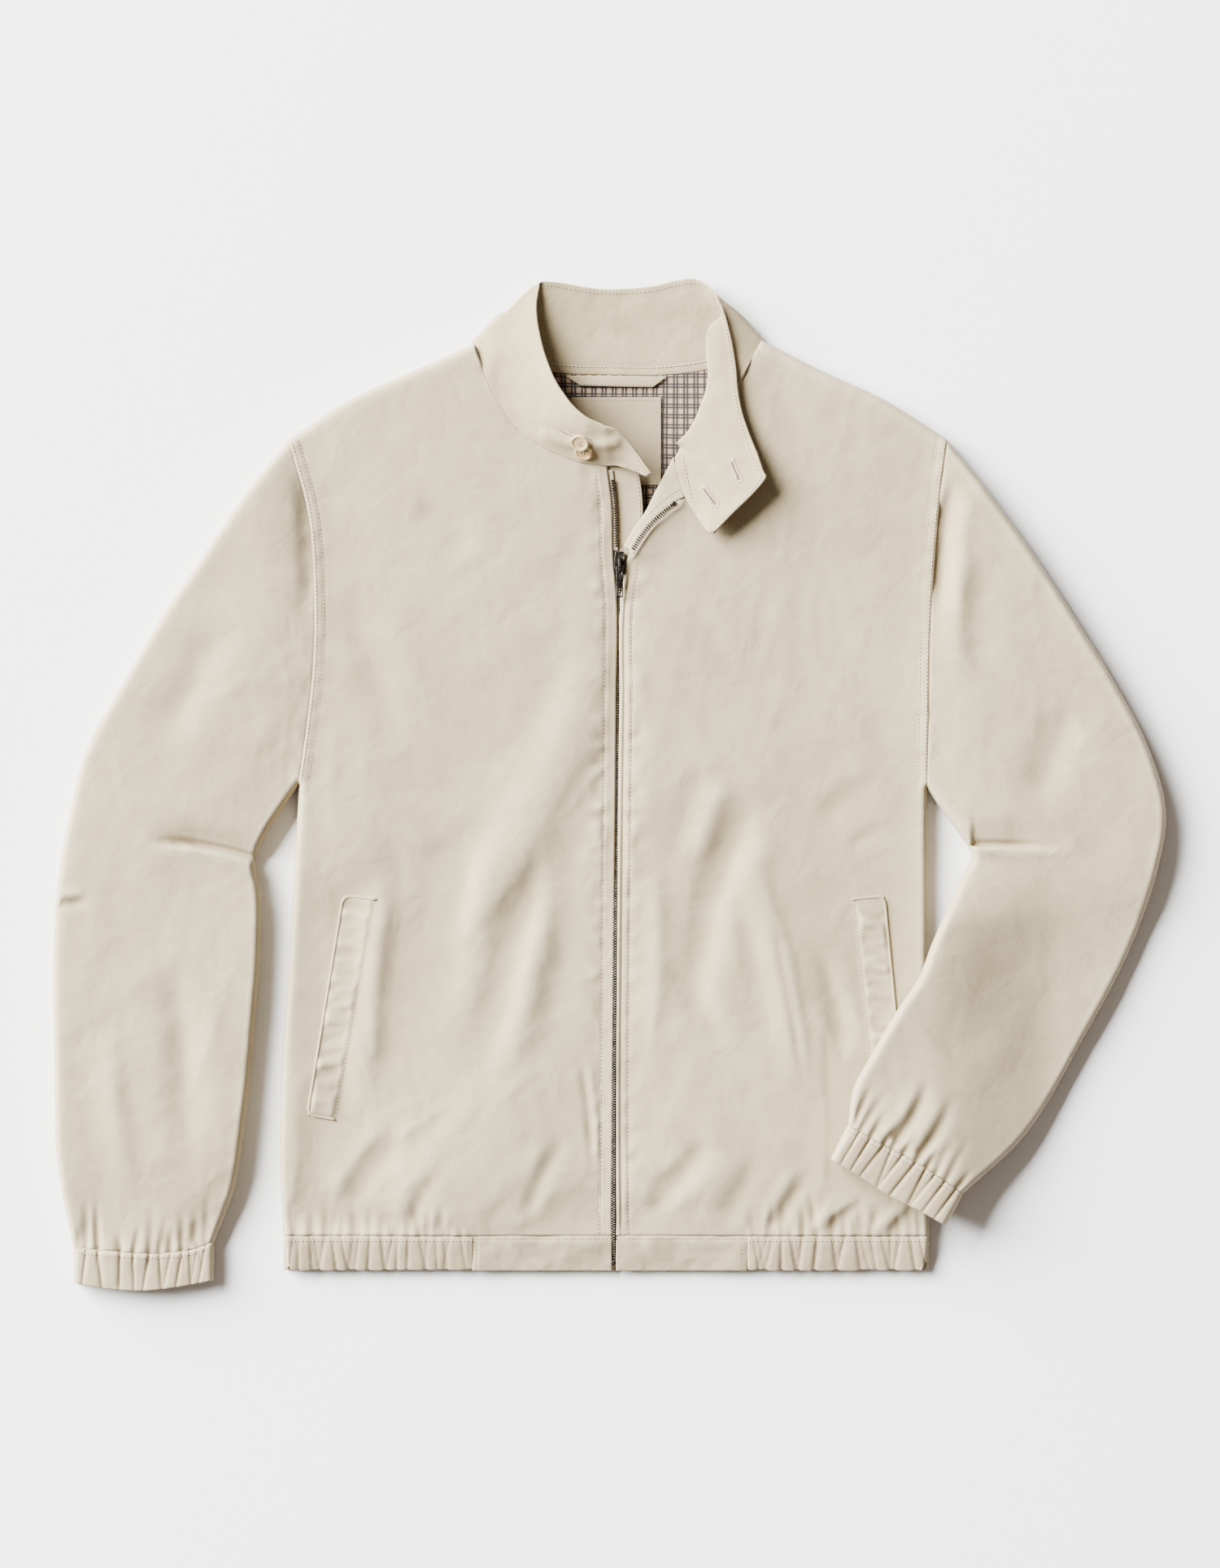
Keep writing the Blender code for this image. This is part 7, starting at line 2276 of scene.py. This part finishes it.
    def build_slider(self) -> None:
        """Builds the slider: body, narrower nose, raised rib, and the bridge that holds the pull."""
        (x, y), (width, length, depth) = SLIDER, SLIDER_SIZE
        body = block("zip_slider", (width, length, depth), (x, y, SLIDER_TOP - depth / 2))
        bpy.ops.object.mode_set(mode="EDIT")
        for share in (-0.2, 0.15):
            bpy.ops.mesh.select_all(action="SELECT")
            bpy.ops.mesh.bisect(plane_co=(x * MM, (y + share * length) * MM, 0), plane_no=(0, 1, 0))
        bpy.ops.object.mode_set(mode="OBJECT")
        reach = (length / 2 - 0.1) * MM
        for end, share in ((-1, 0.66), (1, 0.86)):
            pick(body, lambda place, _: end * (place.y - y * MM) > reach, "VERT")
            bpy.ops.transform.resize(value=(share, 1, 1), center_override=(x * MM, y * MM, 0))
            bpy.ops.object.mode_set(mode="OBJECT")
        pick(body, lambda centre, normal: normal.z > 0.9)
        bpy.ops.mesh.inset(thickness=1.0 * MM)
        bpy.ops.transform.translate(value=(0, 0, -0.5 * MM))
        bpy.ops.object.mode_set(mode="OBJECT")
        apply_bevel(body, 0.55 * MM, 3)
        activate(body, self.bridge())
        bpy.ops.object.join()
        bpy.ops.object.shade_smooth_by_angle(angle=math.radians(45))
        dress(body, self.finishes, GUNMETAL, Slot.METAL, ["zip_slider"])

    def plate(
        self, name: str, size: tuple[float, float, float], centre: tuple[float, float, float],
        cuts: Sequence[tuple[int, float]], holes: Sequence[tuple[float, float]], through: int,
    ) -> Piece:
        """Builds a bar with holes: cut at planes, its cells on both faces bridged.

        Args:
            name: The bar's name.
            size: Its size.
            centre: Its middle.
            cuts: Axis and place of each cut.
            holes: Low and high y of each hole.
            through: Axis that the holes run along.

        Returns:
            The bar.
        """
        bar = block(name, size, centre)
        other = 2 - through
        for axis, place in cuts:
            bpy.ops.object.mode_set(mode="EDIT")
            bpy.ops.mesh.select_all(action="SELECT")
            where, facing = [0.0, 0.0, 0.0], [0.0, 0.0, 0.0]
            where[axis], facing[axis] = place * MM, 1.0
            bpy.ops.mesh.bisect(plane_co=where, plane_no=facing)
            bpy.ops.object.mode_set(mode="OBJECT")
        near = size[other] / 4 * MM
        for low, high in holes:
            pick(bar, lambda c, n: (
                abs(n[through]) > 0.9 and low * MM < c.y < high * MM and abs(c[other] - centre[other] * MM) < near
            ))
            bpy.ops.mesh.bridge_edge_loops()
            bpy.ops.object.mode_set(mode="OBJECT")
        return bar

    def bridge(self) -> Piece:
        """Builds the slider's bridge, open across under its crown."""
        px, py, pz = PULL_PIVOT
        foot, head, top = py - 3.2, py + 6.4, pz + 2.0
        base = SLIDER_TOP - 0.6
        cuts = [(1, foot + 1.2), (1, py + 2.0), (2, base + 0.35), (2, pz + 1.0)]
        size, centre = (1.8, head - foot, top - base), (px, (foot + head) / 2, (top + base) / 2)
        bar = self.plate("bridge", size, centre, cuts, [(foot + 1.2, py + 2.0)], 0)
        apply_bevel(bar, 0.4 * MM, 3)
        return bar

    def build_pull(self) -> None:
        """Builds the pull: an eye round the bridge, a plain neck and a windowed end."""
        (px, py, pz), (width, length, thick) = PULL_PIVOT, self.pull_size
        top, tip, rim = py + thick / 2, py - length, self.pull_rim
        eye, window = py - self.eye_length, py - self.window_top
        cuts = [(0, px - width / 2 + rim), (0, px + width / 2 - rim)]
        cuts += [(1, place) for place in (py - thick / 2, eye, window, tip + rim)]
        size, centre = (width, top - tip, thick), (px, (top + tip) / 2, pz)
        pull = self.plate("zip_pull", size, centre, cuts, [(eye, py - thick / 2), (tip + rim, window)], 2)
        apply_bevel(pull, 0.28 * MM, 2)
        bpy.ops.object.shade_smooth_by_angle(angle=math.radians(45))
        dress(pull, self.finishes, GUNMETAL, Slot.METAL, ["zip_pull"], Body.PULL_TAB)

    def build(self) -> None:
        """Builds the zip."""
        self.build_guard()
        self.build_tapes()
        self.build_teeth()
        self.build_slider()
        self.build_pull()


# Pockets

POCKETS = {
    RIGHT: np.array([(-200.6, -83.4), (-227.4, -247.6), (-204, -251.4), (-174.6, -86.4)]),
    LEFT: np.array([(200.4, -83.8), (216, -247), (192, -251), (174.6, -86.4)]),
}


@dataclass
class Pockets(Maker):
    """A slanted welt on each front, piped round its ends and outer side."""

    body: BodyPanels
    inset: float = 1.6
    piping: float = 2.3
    corner: float = 7.0
    welt_cut: tuple[float, float] = (0.046, 0.19)

    def build_welt(self, side: Side) -> None:
        """Builds a welt with its stitch along the pocket's mouth."""
        top_out, low_out, low_in, top_in = POCKETS[side]
        surface = self.body.surface(side)
        inward, down = unit(top_in - top_out) * self.inset, unit(low_out - top_out) * self.inset
        v = spaced(158, 1.9, SEAM, SEAM)[:, None, None]
        u = spaced(24, 1.4, (0.35, 0.9), (0.35, 0.9))[None, :, None]
        corners = (top_out + inward + down, top_in + down, low_out + inward - down, low_in - down)
        plan = bilinear(u, v, corners)

        def height(x: Array, y: Array) -> Array:
            """Upper face of the welt."""
            outward = np.abs(nearest_on(x, y, np.array([top_in, low_in]))[0])
            corded = np.abs(nearest_on(x, y, np.array([top_in, top_out, low_out, low_in]))[0])
            rise = 0.05 + 1.35 * smoothstep(outward / 6) - 0.35 * bell((outward - 2.2) / 0.9)
            folds = 1.7 * turned_drift(x, y, 72, 7, 30, 91) + 0.7 * turned_drift(x, y, 95, 3.8, 16, 92)
            away = smoothstep((corded - 1.5) / 3.5)
            folds = np.maximum(folds, -0.9) * smoothstep((outward - 3) / 4) * away
            return surface(x, y) + rise * (0.6 + 0.4 * away) + folds

        grid = with_height(plan, height)
        name = f"pocket_welt_{side.value}"
        obj = self.cloth(name, grid)
        line = plan[2:-2, -1] + unit(top_out - top_in) * 2.2
        row = self.sewing.row(f"welt_stitch_{side.value}", *on_surface(line, height))
        declare(obj, self.welt_cut, Held.FOLDED, [row, self.build_piping(side)])

    def build_piping(self, side: Side) -> Piece:
        """Builds the round piping along the welt's ends and outer side."""
        top_out, low_out, low_in, top_in = POCKETS[side]
        inward, down = unit(top_in - top_out), unit(low_out - top_out)
        turns = np.linspace(0, math.pi / 2, 7)[1:-1, None]
        first, second = top_out + self.corner * (inward + down), low_out + self.corner * (inward - down)
        path = np.concatenate([
            [top_in, first - self.corner * down],
            first - self.corner * (np.cos(turns) * down + np.sin(turns) * inward),
            [first - self.corner * inward, second - self.corner * inward],
            second - self.corner * (np.cos(turns) * inward - np.sin(turns) * down),
            [second + self.corner * down, low_in],
        ])
        stops = lengths_of(path)
        places = np.arange(0, stops[-1], 1.9)
        line = np.column_stack([np.interp(places, stops, path[:, k]) for k in (0, 1)])
        middle = path.mean(axis=0)
        aside = unit(np.gradient(line, axis=0))
        aside = np.stack([-aside[:, 1], aside[:, 0]], axis=1)
        inside = np.sign(((middle - line) * aside).sum(axis=1, keepdims=True)) * aside
        centre = line + inside * self.piping / 2
        base = self.body.surface(side)(centre[:, 0], centre[:, 1]) - 0.1
        angles = np.linspace(0, 2 * math.pi, 10, endpoint=False)
        swell = 1 + 0.06 * drift(places, places * 0, 4, 9, 93)
        ends = np.sqrt(np.clip(np.minimum(places, places[-1] - places) / 1.6 + 0.04, 0.04, 1))
        wide, high = self.piping / 2 * ends, 0.95 * swell * ends
        ring = np.stack([
            np.column_stack([centre + np.cos(a) * inside * wide[:, None], base + 0.55 + math.sin(a) * high])
            for a in angles
        ], axis=1)
        name = f"pocket_piping_{side.value}"
        obj = self.tube(name, ring)
        return dress(obj, self.finishes, SHELL_COTTON, Slot.SHELL, [name])

    def tube(self, name: str, ring: Array) -> Piece:
        """Builds a solid cord from rings of points, closed at both ends."""
        rows, columns = ring.shape[:2]
        _, _, quads = grid_quads(rows, columns, True)
        points = np.concatenate([ring.reshape(-1, 3), [ring[0].mean(axis=0), ring[-1].mean(axis=0)]])
        first, last, base = rows * columns, rows * columns + 1, (rows - 1) * columns
        caps = []
        for k in range(columns):
            after = (k + 1) % columns
            caps += [(first, after, k), (last, base + k, base + after)]
        mesh = bpy.data.meshes.new(name)
        mesh.from_pydata((points * MM).tolist(), [], quads.tolist() + caps)
        mesh.shade_smooth()
        mesh.uv_layers.new(name="cloth")
        map_cloth(mesh, points[:, :2] * MM)
        obj = bpy.data.objects.new(name, mesh)
        bpy.context.scene.collection.objects.link(obj)
        activate(obj)
        bpy.ops.object.mode_set(mode="EDIT")
        bpy.ops.mesh.select_all(action="SELECT")
        bpy.ops.mesh.normals_make_consistent(inside=False)
        bpy.ops.object.mode_set(mode="OBJECT")
        return obj

    def build(self) -> None:
        """Builds both pockets."""
        for side in Side:
            self.build_welt(side)


# Buttons and the inside of the neck


@dataclass
class Buttons:
    """The two horn buttons on the collar's right end, one lying partly on the other."""

    finishes: Finishes
    collar: Collar
    diameter: float = 13.5
    thick: float = 2.0
    hole_at: float = 1.5
    hole_radius: float = 0.72
    lift: float = 3.7
    reach: float = 25.0
    places: tuple[tuple[str, float, float, Horn], ...] = (
        ("button_lower", -21.6, 243.9, HORN_LOWER), ("button_upper", -24.2, 251.4, HORN_UPPER),
    )

    def plane(self) -> tuple[Array, Array]:
        """Point and normal of the collar under the buttons."""
        points = self.collar.grid.reshape(-1, 3)
        _, x, y, _ = self.places[0]
        near = points[np.hypot(points[:, 0] - x, points[:, 1] - y) < self.reach]
        level = np.column_stack([near[:, :2] - (x, y), np.ones(len(near))])
        slope_x, slope_y, height = np.linalg.lstsq(level, near[:, 2], rcond=None)[0]
        return np.array([x, y, height]), unit(np.array([-slope_x, -slope_y, 1.0]))

    def disc(self, name: str) -> Piece:
        """Models one button: rounded rim, sunk middle, four holes."""
        deselect_all()
        bpy.ops.mesh.primitive_cylinder_add(vertices=48, radius=self.diameter / 2 * MM, depth=self.thick * MM)
        disc = bpy.context.object
        disc.name = name
        pick(disc, lambda centre, normal: normal.z > 0.9)
        bpy.ops.mesh.inset(thickness=1.5 * MM)
        bpy.ops.transform.translate(value=(0, 0, 0.1 * MM))
        bpy.ops.mesh.inset(thickness=0.8 * MM)
        bpy.ops.transform.translate(value=(0, 0, -0.65 * MM))
        bpy.ops.object.mode_set(mode="OBJECT")
        apply_bevel(disc, 0.5 * MM, 3)
        for turn in range(4):
            angle = math.pi / 4 + turn * math.pi / 2
            deselect_all()
            at = (self.hole_at * MM * math.cos(angle), self.hole_at * MM * math.sin(angle), 0)
            bpy.ops.mesh.primitive_cylinder_add(
                vertices=14, radius=self.hole_radius * MM, depth=4 * self.thick * MM, location=at,
            )
            cutter = bpy.context.object
            hole = disc.modifiers.new("Hole", "BOOLEAN")
            hole.operation, hole.object, hole.solver = "DIFFERENCE", cutter, "EXACT"
            bpy.context.view_layer.objects.active = disc
            bpy.ops.object.modifier_apply(modifier=hole.name)
            bpy.data.objects.remove(cutter)
        activate(disc)
        bpy.ops.object.shade_smooth_by_angle(angle=math.radians(40))
        return disc

    def build(self) -> None:
        """Builds both buttons."""
        place, normal = self.plane()
        for index, (name, x, y, horn) in enumerate(self.places):
            aside = np.array([x - place[0], y - place[1]])
            at = place + np.array([*aside, -(aside @ normal[:2]) / normal[2]])
            at = at + (self.lift + index * (self.thick + 0.3)) * normal
            disc = self.disc(name)
            disc.location = at * MM
            disc.rotation_euler = Vector(normal).to_track_quat("Z", "Y").to_euler()
            settle(disc)
            dress(disc, self.finishes, horn, Slot.HORN, [name])


@dataclass
class NeckInside(Maker):
    """The check lining, the bare label and the hanger loop in the open neck."""

    low: float = 120.0
    side: float = 104.0
    inset: float = 1.2
    label_at: tuple[float, float] = (1.5, 251.0)
    label_size: tuple[float, float] = (66.0, 64.0)
    lining_cut: tuple[float, float] = (0.23, 0.2)
    label_cut: tuple[float, float] = (0.072, 0.07)
    loop_cut: tuple[float, float] = (0.1, 0.018)

    def lining_level(self, x: Array, y: Array) -> Array:
        """Upper face of the lining, uneven by a fraction of a millimetre."""
        return LINING_LEVEL + 0.45 * drift(x, y, 34, 60, 101) + 0.2 * drift(x, y, 14, 22, 102)

    def label_level(self, x: Array, y: Array) -> Array:
        """Upper face of the label, on the lining."""
        return self.lining_level(x, y) + 1.1

    def build_lining(self) -> None:
        """Builds the lining up to the neck seam."""
        columns = np.linspace(0.0, 1.0, 120)
        high = smooth_curve(NECK_BACK, 0.07 + 0.86 * columns) - np.array([0, self.inset])
        low = np.column_stack([np.linspace(-self.side, self.side, 120), np.full(120, self.low)])
        rows = spaced(185, 2.4, SEAM, SEAM)
        ends = [np.outer(1 - rows, low[k]) + np.outer(rows, high[k]) for k in (0, -1)]
        grid = with_height(coons(low, high, ends[0], ends[1], columns, rows), self.lining_level)
        obj = shell("lining_back", grid, THIN_CLOTH)
        self.square_map(obj)
        dress(obj, self.finishes, LINING, Slot.LINING, ["lining_back"])
        declare(obj, self.lining_cut, Held.LAID)

    def square_map(self, obj: Piece) -> None:
        """Lays the check straight across the lining, a little off true where it eases."""
        points = np.zeros(len(obj.data.vertices) * 3, np.float32)
        obj.data.vertices.foreach_get("co", points)
        x, y, _ = points.reshape(-1, 3).T / MM
        map_cloth(obj.data, np.column_stack([x + 1.2 * drift(x, y, 70, 50, 103), y + drift(x, y, 60, 60, 104)]) * MM)

    def build_label(self) -> None:
        """Builds the bare label with its turned edges and stitches."""
        shares = spaced(self.label_size[0], 1.6, SEAM, SEAM) - 0.5
        plan = np.stack(np.meshgrid(
            self.label_at[0] + self.label_size[0] * shares, self.label_at[1] + self.label_size[1] * shares,
        ), axis=-1)
        grid = with_height(plan, self.label_level)
        obj = shell("label", grid, THIN_CLOTH, rim=3)
        dress(obj, self.finishes, LABEL_SATIN, Slot.LABEL, ["label"])
        half = np.array(self.label_size) / 2 - 1.6
        rows = []
        for name, way in (("top", 1), ("bottom", -1)):
            line = np.array(self.label_at) + np.linspace((-half[0], way * half[1]), (half[0], way * half[1]), 40)
            sewn = on_surface(line, self.label_level)
            rows.append(self.sewing.row(f"label_stitch_{name}", *sewn, Slot.LABEL, 2.2, 0.7))
        declare(obj, self.label_cut, Held.FOLDED, rows)

    def build_loop(self) -> None:
        """Builds the hanger loop, slack in its middle, sewn along its lower edge."""
        corners = np.array([(-24.6, 292), (28.8, 291), (-35.4, 299), (38.4, 298.4)])
        u = spaced(64, 1.4, SEAM, SEAM)[None, :, None]
        v = np.linspace(0, 1, 9)[:, None, None]
        plan = bilinear(u, v, corners)
        arch = 0.6 + 1.0 * np.sin(math.pi * u[..., 0])
        z = LINING_LEVEL + 2.0 + arch * (0.8 + 0.2 * np.sin(math.pi * v[..., 0]))
        grid = np.concatenate([plan, z[..., None]], axis=-1)
        obj = shell("hanger_loop", grid, CLOTH)
        dress(obj, self.finishes, SHELL_COTTON, Slot.SHELL, ["hanger_loop"])
        normals, _ = grid_normals(grid, False, True)
        row = self.sewing.row("loop_stitch", grid[1, 3:-3], normals[1, 3:-3], Slot.SHELL, 2.6, 0.9)
        declare(obj, self.loop_cut, Held.FOLDED, [row])

    def build(self) -> None:
        """Builds the inside of the neck."""
        self.build_lining()
        self.build_label()
        self.build_loop()


# Studio


@dataclass
class Studio:
    """Pale floor, soft light from the upper left, and the camera straight above."""

    finishes: Finishes
    floor_size: float = 6.0
    distance: float = 5.0
    shown: tuple[float, float] = (0.9, 1.1568)
    centre: tuple[float, float] = (-0.003, -0.0024)
    plane: float = 0.012
    sensor: float = 24.0
    key_at: tuple[float, float, float] = (-9.0, 5.3, 5.5)
    key_size: float = 9.0
    key_power: float = 18600.0
    fill: float = 0.3

    def build(self) -> None:
        """Sets the floor, the lights and the camera."""
        deselect_all()
        bpy.ops.mesh.primitive_plane_add(size=self.floor_size)
        floor = bpy.context.object
        floor.name = "floor"
        floor.data.materials.append(self.finishes.get(Paper()))
        bpy.ops.object.light_add(type="AREA", location=self.key_at)
        key = bpy.context.object
        key.name = "key_light"
        key.data.shape, key.data.size, key.data.energy = "SQUARE", self.key_size, self.key_power
        key.data.color = (0.988, 0.996, 1.0)
        key.rotation_euler = Vector(self.key_at).to_track_quat("Z", "Y").to_euler()
        world = bpy.data.worlds.new("studio")
        bpy.context.scene.world = world
        world.use_nodes = True
        background = world.node_tree.nodes["Background"]
        background.inputs["Color"].default_value = (1.0, 0.84, 0.7, 1.0)
        background.inputs["Strength"].default_value = self.fill
        data = bpy.data.cameras.new("camera")
        data.sensor_fit, data.sensor_height = "VERTICAL", self.sensor
        data.lens = self.sensor * (self.distance - self.plane) / self.shown[1]
        data.clip_end = 20
        camera = bpy.data.objects.new("camera", data)
        camera.location = (*self.centre, self.distance)
        bpy.context.scene.collection.objects.link(camera)
        bpy.context.scene.camera = camera


def main() -> None:
    """Dresses the jacket."""
    logging.basicConfig(level=logging.INFO, format="%(message)s")
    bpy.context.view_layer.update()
    finishes = Finishes()
    sewing = Sewing(finishes)
    tools = LaidShell(), finishes, sewing
    body = BodyPanels(*tools)
    body.build()
    Sleeves(*tools).build()
    HemBand(*tools).build()
    collar = Collar(*tools)
    collar.build()
    ZipFastener(*tools).build()
    Pockets(*tools, body).build()
    Buttons(finishes, collar).build()
    NeckInside(*tools).build()
    Studio(finishes).build()


if __name__ == "__main__":
    main()
